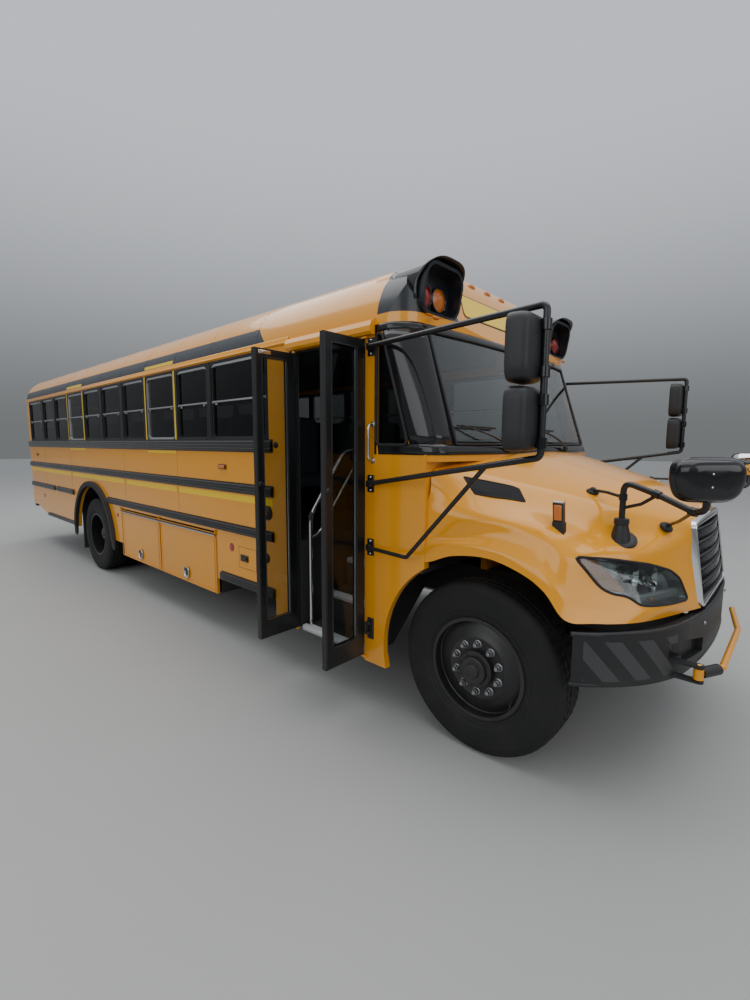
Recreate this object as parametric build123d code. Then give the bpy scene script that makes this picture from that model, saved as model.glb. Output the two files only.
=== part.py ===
"""A full-size school bus with a bonnet, a long passenger body and dual rear wheels.

Millimetres.  X points forward, Y to the bus's left and Z up.  Every piece is drawn from a
point on the ground under the middle of the front axle, and is moved at the end so that the
origin lies on the ground in the middle of the bus's length.
"""
from build123d import *
import math
import os

os.makedirs("parts", exist_ok=True)

# Overall lengths: axle to axle, front axle to the front of the hood mirrors and of the crossing
# arm, rear axle to the back of the rear bumper and of the body
WHEELBASE = 6071
FRONT_OVERHANG = 1155
ARM_FRONT = 1110
BODY_TAIL = 3309
REAR_OVERHANG = BODY_TAIL + 91

# Body shell
BODY_HALF = 1219
WALL = 45
EAVE_Z = 2525
CROWN_Z = 3100
SHOULDER_R = 424
FLOOR_Z = 1060
FLOOR_T = 40
SILL_H = 100
SEAT_GAP = 0.3
SWING_GAP = 5
SHAFT_GAP = 0.05

# Lower edge of the body
SKIRT_Z = 540
TAIL_SKIRT_Z = 680
REAR_ARCH_R = 740
REAR_ARCH_Z = 466
FRONT_ARCH_R = 660
FRONT_ARCH_X = 45
FRONT_ARCH_Z = 505

# Entrance doorway, on the right
DOOR_FRONT_X = -785
DOOR_REAR_X = -1505
DOOR_FOOT_Z = 380
DOOR_HEAD_Z = 2465
JAMB_W = 275

# Windows: bottom, top, and the bar between the two panes
WINDOW_Z0 = 1836
WINDOW_Z1 = 2505
WINDOW_SPLIT_Z = 2171
WINDOW_R = 55
FIRST_WINDOW_X = -3080
FIRST_SEAT_X = -2060
PANE_W = 600
EXIT_PANE_W = 675
SASH = 26
SPLIT_BAR = 13
GLASS_T = 6

# Front of the body: windshield and cap
HOOD_SEAM_X = -300
COWL_Z = 1740
BASE_FRONT_X = -115
TOP_FRONT_X = -395
CAP_X = -1150

# Chassis
RAIL_Y = 432
RAIL_T = 8
RAIL_H = 254
RAIL_FLANGE = 90
RAIL_TOP_Z = FLOOR_Z - FLOOR_T - SILL_H
AXLE_Z = 512

# Wheels
TIRE_R = 512
TIRE_W = 279
RIM_R = 286
FLANGE_R = 298
RIM_T = 9
FRONT_TRACK_HALF = 990
DUAL_OUTER = 1060
DUAL_INNER = 738
STUD_PCD = 285.75
STUDS = 10
STUD_R = 12
DISC_T = 11
DISC_FLAT_R = 176
HUB_R = 105
HAND_HOLE_AT = 226
HAND_HOLE_R = 24
FRONT_SPINDLE_R = 40
REAR_SPINDLE_R = 48
KINGPIN_Y = 800
KINGPIN_R = 22

# Hinge axes of what swings
HOOD_PIVOT_X = 960
HOOD_PIVOT_Z = 930
LEAF_AXIS_Y = BODY_HALF + 6
LEAF_INSET = 10
LEAF_T = 36
LEAF_REACH = 346
HATCH_AXIS_Y = BODY_HALF + 10
HATCH_AXIS_Z = 968
HATCH_FOOT_Z = 384
HATCH_T = 25
REAR_DOOR_HALF = 465
REAR_AXIS_OUT = 20
STOP_AXIS_X = -1215
STOP_AXIS_Y = BODY_HALF + 21
ARM_AXIS_X = 1015
ARM_AXIS_Y = 760
ARM_Z = 700

# Worked out from the above
REAR_AXLE_X = -WHEELBASE
BODY_REAR_X = REAR_AXLE_X - BODY_TAIL
WINDOW_PITCH = (FIRST_WINDOW_X - BODY_REAR_X - 1347.5) / 7
SEAT_PITCH = (FIRST_SEAT_X - BODY_REAR_X - 660) / 9
LENGTH = FRONT_OVERHANG + WHEELBASE + REAR_OVERHANG
FRONT_AXLE_X = LENGTH / 2 - FRONT_OVERHANG
ROOF_RISE = CROWN_Z - EAVE_Z
SHOULDER_Y = BODY_HALF - SHOULDER_R
CROWN_R = (SHOULDER_Y**2 + ROOF_RISE**2 - SHOULDER_R**2) / (2 * (ROOF_RISE - SHOULDER_R))

# Window table: middle X and width, rearwards; the fourth to last and the third are exits
WINDOWS = [(-2284, 850)]
for step in range(8):
    width = EXIT_PANE_W if step in (1, 5) else PANE_W
    WINDOWS.append((FIRST_WINDOW_X - WINDOW_PITCH * step, width))
WINDOWS.append((BODY_REAR_X + 550, 770))
DRIVER_WINDOW = (-1320, 820)

nodes = {}


def block(x0, x1, y0, y1, z0, z1):
    """A box between two opposite corners."""
    size = (abs(x1 - x0), abs(y1 - y0), abs(z1 - z0))
    return Pos((x0 + x1) / 2, (y0 + y1) / 2, (z0 + z1) / 2) * Box(*size)


def rod(start, end, radius):
    """A round bar between two points."""
    a, b = Vector(*start), Vector(*end)
    plane = Plane(origin=a, z_dir=b - a)
    return extrude(plane * Circle(radius), (b - a).length)


def ring(start, end, outer, inner):
    """A round bar with a bore right through it."""
    a, b = Vector(*start), Vector(*end)
    plane = Plane(origin=a, z_dir=b - a)
    return extrude(plane * (Circle(outer) - Circle(inner)), (b - a).length)


def side_face(outline):
    """A face from an X-Z outline of edges, standing in the plane Y = 0."""
    upright = Plane(origin=(0, 0, 0), x_dir=(1, 0, 0), z_dir=(0, -1, 0))
    return upright * make_face(outline)


def side_prism(points, y0, y1):
    """An X-Z polygon carried across from y0 to y1."""
    face = side_face(Polyline(*points, close=True))
    return Pos(0, y0, 0) * extrude(face, y1 - y0, dir=(0, 1, 0))


def plan_prism(outline, z0, z1):
    """An X-Y outline of edges carried up from z0 to z1."""
    return Pos(0, 0, z0) * extrude(make_face(outline), z1 - z0)


def bent_tube(points, radius, bend):
    """A round tube along straight runs joined by tangent arcs."""
    path = FilletPolyline(*points, radius=bend)
    return sweep(Plane(origin=path @ 0, z_dir=path % 0) * Circle(radius), path=path)


def mirrored(shape):
    """The same piece on the other side of the bus."""
    return mirror(shape, about=Plane.XZ)


def pair(shape):
    """A piece with its mirror image, as separate solids."""
    return Compound(children=[*shape.solids(), *mirrored(shape).solids()])


def roof_profile(inset):
    """Cross-section of the roof above the eaves, in the plane X = 0, drawn in by inset."""
    half, small, large = BODY_HALF - inset, SHOULDER_R - inset, CROWN_R - inset
    centre_z = CROWN_Z - CROWN_R
    lean = math.atan2(SHOULDER_Y, EAVE_Z - centre_z)
    join = (large * math.sin(lean), centre_z + large * math.cos(lean))
    turn = (math.pi / 2 - lean) / 2
    bulge = (SHOULDER_Y + small * math.cos(turn), EAVE_Z + small * math.sin(turn))
    edges = [
        ThreePointArc((half, EAVE_Z), bulge, join),
        ThreePointArc(join, (0, CROWN_Z - inset), (-join[0], join[1])),
        ThreePointArc((-join[0], join[1]), (-bulge[0], bulge[1]), (-half, EAVE_Z)),
        Line((-half, EAVE_Z), (half, EAVE_Z)),
    ]
    return Plane.YZ * make_face(edges)


def roof_bar(inset, x0, x1):
    """The whole space under the roof between two stations, drawn in by inset."""
    return Pos(x0, 0, 0) * extrude(roof_profile(inset), x1 - x0)


def window_block(middle, width, y0, y1, shrink=0):
    """A round-cornered upright block through a side wall at one window."""
    height = WINDOW_Z1 - WINDOW_Z0 - 2 * shrink
    plane = Plane(origin=(middle, 0, (WINDOW_Z0 + WINDOW_Z1) / 2), x_dir=(1, 0, 0), z_dir=(0, -1, 0))
    face = plane * RectangleRounded(width - 2 * shrink, height, WINDOW_R - shrink)
    return Pos(0, y0, 0) * extrude(face, y1 - y0, dir=(0, 1, 0))


HATCH_REAR_X, HATCH_FRONT_X = REAR_AXLE_X + 1056, -2700
HATCH_MIDDLE_X = round(HATCH_REAR_X + 0.473 * (HATCH_FRONT_X - HATCH_REAR_X))
HATCH_SPANS = [(HATCH_REAR_X, HATCH_MIDDLE_X), (HATCH_MIDDLE_X, HATCH_FRONT_X)]
HATCH_HEAD_Z = HATCH_AXIS_Z + 17
HATCH_LUG_T = 8


def side_wall(has_doorway):
    """One side wall, drawn on the left: the wall with its windows, and the skirt panels under it."""
    hatch_rear, hatch_front = HATCH_SPANS[0][0], HATCH_SPANS[1][1]
    jamb_x = DOOR_REAR_X - JAMB_W
    if has_doorway:
        front = [
            (DOOR_FRONT_X, EAVE_Z), (DOOR_FRONT_X, DOOR_HEAD_Z), (DOOR_REAR_X, DOOR_HEAD_Z),
            (DOOR_REAR_X, DOOR_FOOT_Z), (jamb_x, DOOR_FOOT_Z), (jamb_x, SKIRT_Z),
        ]
    else:
        front = [(DOOR_FRONT_X, EAVE_Z), (DOOR_FRONT_X, DOOR_FOOT_Z), (jamb_x, DOOR_FOOT_Z), (jamb_x, SKIRT_Z)]
    points = front + [
        (hatch_front, SKIRT_Z), (hatch_front, HATCH_HEAD_Z), (hatch_rear, HATCH_HEAD_Z), (hatch_rear, SKIRT_Z),
        (BODY_REAR_X + 990, SKIRT_Z), (BODY_REAR_X + 300, TAIL_SKIRT_Z),
        (BODY_REAR_X, TAIL_SKIRT_Z), (BODY_REAR_X, EAVE_Z),
    ]
    wall = side_prism(points, BODY_HALF - WALL, BODY_HALF)
    arch_low = (REAR_AXLE_X, BODY_HALF - 2 * WALL, REAR_ARCH_Z)
    arch_out = (REAR_AXLE_X, BODY_HALF + WALL, REAR_ARCH_Z)
    wall -= rod(arch_low, arch_out, REAR_ARCH_R)
    for middle, width in WINDOWS + ([] if has_doorway else [DRIVER_WINDOW]):
        wall -= window_block(middle, width, BODY_HALF - 2 * WALL, BODY_HALF + WALL)
    skirt = block(BODY_REAR_X - 1, 0, BODY_HALF - WALL - 1, BODY_HALF + 1, 0, HATCH_HEAD_Z)
    upper, lower = wall - skirt, wall & skirt
    for x in (HATCH_REAR_X, HATCH_MIDDLE_X, HATCH_FRONT_X):
        lug = block(x - HATCH_LUG_T / 2, x + HATCH_LUG_T / 2, BODY_HALF - 3, HATCH_AXIS_Y + 8,
                    HATCH_AXIS_Z - 8, HATCH_HEAD_Z + 15)
        lug -= block(x - 9, x + 9, BODY_HALF - 4, BODY_HALF, HATCH_AXIS_Z - 9, HATCH_HEAD_Z)
        lug -= rod((x - 9, HATCH_AXIS_Y, HATCH_AXIS_Z), (x + 9, HATCH_AXIS_Y, HATCH_AXIS_Z), 4 + SHAFT_GAP)
        upper += lug
        lower -= block(x - HATCH_LUG_T / 2, x + HATCH_LUG_T / 2, BODY_HALF - 3, BODY_HALF + 1, HATCH_AXIS_Z - 9,
                       HATCH_HEAD_Z + 1)
    return upper, lower


STOP_Z = 1540
STOP_ACROSS = 457
STOP_PIN_R = 6
STOP_LUG_Z = (1470, 1610)

left_wall, left_skirt = side_wall(False)
for z in STOP_LUG_Z:
    lug = block(STOP_AXIS_X - 12, STOP_AXIS_X + 12, BODY_HALF, STOP_AXIS_Y + 14, z - 30, z - 18)
    lug += block(STOP_AXIS_X - 12, STOP_AXIS_X + 12, BODY_HALF, STOP_AXIS_Y + 14, z + 18, z + 30)
    hole = rod((STOP_AXIS_X, STOP_AXIS_Y, z - 40), (STOP_AXIS_X, STOP_AXIS_Y, z + 40), STOP_PIN_R + SHAFT_GAP)
    left_wall += lug - hole
nodes["side_wall_left"] = Compound(children=[*left_wall.solids(), *left_skirt.solids()])

# The bulge over the doorway: Y and Z of its outline, on the wall and against the roof
HEADER = [
    (BODY_HALF - 2, DOOR_HEAD_Z + 2), (BODY_HALF + 34, DOOR_HEAD_Z + 2), (BODY_HALF + 49, DOOR_HEAD_Z + 18),
    (BODY_HALF + 49, EAVE_Z - 10), (BODY_HALF + 34, EAVE_Z + 22), (BODY_HALF - 8, EAVE_Z + 44),
    (BODY_HALF - 60, EAVE_Z + 10), (BODY_HALF - 2, EAVE_Z),
]


def header(x0, x1):
    """A length of the bulge over the doorway, drawn on the left."""
    bulge = Pos(x0, 0, 0) * extrude(Plane.YZ * make_face(Polyline(*HEADER, close=True)), x1 - x0)
    return mirrored(bulge - roof_bar(0, x0 - 10, x1 + 10))


LEAF_PIN_R = 8
LEAF_LUG_R = 16
REAR_LEAF_X = DOOR_REAR_X + LEAF_INSET
FRONT_LEAF_X = DOOR_FRONT_X - LEAF_INSET
LEAF_LUGS = [(DOOR_FOOT_Z, DOOR_FOOT_Z + 12), (DOOR_HEAD_Z - 14, DOOR_HEAD_Z - 2)]


def leaf_lug(x, toward):
    """The two eyes that a door leaf's pin turns in, on the wall beyond its hinge edge."""
    eyes = None
    for z0, z1 in LEAF_LUGS:
        eye = rod((x, -LEAF_AXIS_Y, z0), (x, -LEAF_AXIS_Y, z1), LEAF_LUG_R)
        eye += block(x, x + toward * 40, -LEAF_AXIS_Y - LEAF_LUG_R, -BODY_HALF + 3, z0, z1)
        eye -= rod((x, -LEAF_AXIS_Y, z0 - 5), (x, -LEAF_AXIS_Y, z1 + 5), LEAF_PIN_R + SHAFT_GAP)
        eyes = eye if eyes is None else eyes + eye
    return eyes


right_wall, right_skirt = side_wall(True)
lugs = leaf_lug(REAR_LEAF_X, -1)
right_wall = mirrored(right_wall) + (lugs & block(-2000, 0, -BODY_HALF - 90, 0, HATCH_HEAD_Z, EAVE_Z))
right_wall += header(DOOR_REAR_X - 45, DOOR_FRONT_X)
right_skirt = mirrored(right_skirt) + (lugs & block(-2000, 0, -BODY_HALF - 90, 0, 0, HATCH_HEAD_Z))
nodes["side_wall_right"] = Compound(children=[*right_wall.solids(), *right_skirt.solids()])

# Roof: one curved shell from the back wall to the cap
nodes["roof"] = roof_bar(0, BODY_REAR_X, CAP_X) - roof_bar(WALL, BODY_REAR_X - 10, CAP_X + 10)


# Corner of the front in plan: X and Y of its front end, and X where the side starts
BASE_CORNER = (BASE_FRONT_X - 95, BODY_HALF - 134, BASE_FRONT_X - 235)
TOP_CORNER = (TOP_FRONT_X - 60, BODY_HALF - 179, TOP_FRONT_X - 215)


def front_plan(front_x, corner_x, corner_y, side_x, inset):
    """Plan of the body's front: flat back edge, straight sides, rounded corners, bowed front."""
    half = BODY_HALF - inset
    back, nose, corner = DOOR_FRONT_X, front_x - inset, corner_x - inset
    out = corner_y - inset / 2
    knee = ((corner + side_x) / 2 + 35, (half + out) / 2 + 25)
    return [
        Line((back, -half), (side_x, -half)),
        ThreePointArc((side_x, -half), (knee[0], -knee[1]), (corner, -out)),
        ThreePointArc((corner, -out), (nose, 0), (corner, out)),
        ThreePointArc((corner, out), knee, (side_x, half)),
        Line((side_x, half), (back, half)),
        Line((back, half), (back, -half)),
    ]


def front_shell(inset):
    """The space behind the windshield, from the cowl up to the eaves, drawn in by inset."""
    low = Pos(0, 0, COWL_Z) * make_face(front_plan(BASE_FRONT_X, *BASE_CORNER, inset))
    high = Pos(0, 0, EAVE_Z) * make_face(front_plan(TOP_FRONT_X, *TOP_CORNER, inset))
    return loft([low, high], ruled=True)


SHELF_T = 40
WHEEL_TOP_Z = 1180
TUNNEL_HALF = 480
SHIELD_HALF = BODY_HALF - 179
SHIELD_Z0 = 1790
SHIELD_Z1 = 2485
QUARTER = [(-690, 1790), (-425, 1790), (-640, 2470), (-690, 2470)]

# Cowl: front posts and windshield frame, shelf, firewall and the two side panels
cowl = front_shell(0) - front_shell(WALL)
cowl -= block(-700, 0, -SHIELD_HALF, SHIELD_HALF, SHIELD_Z0, SHIELD_Z1)
shelf_plan = make_face(front_plan(BASE_FRONT_X, *BASE_CORNER, 0))
shelf = Pos(0, 0, COWL_Z - SHELF_T) * extrude(shelf_plan, SHELF_T)
cowl += shelf - block(-900, HOOD_SEAM_X - WALL, -BODY_HALF - 1, BODY_HALF + 1, 0, COWL_Z + 1)
cowl += block(HOOD_SEAM_X - WALL, HOOD_SEAM_X, -BODY_HALF + WALL, BODY_HALF - WALL, WHEEL_TOP_Z, COWL_Z - SHELF_T)
cowl += block(HOOD_SEAM_X - WALL, HOOD_SEAM_X, -TUNNEL_HALF, TUNNEL_HALF, RAIL_TOP_Z, WHEEL_TOP_Z)
panel_points = [
    (DOOR_FRONT_X, COWL_Z), (HOOD_SEAM_X, COWL_Z), (HOOD_SEAM_X, 800), (-560, 350), (DOOR_FRONT_X, 350),
]
panel = side_prism(panel_points, BODY_HALF - WALL, BODY_HALF)
panel -= rod((FRONT_ARCH_X, 1000, FRONT_ARCH_Z), (FRONT_ARCH_X, 1300, FRONT_ARCH_Z), FRONT_ARCH_R)
cowl += panel + mirrored(panel)
quarter_cut = side_prism(QUARTER, BODY_HALF - 2 * WALL, BODY_HALF + WALL)
cowl -= quarter_cut + mirrored(quarter_cut)
cowl += leaf_lug(FRONT_LEAF_X, 1)
cowl += header(DOOR_FRONT_X, DOOR_FRONT_X + 85)
nodes["cowl"] = cowl

# Windshield: one bowed pane set into the frame
shield = front_shell(12) - front_shell(12 + GLASS_T)
edge = SHIELD_HALF - SEAT_GAP
shield &= block(-700, 0, -edge, edge, SHIELD_Z0 + SEAT_GAP, SHIELD_Z1 - SEAT_GAP)
nodes["windshield"] = shield

# Front cap: the roof section cut by a sloping, rounded front
CAP_SLOPE_Z = 2850
CAP_SLOPE_X = -560
CAP_BEND = (-720, 3035)
BROW_BACK = 4


def cap_block(inset):
    """The space under the cap, from the roof's front edge to the brow, drawn in by inset."""
    profile = [
        Line((CAP_X, EAVE_Z), (TOP_FRONT_X - BROW_BACK - inset, EAVE_Z)),
        Line((TOP_FRONT_X - BROW_BACK - inset, EAVE_Z), (CAP_SLOPE_X - inset, CAP_SLOPE_Z)),
        ThreePointArc((CAP_SLOPE_X - inset, CAP_SLOPE_Z), (CAP_BEND[0] - inset / 2, CAP_BEND[1] - inset),
                      (CAP_X, CROWN_Z - inset + 1)),
        Line((CAP_X, CROWN_Z - inset + 1), (CAP_X, EAVE_Z)),
    ]
    slope = Pos(0, -BODY_HALF - 10, 0) * extrude(side_face(profile), 2 * BODY_HALF + 20, dir=(0, 1, 0))
    plan = front_plan(TOP_FRONT_X, *TOP_CORNER, inset)
    plan = plan[1:4] + [
        Line((TOP_CORNER[2], BODY_HALF - inset), (CAP_X, BODY_HALF - inset)),
        Line((CAP_X, BODY_HALF - inset), (CAP_X, -BODY_HALF + inset)),
        Line((CAP_X, -BODY_HALF + inset), (TOP_CORNER[2], -BODY_HALF + inset)),
    ]
    return roof_bar(inset, CAP_X, 0) & slope & plan_prism(plan, EAVE_Z, CROWN_Z + 10)


# Visors round the warning lamps on the cap: a hooded box each side, deeper at its top
POD_Y = (712, 1112)
POD_Z = (2578, 2878)
POD_FRONT_XS = (-436, -385)
POD_WALL = 20
POD_BACK_X = -505
LAMP_BACK_X = -510
LAMP_FRONT_X = -478
LAMP_R = 72
LAMP_Z = 2705
LAMP_YS = (850, 1005)

cap = cap_block(0) - cap_block(WALL)
pod = block(-800, 0, POD_Y[0], POD_Y[1], POD_Z[0], POD_Z[1])
pod = fillet(pod.edges().filter_by(Axis.X), 100)
pod &= side_prism([(-800, POD_Z[0]), (POD_FRONT_XS[0], POD_Z[0]), (POD_FRONT_XS[1], POD_Z[1]), (-800, POD_Z[1])], *POD_Y)
mouth = block(POD_BACK_X, 0, POD_Y[0] + POD_WALL, POD_Y[1] - POD_WALL, POD_Z[0] + POD_WALL, POD_Z[1] - POD_WALL)
mouth = fillet(mouth.edges().filter_by(Axis.X), 100 - POD_WALL)
cap += (pod + mirrored(pod)) - cap_block(WALL)
cap = cap - mouth - mirrored(mouth)
lamp_solids = []
for y in LAMP_YS:
    recess = rod((LAMP_BACK_X, y, LAMP_Z), (POD_FRONT_XS[1], y, LAMP_Z), LAMP_R)
    lens = rod((LAMP_BACK_X + SEAT_GAP, y, LAMP_Z), (LAMP_FRONT_X, y, LAMP_Z), LAMP_R - SEAT_GAP)
    cap = cap - recess - mirrored(recess)
    lamp_solids += [*lens.solids(), *mirrored(lens).solids()]
nodes["front_cap"] = cap

# Back wall with the exit door's opening and two windows
REAR_DOOR_Z0 = 1030
REAR_DOOR_Z1 = 2490
REAR_WINDOW = (830, 440, 2140, 600)
REAR_LUG_Z = (1180, 1780, 2380)
REAR_PIN_R = 8
REAR_AXIS_X = BODY_REAR_X - REAR_AXIS_OUT
REAR_AXIS_Y = -(REAR_DOOR_HALF + SWING_GAP + 8)

back = Pos(BODY_REAR_X, 0, 0) * extrude(roof_profile(WALL), WALL)
back += block(BODY_REAR_X, BODY_REAR_X + WALL, -BODY_HALF + WALL, BODY_HALF - WALL, TAIL_SKIRT_Z, EAVE_Z)
opening = REAR_DOOR_HALF + SWING_GAP
back -= block(BODY_REAR_X - 10, BODY_REAR_X + 60, -opening, opening, REAR_DOOR_Z0 - 10, REAR_DOOR_Z1 + 10)
middle_y, wide, middle_z, tall = REAR_WINDOW
hole = Plane(origin=(BODY_REAR_X - 10, middle_y, middle_z), z_dir=(1, 0, 0)) * RectangleRounded(tall, wide, 50)
hole = extrude(hole, WALL + 20)
back -= hole + mirrored(hole)
for z in REAR_LUG_Z:
    eye = rod((REAR_AXIS_X, REAR_AXIS_Y, z - 50), (REAR_AXIS_X, REAR_AXIS_Y, z - 38), 16)
    eye += rod((REAR_AXIS_X, REAR_AXIS_Y, z + 38), (REAR_AXIS_X, REAR_AXIS_Y, z + 50), 16)
    eye += block(REAR_AXIS_X, BODY_REAR_X, REAR_AXIS_Y - 16, REAR_AXIS_Y + 7, z - 50, z - 38)
    eye += block(REAR_AXIS_X, BODY_REAR_X, REAR_AXIS_Y - 16, REAR_AXIS_Y + 7, z + 38, z + 50)
    eye -= rod((REAR_AXIS_X, REAR_AXIS_Y, z - 60), (REAR_AXIS_X, REAR_AXIS_Y, z + 60), REAR_PIN_R + SHAFT_GAP)
    back += eye
back -= block(BODY_REAR_X - 10, BODY_REAR_X + 60, -RAIL_Y - 20, RAIL_Y + 20, 0, RAIL_TOP_Z)
PLATE_Y, PLATE_Z = 800, 1110
PLATE_SPACING = 178
PLATE_HOLE_R = 3.5
for y in (PLATE_Y - PLATE_SPACING / 2, PLATE_Y + PLATE_SPACING / 2):
    back -= rod((BODY_REAR_X - 1, y, PLATE_Z), (BODY_REAR_X + WALL + 1, y, PLATE_Z), PLATE_HOLE_R)
nodes["rear_wall"] = back

# Exit door in the back wall, hung on the right, with its upper and lower glass
REAR_GLASS = [(1900, 2400), (1180, 1640)]
REAR_GLASS_HALF = 360
door = block(BODY_REAR_X, BODY_REAR_X + WALL, -REAR_DOOR_HALF, REAR_DOOR_HALF, REAR_DOOR_Z0, REAR_DOOR_Z1)
panes = []
for z0, z1 in REAR_GLASS:
    door -= block(BODY_REAR_X - 10, BODY_REAR_X + 60, -REAR_GLASS_HALF, REAR_GLASS_HALF, z0, z1)
    panes.append(block(BODY_REAR_X + 18, BODY_REAR_X + 18 + GLASS_T, -REAR_GLASS_HALF + SEAT_GAP,
                       REAR_GLASS_HALF - SEAT_GAP, z0 + SEAT_GAP, z1 - SEAT_GAP))
for z in REAR_LUG_Z:
    door += rod((REAR_AXIS_X, REAR_AXIS_Y, z - 50), (REAR_AXIS_X, REAR_AXIS_Y, z + 50), REAR_PIN_R)
    door += block(REAR_AXIS_X - 6, BODY_REAR_X, REAR_AXIS_Y, REAR_AXIS_Y + 120, z - 35, z + 35)
nodes["rear_door"] = door
nodes["rear_door_glass"] = Compound(children=panes)

# Windows: a sash in each opening, with a split bar, and two panes of glass in it
SASH_IN = 6
sashes, glasses = [], []


def add_window(middle, width, sign):
    """One sash with its split bar, and its two panes, in one side wall."""
    y0, y1 = BODY_HALF - WALL, BODY_HALF - SASH_IN
    sash = window_block(middle, width, y0, y1, SEAT_GAP) - window_block(middle, width, y0 - 5, y1 + 5, SASH)
    inner = width / 2 - SASH
    bar = block(middle - inner - 1, middle + inner + 1, y0 + 10, y1, WINDOW_SPLIT_Z - SPLIT_BAR / 2,
                WINDOW_SPLIT_Z + SPLIT_BAR / 2)
    sash += bar
    pane = window_block(middle, width, y1 - 16 - GLASS_T, y1 - 16, SASH + SEAT_GAP)
    pane -= block(middle - inner - 2, middle + inner + 2, y0, y1, WINDOW_SPLIT_Z - SPLIT_BAR / 2 - SEAT_GAP,
                  WINDOW_SPLIT_Z + SPLIT_BAR / 2 + SEAT_GAP)
    for made, store in ((sash, sashes), (pane, glasses)):
        store.extend((made if sign > 0 else mirrored(made)).solids())


for middle, width in WINDOWS:
    add_window(middle, width, 1)
    add_window(middle, width, -1)
add_window(*DRIVER_WINDOW, 1)
for sign in (1, -1):
    plane = Plane(origin=(BODY_REAR_X + 18, sign * middle_y, middle_z), z_dir=(1, 0, 0))
    rear_pane = plane * RectangleRounded(tall - 2 * SEAT_GAP, wide - 2 * SEAT_GAP, 50)
    glasses.extend(extrude(rear_pane, GLASS_T).solids())
quarter_face = offset(side_face(Polyline(*QUARTER, close=True)), -SEAT_GAP)
quarter_pane = Pos(0, BODY_HALF - 20 - GLASS_T, 0) * extrude(quarter_face, GLASS_T, dir=(0, 1, 0))
glasses.extend(quarter_pane.solids() + mirrored(quarter_pane).solids())
nodes["window_frames"] = Compound(children=sashes)
nodes["window_glass"] = Compound(children=glasses)

# Rub rails: level rows of ribbed black strip, each with its length and height
RAIL_OUT = 28
RAIL_END_X = -1785
ROWS = [
    (BODY_REAR_X + 10, RAIL_END_X, 1728, 1832),
    (BODY_REAR_X + 10, RAIL_END_X, 1373, 1464),
    (REAR_AXLE_X + 601, RAIL_END_X, 1011, 1097),
    (BODY_REAR_X + 30, REAR_AXLE_X - 829, 1011, 1097),
    (-2620, RAIL_END_X, 540, 630),
    (BODY_REAR_X + 990, REAR_AXLE_X - 789, 540, 605),
]
rails = []
for x0, x1, z0, z1 in ROWS:
    strip = block(x0, x1, BODY_HALF, BODY_HALF + RAIL_OUT, z0, z1)
    strip = chamfer(strip.faces().sort_by(Axis.Y)[-1].edges(), 8)
    if z1 < 1100:
        for x in (HATCH_SPANS[0][0], HATCH_SPANS[0][1], HATCH_SPANS[1][1]):
            strip -= block(x - 10, x + 10, BODY_HALF - 1, HATCH_AXIS_Y + 12, HATCH_AXIS_Z - 20, HATCH_HEAD_Z + 20)
    rails.extend(strip.solids() + mirrored(strip).solids())
nodes["rub_rails"] = Compound(children=rails)

# Rear wheel flares with the flaps behind the wheels
FLARE_W = 60
FLARE_OUT = 45
flare = ring((REAR_AXLE_X, BODY_HALF, REAR_ARCH_Z), (REAR_AXLE_X, BODY_HALF + FLARE_OUT, REAR_ARCH_Z),
             REAR_ARCH_R + FLARE_W, REAR_ARCH_R - 8)
flare &= block(REAR_AXLE_X - 900, REAR_AXLE_X + 900, 1100, 1400, SKIRT_Z, 1300)
flare -= block(BODY_REAR_X, REAR_AXLE_X - 784, 1100, 1400, SKIRT_Z - 1, 700)
FLAP_BACK = 700
FLAP_X = REAR_AXLE_X - FLAP_BACK
flap = block(FLAP_X - 10, FLAP_X, 580, 1165, 200, FLOOR_Z - FLOOR_T)
nodes["wheel_flares"] = Compound(children=[*pair(flare).solids(), *pair(flap).solids()])

# Floor: slab on cross sills, wheel boxes, and a stepwell cut at the entrance
FLOOR_REAR_X = BODY_REAR_X + WALL
FLOOR_HALF = BODY_HALF - WALL
STEP_T = 12
WELL_Y = -(RAIL_Y + 10 + STEP_T)
WHEEL_BOX_X = 590
WHEEL_BOX_Y = 570
WHEEL_BOX_Z = 1240
WHEEL_BOX_T = 12
BAY_IN = 500
floor = block(FLOOR_REAR_X, HOOD_SEAM_X - WALL, -FLOOR_HALF, FLOOR_HALF, FLOOR_Z - FLOOR_T, FLOOR_Z)
sills = block(REAR_AXLE_X - 40, REAR_AXLE_X + 40, -RAIL_Y, RAIL_Y, RAIL_TOP_Z, FLOOR_Z - FLOOR_T).solids()
for step in range(12):
    x = -650 - WINDOW_PITCH * step
    if abs(x - REAR_AXLE_X) > FLAP_BACK + 40 and not DOOR_REAR_X - 60 < x < DOOR_FRONT_X + 60:
        sill = block(x - 25, x + 25, -FLOOR_HALF, FLOOR_HALF, RAIL_TOP_Z, FLOOR_Z - FLOOR_T)
        if HATCH_REAR_X - 30 < x < HATCH_FRONT_X + 30:
            sill = block(x - 25, x + 25, 5 - BAY_IN, BAY_IN - 5, RAIL_TOP_Z, FLOOR_Z - FLOOR_T)
        sills += sill.solids()
wheel_box = block(REAR_AXLE_X - WHEEL_BOX_X, REAR_AXLE_X + WHEEL_BOX_X, WHEEL_BOX_Y, FLOOR_HALF, FLOOR_Z - 1, WHEEL_BOX_Z)
cavity = block(REAR_AXLE_X - WHEEL_BOX_X + WHEEL_BOX_T, REAR_AXLE_X + WHEEL_BOX_X - WHEEL_BOX_T,
               WHEEL_BOX_Y + WHEEL_BOX_T, FLOOR_HALF + 1, 0, WHEEL_BOX_Z - WHEEL_BOX_T)
floor = floor + wheel_box + mirrored(wheel_box) - cavity - mirrored(cavity)
floor -= block(DOOR_REAR_X, DOOR_FRONT_X, -FLOOR_HALF - 1, WELL_Y, 0, FLOOR_Z + 1)
nodes["floor"] = Compound(children=[*floor.solids(), *sills])

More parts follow.
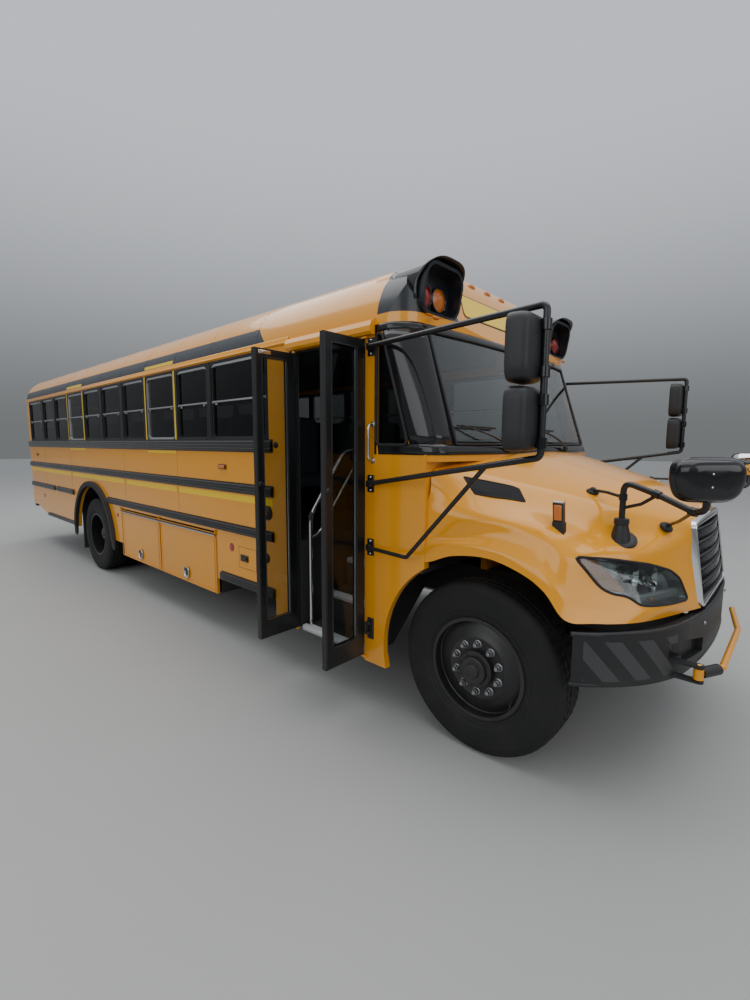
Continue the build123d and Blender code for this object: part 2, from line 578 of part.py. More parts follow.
# Entrance steps: three treads, their risers and two cheeks, with a bent handrail each side
STEP_ZS = (380, 600, 830)
STEP_RUN = (FLOOR_HALF + WELL_Y) / 3
well_x0, well_x1 = DOOR_REAR_X, DOOR_FRONT_X
steps = None
outer_y = -FLOOR_HALF
for index, z in enumerate(STEP_ZS):
    y0 = outer_y + STEP_RUN * index
    y1 = y0 + STEP_RUN if index < 2 else WELL_Y
    top = STEP_ZS[index + 1] if index < 2 else FLOOR_Z - FLOOR_T
    tread = block(well_x0, well_x1, y0, y1 + STEP_T, z, z + STEP_T)
    riser = block(well_x0, well_x1, y1, y1 + STEP_T, z, top + STEP_T if index < 2 else top)
    piece = tread + riser
    steps = piece if steps is None else steps + piece
cheek_points = [(outer_y, STEP_ZS[0]), (outer_y, FLOOR_Z - FLOOR_T), (WELL_Y + STEP_T, FLOOR_Z - FLOOR_T),
                (WELL_Y + STEP_T, STEP_ZS[2]), (outer_y + STEP_RUN, STEP_ZS[0])]
cheek_face = Plane.YZ * make_face(Polyline(*cheek_points, close=True))
for x in (well_x0 - STEP_T, well_x1):
    steps += Pos(x, 0, 0) * extrude(cheek_face, STEP_T)
RAIL_TUBE_R = 16
for x in (well_x0 + 40, well_x1 - 40):
    steps += bent_tube([(x, outer_y + 60, STEP_ZS[0] + 4), (x, outer_y + 60, 1250), (x, outer_y + 420, 1750),
                        (x, WELL_Y - 40, 1750), (x, WELL_Y - 40, STEP_ZS[2] + 4)], RAIL_TUBE_R, 50)
nodes["entrance_steps"] = steps

# Luggage bays: an open-fronted box of plates each side of the chassis, split in two
BAY_T = 12
BAY_OUT = BODY_HALF - WALL
bay_x0, bay_x1 = HATCH_SPANS[0][0], HATCH_SPANS[1][1]
bay_floor_z = HATCH_FOOT_Z + BAY_T
plates = [
    (bay_x0, bay_x1, BAY_IN, BAY_OUT, HATCH_FOOT_Z, bay_floor_z),
    (bay_x0, bay_x1, BAY_IN, BAY_IN + BAY_T, bay_floor_z, FLOOR_Z - FLOOR_T),
    (bay_x0, bay_x1, BAY_IN + BAY_T, BAY_OUT, HATCH_HEAD_Z - BAY_T, HATCH_HEAD_Z),
    (bay_x0, bay_x1, BAY_OUT - BAY_T, BAY_OUT, HATCH_HEAD_Z, FLOOR_Z - FLOOR_T),
]
for x0, x1 in ((bay_x0, bay_x0 + BAY_T), (HATCH_MIDDLE_X - BAY_T, HATCH_MIDDLE_X + BAY_T), (bay_x1 - BAY_T, bay_x1)):
    plates.append((x0, x1, BAY_IN + BAY_T, BAY_OUT, bay_floor_z, HATCH_HEAD_Z - BAY_T))
bays = []
for plate in plates:
    bays += pair(block(*plate)).solids()
nodes["luggage_bays"] = Compound(children=bays)

# Luggage hatch doors, hung from a pin along their top edges
for side, sign in (("right", -1), ("left", 1)):
    for label, (x0, x1) in zip(("rear", "front"), HATCH_SPANS):
        a, b = x0 + 12, x1 - 12
        plate = block(a, b, BODY_HALF - HATCH_T, BODY_HALF, HATCH_FOOT_Z, HATCH_AXIS_Z - 8)
        plate += block(a, b, BODY_HALF - 1, HATCH_AXIS_Y + 2, HATCH_AXIS_Z - 30, HATCH_AXIS_Z - 2)
        plate += rod((x0 + 0.5, HATCH_AXIS_Y, HATCH_AXIS_Z), (x1 - 0.5, HATCH_AXIS_Y, HATCH_AXIS_Z), 4)
        nodes[f"hatch_{side}_{label}"] = plate if sign > 0 else mirrored(plate)

# Ladder chassis: two channels and the members between them
FRAME_REAR_X = BODY_REAR_X + WALL + 5
FRAME_FRONT_X = 860
rail = block(FRAME_REAR_X, FRAME_FRONT_X, RAIL_Y - RAIL_FLANGE, RAIL_Y, RAIL_TOP_Z - RAIL_H, RAIL_TOP_Z)
rail -= block(FRAME_REAR_X - 1, FRAME_FRONT_X + 1, RAIL_Y - RAIL_FLANGE - 1, RAIL_Y - RAIL_T,
              RAIL_TOP_Z - RAIL_H + RAIL_T, RAIL_TOP_Z - RAIL_T)
chassis = list(pair(rail).solids())
CROSS_XS = (FRAME_REAR_X + 80, REAR_AXLE_X - 2329, REAR_AXLE_X - 1829, REAR_AXLE_X - 829, REAR_AXLE_X + 821,
            -4100, -2900, -1700, FRAME_FRONT_X - 100)
CROSS_FOOT_Z = RAIL_TOP_Z - 200
inner_y = RAIL_Y - RAIL_T
for x in CROSS_XS:
    chassis += block(x - 40, x + 40, -inner_y, inner_y, CROSS_FOOT_Z, RAIL_TOP_Z - 60).solids()
nodes["chassis_frame"] = Compound(children=chassis)

# Leaf springs: one bowed stack over each axle end, under the rails
SPRING_W = 76
SPRING_Y = RAIL_Y - SPRING_W / 2
SPRING_EYE_Z = RAIL_TOP_Z - RAIL_H - 45


def spring(x, half_length, thick, base_z):
    """One bowed spring with an eye block at each end, hung under the rail."""
    top = [(x - half_length, SPRING_EYE_Z), (x, base_z + thick), (x + half_length, SPRING_EYE_Z)]
    low = [(x + half_length * 0.98, SPRING_EYE_Z - 14), (x, base_z), (x - half_length * 0.98, SPRING_EYE_Z - 14)]
    edges = [ThreePointArc(*top), Line(top[2], low[0]), ThreePointArc(*low), Line(low[2], top[0])]
    leaf = Pos(0, SPRING_Y - SPRING_W / 2, 0) * extrude(side_face(edges), SPRING_W, dir=(0, 1, 0))
    for end in (-1, 1):
        eye_x = x + end * (half_length - 5)
        leaf += block(eye_x - 30, eye_x + 30, SPRING_Y - SPRING_W / 2, SPRING_Y + SPRING_W / 2,
                      SPRING_EYE_Z - 20, RAIL_TOP_Z - RAIL_H)
    return leaf


BEAM_TOP_Z = 530
TUBE_R = 70
SPRING_FOOT_REAR = AXLE_Z + TUBE_R
front_spring = spring(0, 720, 50, BEAM_TOP_Z)
rear_spring = spring(REAR_AXLE_X, 700, 60, SPRING_FOOT_REAR)
nodes["leaf_springs"] = Compound(children=[*pair(front_spring).solids(), *pair(rear_spring).solids()])

# Front axle: a dropped beam with an eye at each end for the kingpin
EYE_R = 50
EYE_Z = (AXLE_Z - 60, AXLE_Z + 60)
beam = block(-45, 45, -KINGPIN_Y, KINGPIN_Y, AXLE_Z - 50, BEAM_TOP_Z)
beam = beam - block(-46, -12, -620, 620, AXLE_Z - 30, BEAM_TOP_Z - 20)
beam = beam - block(12, 46, -620, 620, AXLE_Z - 30, BEAM_TOP_Z - 20)
for sign in (1, -1):
    y = sign * KINGPIN_Y
    beam += rod((0, y, EYE_Z[0]), (0, y, EYE_Z[1]), EYE_R)
    beam -= rod((0, y, EYE_Z[0] - 60), (0, y, EYE_Z[1] + 60), KINGPIN_R + SHAFT_GAP)
nodes["front_axle"] = beam

# Steering knuckles: kingpin, fork and spindle
FORK_GAP = 2
FORK_T = 36
WEB_Y0 = KINGPIN_Y + EYE_R + 6
WEB_T = 34
FRONT_SPINDLE_END = 1120
knuckle = rod((0, KINGPIN_Y, EYE_Z[0] - FORK_GAP - FORK_T), (0, KINGPIN_Y, EYE_Z[1] + FORK_GAP + FORK_T), KINGPIN_R)
for z0 in (EYE_Z[0] - FORK_GAP - FORK_T, EYE_Z[1] + FORK_GAP):
    knuckle += rod((0, KINGPIN_Y, z0), (0, KINGPIN_Y, z0 + FORK_T), EYE_R)
    knuckle += block(-EYE_R, EYE_R, KINGPIN_Y, WEB_Y0 + WEB_T, z0, z0 + FORK_T)
knuckle += block(-EYE_R, EYE_R, WEB_Y0, WEB_Y0 + WEB_T, EYE_Z[0] - FORK_GAP - FORK_T, EYE_Z[1] + FORK_GAP + FORK_T)
knuckle += rod((0, WEB_Y0 + WEB_T, AXLE_Z), (0, FRONT_SPINDLE_END, AXLE_Z), FRONT_SPINDLE_R)
nodes["knuckle_left"] = knuckle
nodes["knuckle_right"] = mirrored(knuckle)

# Rear axle: round housing with a spindle at each end and the gear case in the middle
REAR_HUB_IN = 575
REAR_SPINDLE_END = 1085
rear_axle = rod((REAR_AXLE_X, -REAR_HUB_IN + 10, AXLE_Z), (REAR_AXLE_X, REAR_HUB_IN - 10, AXLE_Z), TUBE_R)
rear_axle += rod((REAR_AXLE_X, -REAR_SPINDLE_END, AXLE_Z), (REAR_AXLE_X, REAR_SPINDLE_END, AXLE_Z), REAR_SPINDLE_R)
rear_axle += rod((REAR_AXLE_X - 170, 0, AXLE_Z), (REAR_AXLE_X + 150, 0, AXLE_Z), 190)
PINION_X = REAR_AXLE_X + 330
rear_axle += rod((REAR_AXLE_X + 140, 0, AXLE_Z), (PINION_X, 0, AXLE_Z), 70)
nodes["rear_axle"] = rear_axle

# Drive line: propeller shaft, gearbox block and the exhaust
ENGINE_REAR_X = -250
GEARBOX_REAR_X = -1560
drive = rod((PINION_X, 0, AXLE_Z), (PINION_X + 20, 0, AXLE_Z), 60)
drive += rod((PINION_X + 15, 0, AXLE_Z), (GEARBOX_REAR_X + 10, 0, 640), 45)
gearbox = block(GEARBOX_REAR_X, ENGINE_REAR_X, -190, 190, 560, 860)
MUFFLER_Y = -210
TAIL_Y = -245
MUFFLER_Z = 560
TAIL_Z = 520
PIPE_R = 45
exhaust = rod((-3900, MUFFLER_Y, MUFFLER_Z), (-2700, MUFFLER_Y, MUFFLER_Z), 110)
exhaust += bent_tube([(-3890, MUFFLER_Y, MUFFLER_Z), (-4300, MUFFLER_Y, MUFFLER_Z), (-4800, -255, 645),
                      (REAR_AXLE_X - 529, -255, 645), (REAR_AXLE_X - 1129, TAIL_Y, TAIL_Z),
                      (BODY_REAR_X - 40, TAIL_Y, TAIL_Z)], PIPE_R, 150)
for x, y, z in ((CROSS_XS[6], MUFFLER_Y, MUFFLER_Z), (CROSS_XS[5], MUFFLER_Y, MUFFLER_Z),
                (CROSS_XS[2], TAIL_Y, TAIL_Z), (CROSS_XS[0], TAIL_Y, TAIL_Z)):
    exhaust += block(x - 15, x + 15, y - 12, y + 12, z, CROSS_FOOT_Z)
nodes["drive_line"] = Compound(children=[*(drive + gearbox).solids(), *exhaust.solids()])

# Fuel tank hung under two cross members behind the rear axle
tank = block(CROSS_XS[1] - 450, CROSS_XS[2] - 20, -150, RAIL_Y - 110, 400, CROSS_FOOT_Z)
nodes["fuel_tank"] = fillet(tank.edges().filter_by(Axis.X), 40)

# Engine: one plain block behind the grille, on two feet that stand on the rails
engine = block(ENGINE_REAR_X, 640, -300, 300, 700, 1450)
for sign in (1, -1):
    engine += block(180, 320, sign * 290, sign * 400, RAIL_TOP_Z, RAIL_TOP_Z + 40)
nodes["engine_block"] = engine


def tire(middle_y):
    """A plain round tyre with rounded shoulders, standing on the ground."""
    half = TIRE_W / 2
    bead = half - 25
    edges = [
        Line((middle_y - bead, RIM_R + SEAT_GAP), (middle_y + bead, RIM_R + SEAT_GAP)),
        Line((middle_y + bead, RIM_R + SEAT_GAP), (middle_y + bead, FLANGE_R + 6)),
        ThreePointArc((middle_y + bead, FLANGE_R + 6), (middle_y + half, 410), (middle_y + half - 18, 492)),
        ThreePointArc((middle_y + half - 18, 492), (middle_y + half - 24, 506), (middle_y + half - 40, TIRE_R)),
        Line((middle_y + half - 40, TIRE_R), (middle_y - half + 40, TIRE_R)),
        ThreePointArc((middle_y - half + 40, TIRE_R), (middle_y - half + 24, 506), (middle_y - half + 18, 492)),
        ThreePointArc((middle_y - half + 18, 492), (middle_y - half, 410), (middle_y - bead, FLANGE_R + 6)),
        Line((middle_y - bead, FLANGE_R + 6), (middle_y - bead, RIM_R + SEAT_GAP)),
    ]
    face = Plane(origin=(0, 0, 0), x_dir=(0, 1, 0), z_dir=(1, 0, 0)) * make_face(edges)
    return Pos(0, 0, AXLE_Z) * revolve(face, Axis.Y)


def turned(y0, y1, outer, inner):
    """A bored disc or sleeve round the wheel's axis."""
    return ring((0, y0, AXLE_Z), (0, y1, AXLE_Z), outer, inner)


def dish(disc_y, join_y):
    """A wheel's disc: flat round the hub, then a cone out to the barrel."""
    reach = RIM_R - RIM_T + 1
    points = [(disc_y - DISC_T, HUB_R - 5), (disc_y, HUB_R - 5), (disc_y, DISC_FLAT_R), (join_y, reach),
              (join_y - DISC_T, reach), (disc_y - DISC_T, DISC_FLAT_R)]
    face = Plane(origin=(0, 0, 0), x_dir=(0, 1, 0), z_dir=(1, 0, 0)) * make_face(Polyline(*points, close=True))
    return Pos(0, 0, AXLE_Z) * revolve(face, Axis.Y)


def wheel(middle_y, disc_y, join_y, hub_y0, hub_y1, bore):
    """A rim with its disc, ten hand holes, ten studs and a bored hub."""
    bead = TIRE_W / 2 - 25
    rim = turned(middle_y - bead - 12, middle_y + bead + 12, RIM_R, RIM_R - RIM_T)
    rim += turned(middle_y + bead + 2, middle_y + bead + 12, FLANGE_R, RIM_R - 1)
    rim += turned(middle_y - bead - 12, middle_y - bead - 2, FLANGE_R, RIM_R - 1)
    rim += dish(disc_y, join_y)
    for index in range(STUDS):
        turn = 2 * math.pi * (index + 0.5) / STUDS
        x, z = HAND_HOLE_AT * math.sin(turn), AXLE_Z + HAND_HOLE_AT * math.cos(turn)
        rim -= rod((x, disc_y - 70, z), (x, disc_y + 70, z), HAND_HOLE_R)
        turn = 2 * math.pi * index / STUDS
        x, z = STUD_PCD / 2 * math.sin(turn), AXLE_Z + STUD_PCD / 2 * math.cos(turn)
        rim += rod((x, disc_y - 2, z), (x, disc_y + 38, z), STUD_R)
    rim += turned(hub_y0, hub_y1, HUB_R, bore)
    rim += rod((0, hub_y1 - 1, AXLE_Z), (0, hub_y1 + 22, AXLE_Z), HUB_R - 30)
    return rim


FRONT_HUB_IN = WEB_Y0 + WEB_T + 10
FRONT_DISC_Y = FRONT_TRACK_HALF + 100
front_rim = wheel(FRONT_TRACK_HALF, FRONT_DISC_Y, FRONT_DISC_Y - 34, FRONT_HUB_IN, FRONT_SPINDLE_END + 6,
                  FRONT_SPINDLE_R + SHAFT_GAP)
front_tire = tire(FRONT_TRACK_HALF)
nodes["rim_front_left"] = front_rim
nodes["rim_front_right"] = mirrored(front_rim)
nodes["tire_front_left"] = front_tire
nodes["tire_front_right"] = mirrored(front_tire)

DUAL_MID = (DUAL_OUTER + DUAL_INNER) / 2
rear_bore = REAR_SPINDLE_R + SHAFT_GAP
rear_rim = wheel(DUAL_OUTER, DUAL_MID + DISC_T, DUAL_MID + DISC_T + 56, REAR_HUB_IN, REAR_SPINDLE_END + 6, rear_bore)
rear_rim += wheel(DUAL_INNER, DUAL_MID, DUAL_MID - 56, REAR_HUB_IN, REAR_SPINDLE_END + 6, rear_bore)
rear_rim = Pos(REAR_AXLE_X, 0, 0) * rear_rim
rear_tires = Pos(REAR_AXLE_X, 0, 0) * Compound(children=[*tire(DUAL_OUTER).solids(), *tire(DUAL_INNER).solids()])
nodes["rims_rear_left"] = rear_rim
nodes["rims_rear_right"] = mirrored(rear_rim)
nodes["tires_rear_left"] = rear_tires
nodes["tires_rear_right"] = mirrored(rear_tires)

# Hood: upright sections from the windshield to the nose. Each row gives X and the height of the
# middle, then Y and Z of the deck halfway out, the shoulder, the valley, the fender's crease, the
# foot of its side and the arch lip's top
HOOD_T = 14
HOOD_ROWS = [
    (HOOD_SEAM_X + SWING_GAP, 1757, 600, 1733, 1165, 1656, 1188, 1530, 1200, 1400, 1203, 1270, 1213, 1220),
    (-100, 1748, 500, 1722, 1020, 1627, 1120, 1515, 1190, 1412, 1180, 1275, 1213, 1250),
    (120, 1716, 460, 1684, 905, 1578, 1030, 1484, 1168, 1405, 1170, 1316, 1212, 1245),
    (340, 1650, 400, 1622, 800, 1536, 930, 1438, 1127, 1382, 1163, 1268, 1208, 1180),
    (500, 1598, 370, 1569, 735, 1488, 860, 1378, 1100, 1268, 1140, 1150, 1185, 1078),
    (600, 1565, 345, 1533, 690, 1457, 800, 1345, 990, 1265, 1150, 1200, 1185, 1090),
    (760, 1505, 250, 1477, 510, 1412, 620, 1330, 775, 1254, 1100, 1200, 1170, 1100),
    (900, 1435, 200, 1420, 395, 1376, 420, 1320, 450, 1220, 900, 1180, 1150, 1100),
    (1060, 1330, 160, 1320, 330, 1280, 350, 1250, 380, 1180, 800, 1100, 1100, 1050),
]
HOOD_LOW_Z = 952
WIDE = BODY_HALF / 1219
HOOD_SIDE = 1213 * WIDE
NOSE_LEAN = (-67, 440)
NOSE_Z0 = 930


def hood_space(inset):
    """The space under the hood's skin, drawn in by inset."""
    sections = []
    for x, crown, *rest in HOOD_ROWS:
        line = [(y * WIDE, z) for y, z in zip(rest[0::2], rest[1::2])]
        low_y = line[-1][0]
        half = [(low_y - inset, HOOD_LOW_Z - 3 * inset), (low_y - inset, line[-1][1] - inset * 0.6)]
        half += [(y - inset * 0.7, z - inset * 0.7) for y, z in reversed(line[2:-1])]
        half += [(y - inset * 0.4, z - inset) for y, z in reversed(line[:2])]
        half.append((0, crown - inset))
        points = half + [(-y, z) for y, z in reversed(half[:-1])]
        sections.append(Plane(origin=(x, 0, 0), x_dir=(0, 1, 0), z_dir=(1, 0, 0)) * make_face(
            Polyline(*points, close=True)))
    body = loft(sections, ruled=True)
    out, side = HOOD_SIDE + 90, HOOD_SIDE - inset
    knee = (768 - inset * 0.7, 1000 * WIDE - inset * 0.7)
    front = (935 - inset, 600 * WIDE)
    plan = [
        Line((-700, -out), (420, -out)),
        Line((420, -out), (490, -side)),
        ThreePointArc((490, -side), (knee[0], -knee[1]), (front[0], -front[1])),
        ThreePointArc((front[0], -front[1]), (990 - inset, 0), front),
        ThreePointArc(front, knee, (490, side)),
        Line((490, side), (420, out)),
        Line((420, out), (-700, out)),
        Line((-700, out), (-700, -out)),
    ]
    base = Pos(0, 0, NOSE_Z0 - 60) * make_face(plan)
    rise = 1000
    lean = NOSE_LEAN[0] / NOSE_LEAN[1]
    body &= extrude(base, rise * math.hypot(1, lean), dir=(lean, 0, 1))
    return body


def nose_band(inset0, inset1):
    """The layer of the nose between two depths under its skin."""
    return hood_space(inset0) - hood_space(inset1)


GRILLE_HALF = 410
GRILLE_Z = (975, 1330)
LAMP_POINTS = [(1075, 1262), (720, 1215), (690, 1060), (760, 1010), (860, 1030), (1000, 1130)]

hood = nose_band(0, HOOD_T)
arch = rod((FRONT_ARCH_X, 640, FRONT_ARCH_Z), (FRONT_ARCH_X, 1300, FRONT_ARCH_Z), FRONT_ARCH_R)
hood -= arch + mirrored(arch)
shelf_gap = Pos(0, 0, COWL_Z - SHELF_T - 8) * extrude(
    make_face(front_plan(BASE_FRONT_X + 10, BASE_CORNER[0] + 12, BASE_CORNER[1] + 10, BASE_CORNER[2] + 10, -10)), 200)
hood -= shelf_gap
hood -= block(700, 1100, -GRILLE_HALF, GRILLE_HALF, GRILLE_Z[0], GRILLE_Z[1])


def lamp_prism(grow):
    """The headlamp's outline seen from the front, carried back through the fender."""
    plane = Plane(origin=(380, 0, 0), x_dir=(0, 1, 0), z_dir=(1, 0, 0))
    face = make_face(Polyline(*[(y * WIDE, z) for y, z in LAMP_POINTS], close=True))
    if grow:
        face = offset(face, grow)
    return extrude(plane * face, 800)


hood -= lamp_prism(0) + mirrored(lamp_prism(0))
EAR_Y = (356, 368)
HOOD_PIN_R = 8
EAR_TOP_Z = GRILLE_Z[0] - 2
ear = side_prism([(HOOD_PIVOT_X - 22, EAR_TOP_Z), (HOOD_PIVOT_X - 6, EAR_TOP_Z), (HOOD_PIVOT_X + 8, HOOD_PIVOT_Z + 6),
                  (HOOD_PIVOT_X + 8, HOOD_PIVOT_Z - 8), (HOOD_PIVOT_X - 22, HOOD_PIVOT_Z - 8)], EAR_Y[0], EAR_Y[1])
ear += rod((HOOD_PIVOT_X, EAR_Y[0] - 20, HOOD_PIVOT_Z), (HOOD_PIVOT_X, EAR_Y[1], HOOD_PIVOT_Z), HOOD_PIN_R)
hood += ear + mirrored(ear)
nodes["hood"] = hood

grille = nose_band(4, 26) & block(700, 1100, -GRILLE_HALF + SEAT_GAP, GRILLE_HALF - SEAT_GAP,
                                  GRILLE_Z[0] + SEAT_GAP, GRILLE_Z[1] - SEAT_GAP)
SLATS = 9
slat_pitch = (GRILLE_Z[1] - GRILLE_Z[0] - 60) / SLATS
for index in range(SLATS):
    z = GRILLE_Z[0] + 30 + slat_pitch * (index + 0.5)
    for x in (-1, 1):
        grille -= block(700, 1100, x * 12, x * (GRILLE_HALF - 30), z - slat_pitch * 0.28, z + slat_pitch * 0.28)
nodes["grille"] = grille

lamp = nose_band(3, 60) & lamp_prism(-SEAT_GAP)
lamp = max(lamp.solids(), key=lambda s: s.volume)
nodes["headlamps"] = pair(lamp)

# Cross-view mirrors on the hood
BOWL_HALF = (140, 170, 110)
BOWL_AT = (FRONT_OVERHANG - BOWL_HALF[0], 960, 1650)
STALK_FOOT = (640, 800, 1290)
stalk = bent_tube([STALK_FOOT, (STALK_FOOT[0], STALK_FOOT[1], 1600), (BOWL_AT[0] - 50, 860, 1530),
                   (BOWL_AT[0], 900, 1590)], 13, 40)
hood_mirror = stalk + Pos(*BOWL_AT) * scale(Sphere(1), by=BOWL_HALF)
hood_mirror = hood_mirror - hood_space(-SEAT_GAP)
hood_mirror = max(hood_mirror.solids(), key=lambda s: s.volume)
nodes["hood_mirrors"] = pair(hood_mirror)

# Front bumper: a wrapped channel with the hood's hinge lugs and the crossing arm's bracket
BUMPER_Z = (640, 903)
BUMPER_T = 60
BUMPER_END_X = 560


def bumper_plan(inset):
    """Plan of the bumper's outer face, drawn in by inset."""
    side, bend, front = BODY_HALF - 34 - inset, 980 * WIDE - inset * 0.7, 640 * WIDE
    return [
        Line((0, -side), (BUMPER_END_X, -side)),
        ThreePointArc((BUMPER_END_X, -side), (790 - inset * 0.7, -bend), (945 - inset, -front)),
        ThreePointArc((945 - inset, -front), (995 - inset, 0), (945 - inset, front)),
        ThreePointArc((945 - inset, front), (790 - inset * 0.7, bend), (BUMPER_END_X, side)),
        Line((BUMPER_END_X, side), (0, side)),
        Line((0, side), (0, -side)),
    ]


bumper = plan_prism(bumper_plan(0), *BUMPER_Z) - plan_prism(bumper_plan(BUMPER_T), BUMPER_Z[0] - 1, BUMPER_Z[1] + 1)
bumper -= block(-10, BUMPER_END_X, -BODY_HALF, BODY_HALF, 0, 1000)
# Recess for a fog lamp each side: Y and Z of its outline
FOG_POINTS = [(812, 825), (675, 822), (384, 760), (384, 686), (587, 701), (700, 716), (700, 752), (800, 752)]
FOG_DEPTH = 35
fog_plane = Plane(origin=(BUMPER_END_X, 0, 0), x_dir=(0, 1, 0), z_dir=(1, 0, 0))
fog = extrude(fog_plane * make_face(Polyline(*FOG_POINTS, close=True)), 600)
fog -= plan_prism(bumper_plan(FOG_DEPTH), 0, 1000)
bumper = bumper - fog - mirrored(fog)
for sign in (1, -1):
    y0, y1 = sign * 338, sign * 351
    lug = block(HOOD_PIVOT_X - 14, HOOD_PIVOT_X + 14, y0, y1, BUMPER_Z[1], HOOD_PIVOT_Z)
    lug += rod((HOOD_PIVOT_X, y0, HOOD_PIVOT_Z), (HOOD_PIVOT_X, y1, HOOD_PIVOT_Z), 14)
    lug -= rod((HOOD_PIVOT_X, y0 - sign * 5, HOOD_PIVOT_Z), (HOOD_PIVOT_X, y1 + sign * 5, HOOD_PIVOT_Z),
               HOOD_PIN_R + SHAFT_GAP)
    bumper += lug
    bumper += block(FRAME_FRONT_X, 940, sign * (RAIL_Y - RAIL_FLANGE), sign * RAIL_Y, 680, 860)
ARM_PIN_R = 9
ARM_LUG_Z = [(ARM_Z - 44, ARM_Z - 32), (ARM_Z + 32, ARM_Z + 44)]
for z0, z1 in ARM_LUG_Z:
    lug = rod((ARM_AXIS_X, -ARM_AXIS_Y, z0), (ARM_AXIS_X, -ARM_AXIS_Y, z1), 24)
    lug += block(ARM_AXIS_X - 140, ARM_AXIS_X, -ARM_AXIS_Y - 24, -ARM_AXIS_Y + 24, z0, z1)
    lug -= plan_prism(bumper_plan(BUMPER_T / 2), 0, 2000)
    lug -= rod((ARM_AXIS_X, -ARM_AXIS_Y, z0 - 5), (ARM_AXIS_X, -ARM_AXIS_Y, z1 + 5), ARM_PIN_R + SHAFT_GAP)
    bumper += lug
nodes["front_bumper"] = bumper

ARM_TUBE_R = 17
arm_front_x = ARM_FRONT - ARM_TUBE_R
arm_route = [(ARM_AXIS_X, -ARM_AXIS_Y, ARM_Z), (arm_front_x, -ARM_AXIS_Y + 160, ARM_Z), (arm_front_x, 60, ARM_Z),
             (1020, 500, ARM_Z)]
arm = bent_tube(arm_route, ARM_TUBE_R, 60)
arm += rod((ARM_AXIS_X, -ARM_AXIS_Y, ARM_LUG_Z[0][0]), (ARM_AXIS_X, -ARM_AXIS_Y, ARM_LUG_Z[1][1]), ARM_PIN_R)
arm += rod((ARM_AXIS_X, -ARM_AXIS_Y, ARM_Z - 27), (ARM_AXIS_X, -ARM_AXIS_Y, ARM_Z + 27), 22)
nodes["crossing_arm"] = arm

# Rear bumper: a channel right across, on two brackets from the chassis
REAR_BUMPER_Z = (620, 890)
rear_x = REAR_AXLE_X - REAR_OVERHANG
REAR_BUMPER_HALF = BODY_HALF - 29
rear_bumper = block(rear_x, BODY_REAR_X - 1, -REAR_BUMPER_HALF, REAR_BUMPER_HALF, *REAR_BUMPER_Z)
rear_bumper -= block(rear_x + 10, BODY_REAR_X, -REAR_BUMPER_HALF + 10, REAR_BUMPER_HALF - 10,
                     REAR_BUMPER_Z[0] + 10, REAR_BUMPER_Z[1] - 10)
TOW_HOLE_R = 22
TOW_PLATE = (380, 400)
TOW_X = rear_x + 75
TOW_Z = 572
for sign in (1, -1):
    rear_bumper += block(rear_x + 9, FRAME_REAR_X, sign * (RAIL_Y - RAIL_FLANGE), sign * RAIL_Y, 690, 850)
    rear_bumper += block(TOW_X - 50, TOW_X + 50, sign * TOW_PLATE[0], sign * TOW_PLATE[1], TOW_Z - 45, 700)
    rear_bumper -= rod((TOW_X, sign * (TOW_PLATE[0] - 5), TOW_Z), (TOW_X, sign * (TOW_PLATE[1] + 5), TOW_Z), TOW_HOLE_R)
nodes["rear_bumper"] = rear_bumper

# Rear-view mirrors: bent tube arms off the door posts, and two heads on each
MIRROR_POST_X = -730
MIRROR_TUBE_R = 15
MIRROR_X = 487
MIRROR_Y = BODY_HALF + 256
MIRROR_POST_Y = BODY_HALF + 31
arm_top = bent_tube([(MIRROR_POST_X, BODY_HALF, 2397), (MIRROR_POST_X, MIRROR_POST_Y, 2397), (MIRROR_X, MIRROR_Y, 2372),
                     (MIRROR_X, MIRROR_Y, 1745), (MIRROR_POST_X, MIRROR_POST_Y, 1549), (MIRROR_POST_X, BODY_HALF, 1549)],
                    MIRROR_TUBE_R, 28)
brace = bent_tube([(MIRROR_POST_X, BODY_HALF, 1136), (MIRROR_POST_X, MIRROR_POST_Y - 5, 1136),
                   (-380, MIRROR_POST_Y + 40, 1136), (200, MIRROR_POST_Y + 172, 1699)], 12, 24)
nodes["mirror_arms"] = pair(arm_top + brace)
HEADS = [(2055, 2338), (1770, 2043)]
HEAD_T = 95
heads = []
for z0, z1 in HEADS:
    face_x = MIRROR_X - MIRROR_TUBE_R - SEAT_GAP
    head = block(face_x - HEAD_T, face_x, MIRROR_Y - 70, MIRROR_Y + 145, z0, z1)
    head = fillet(head.edges().filter_by(Axis.X), 40)
    heads.extend(head.solids() + mirrored(head).solids())
nodes["mirror_heads"] = Compound(children=heads)

# Entrance door: two leaves, stored open, each a frame with one tall glass
LEAF_Z = (DOOR_FOOT_Z + 18, DOOR_HEAD_Z - 20)
LEAF_NEAR = 16
STILE = 60
LEAF_FOOT = 130


def leaf(x):
    """One open door leaf: frame, hinge pin and web, and its glass."""
    y0, y1 = -LEAF_AXIS_Y - LEAF_REACH, -LEAF_AXIS_Y - LEAF_NEAR
    frame = block(x - LEAF_T / 2, x + LEAF_T / 2, y0, y1, *LEAF_Z)
    hole = (x - LEAF_T, x + LEAF_T, y0 + STILE, y1 - STILE, LEAF_Z[0] + LEAF_FOOT, LEAF_Z[1] - STILE)
    frame -= block(*hole)
    frame += rod((x, -LEAF_AXIS_Y, LEAF_LUGS[0][0]), (x, -LEAF_AXIS_Y, LEAF_LUGS[1][1]), LEAF_PIN_R)
    frame += block(x - 6, x + 6, y1 - 1, -LEAF_AXIS_Y, LEAF_Z[0] + 20, LEAF_Z[1] - 20)
    gap = SEAT_GAP
    pane = block(x - GLASS_T / 2, x + GLASS_T / 2, hole[2] + gap, hole[3] - gap, hole[4] + gap, hole[5] - gap)
    return frame, pane


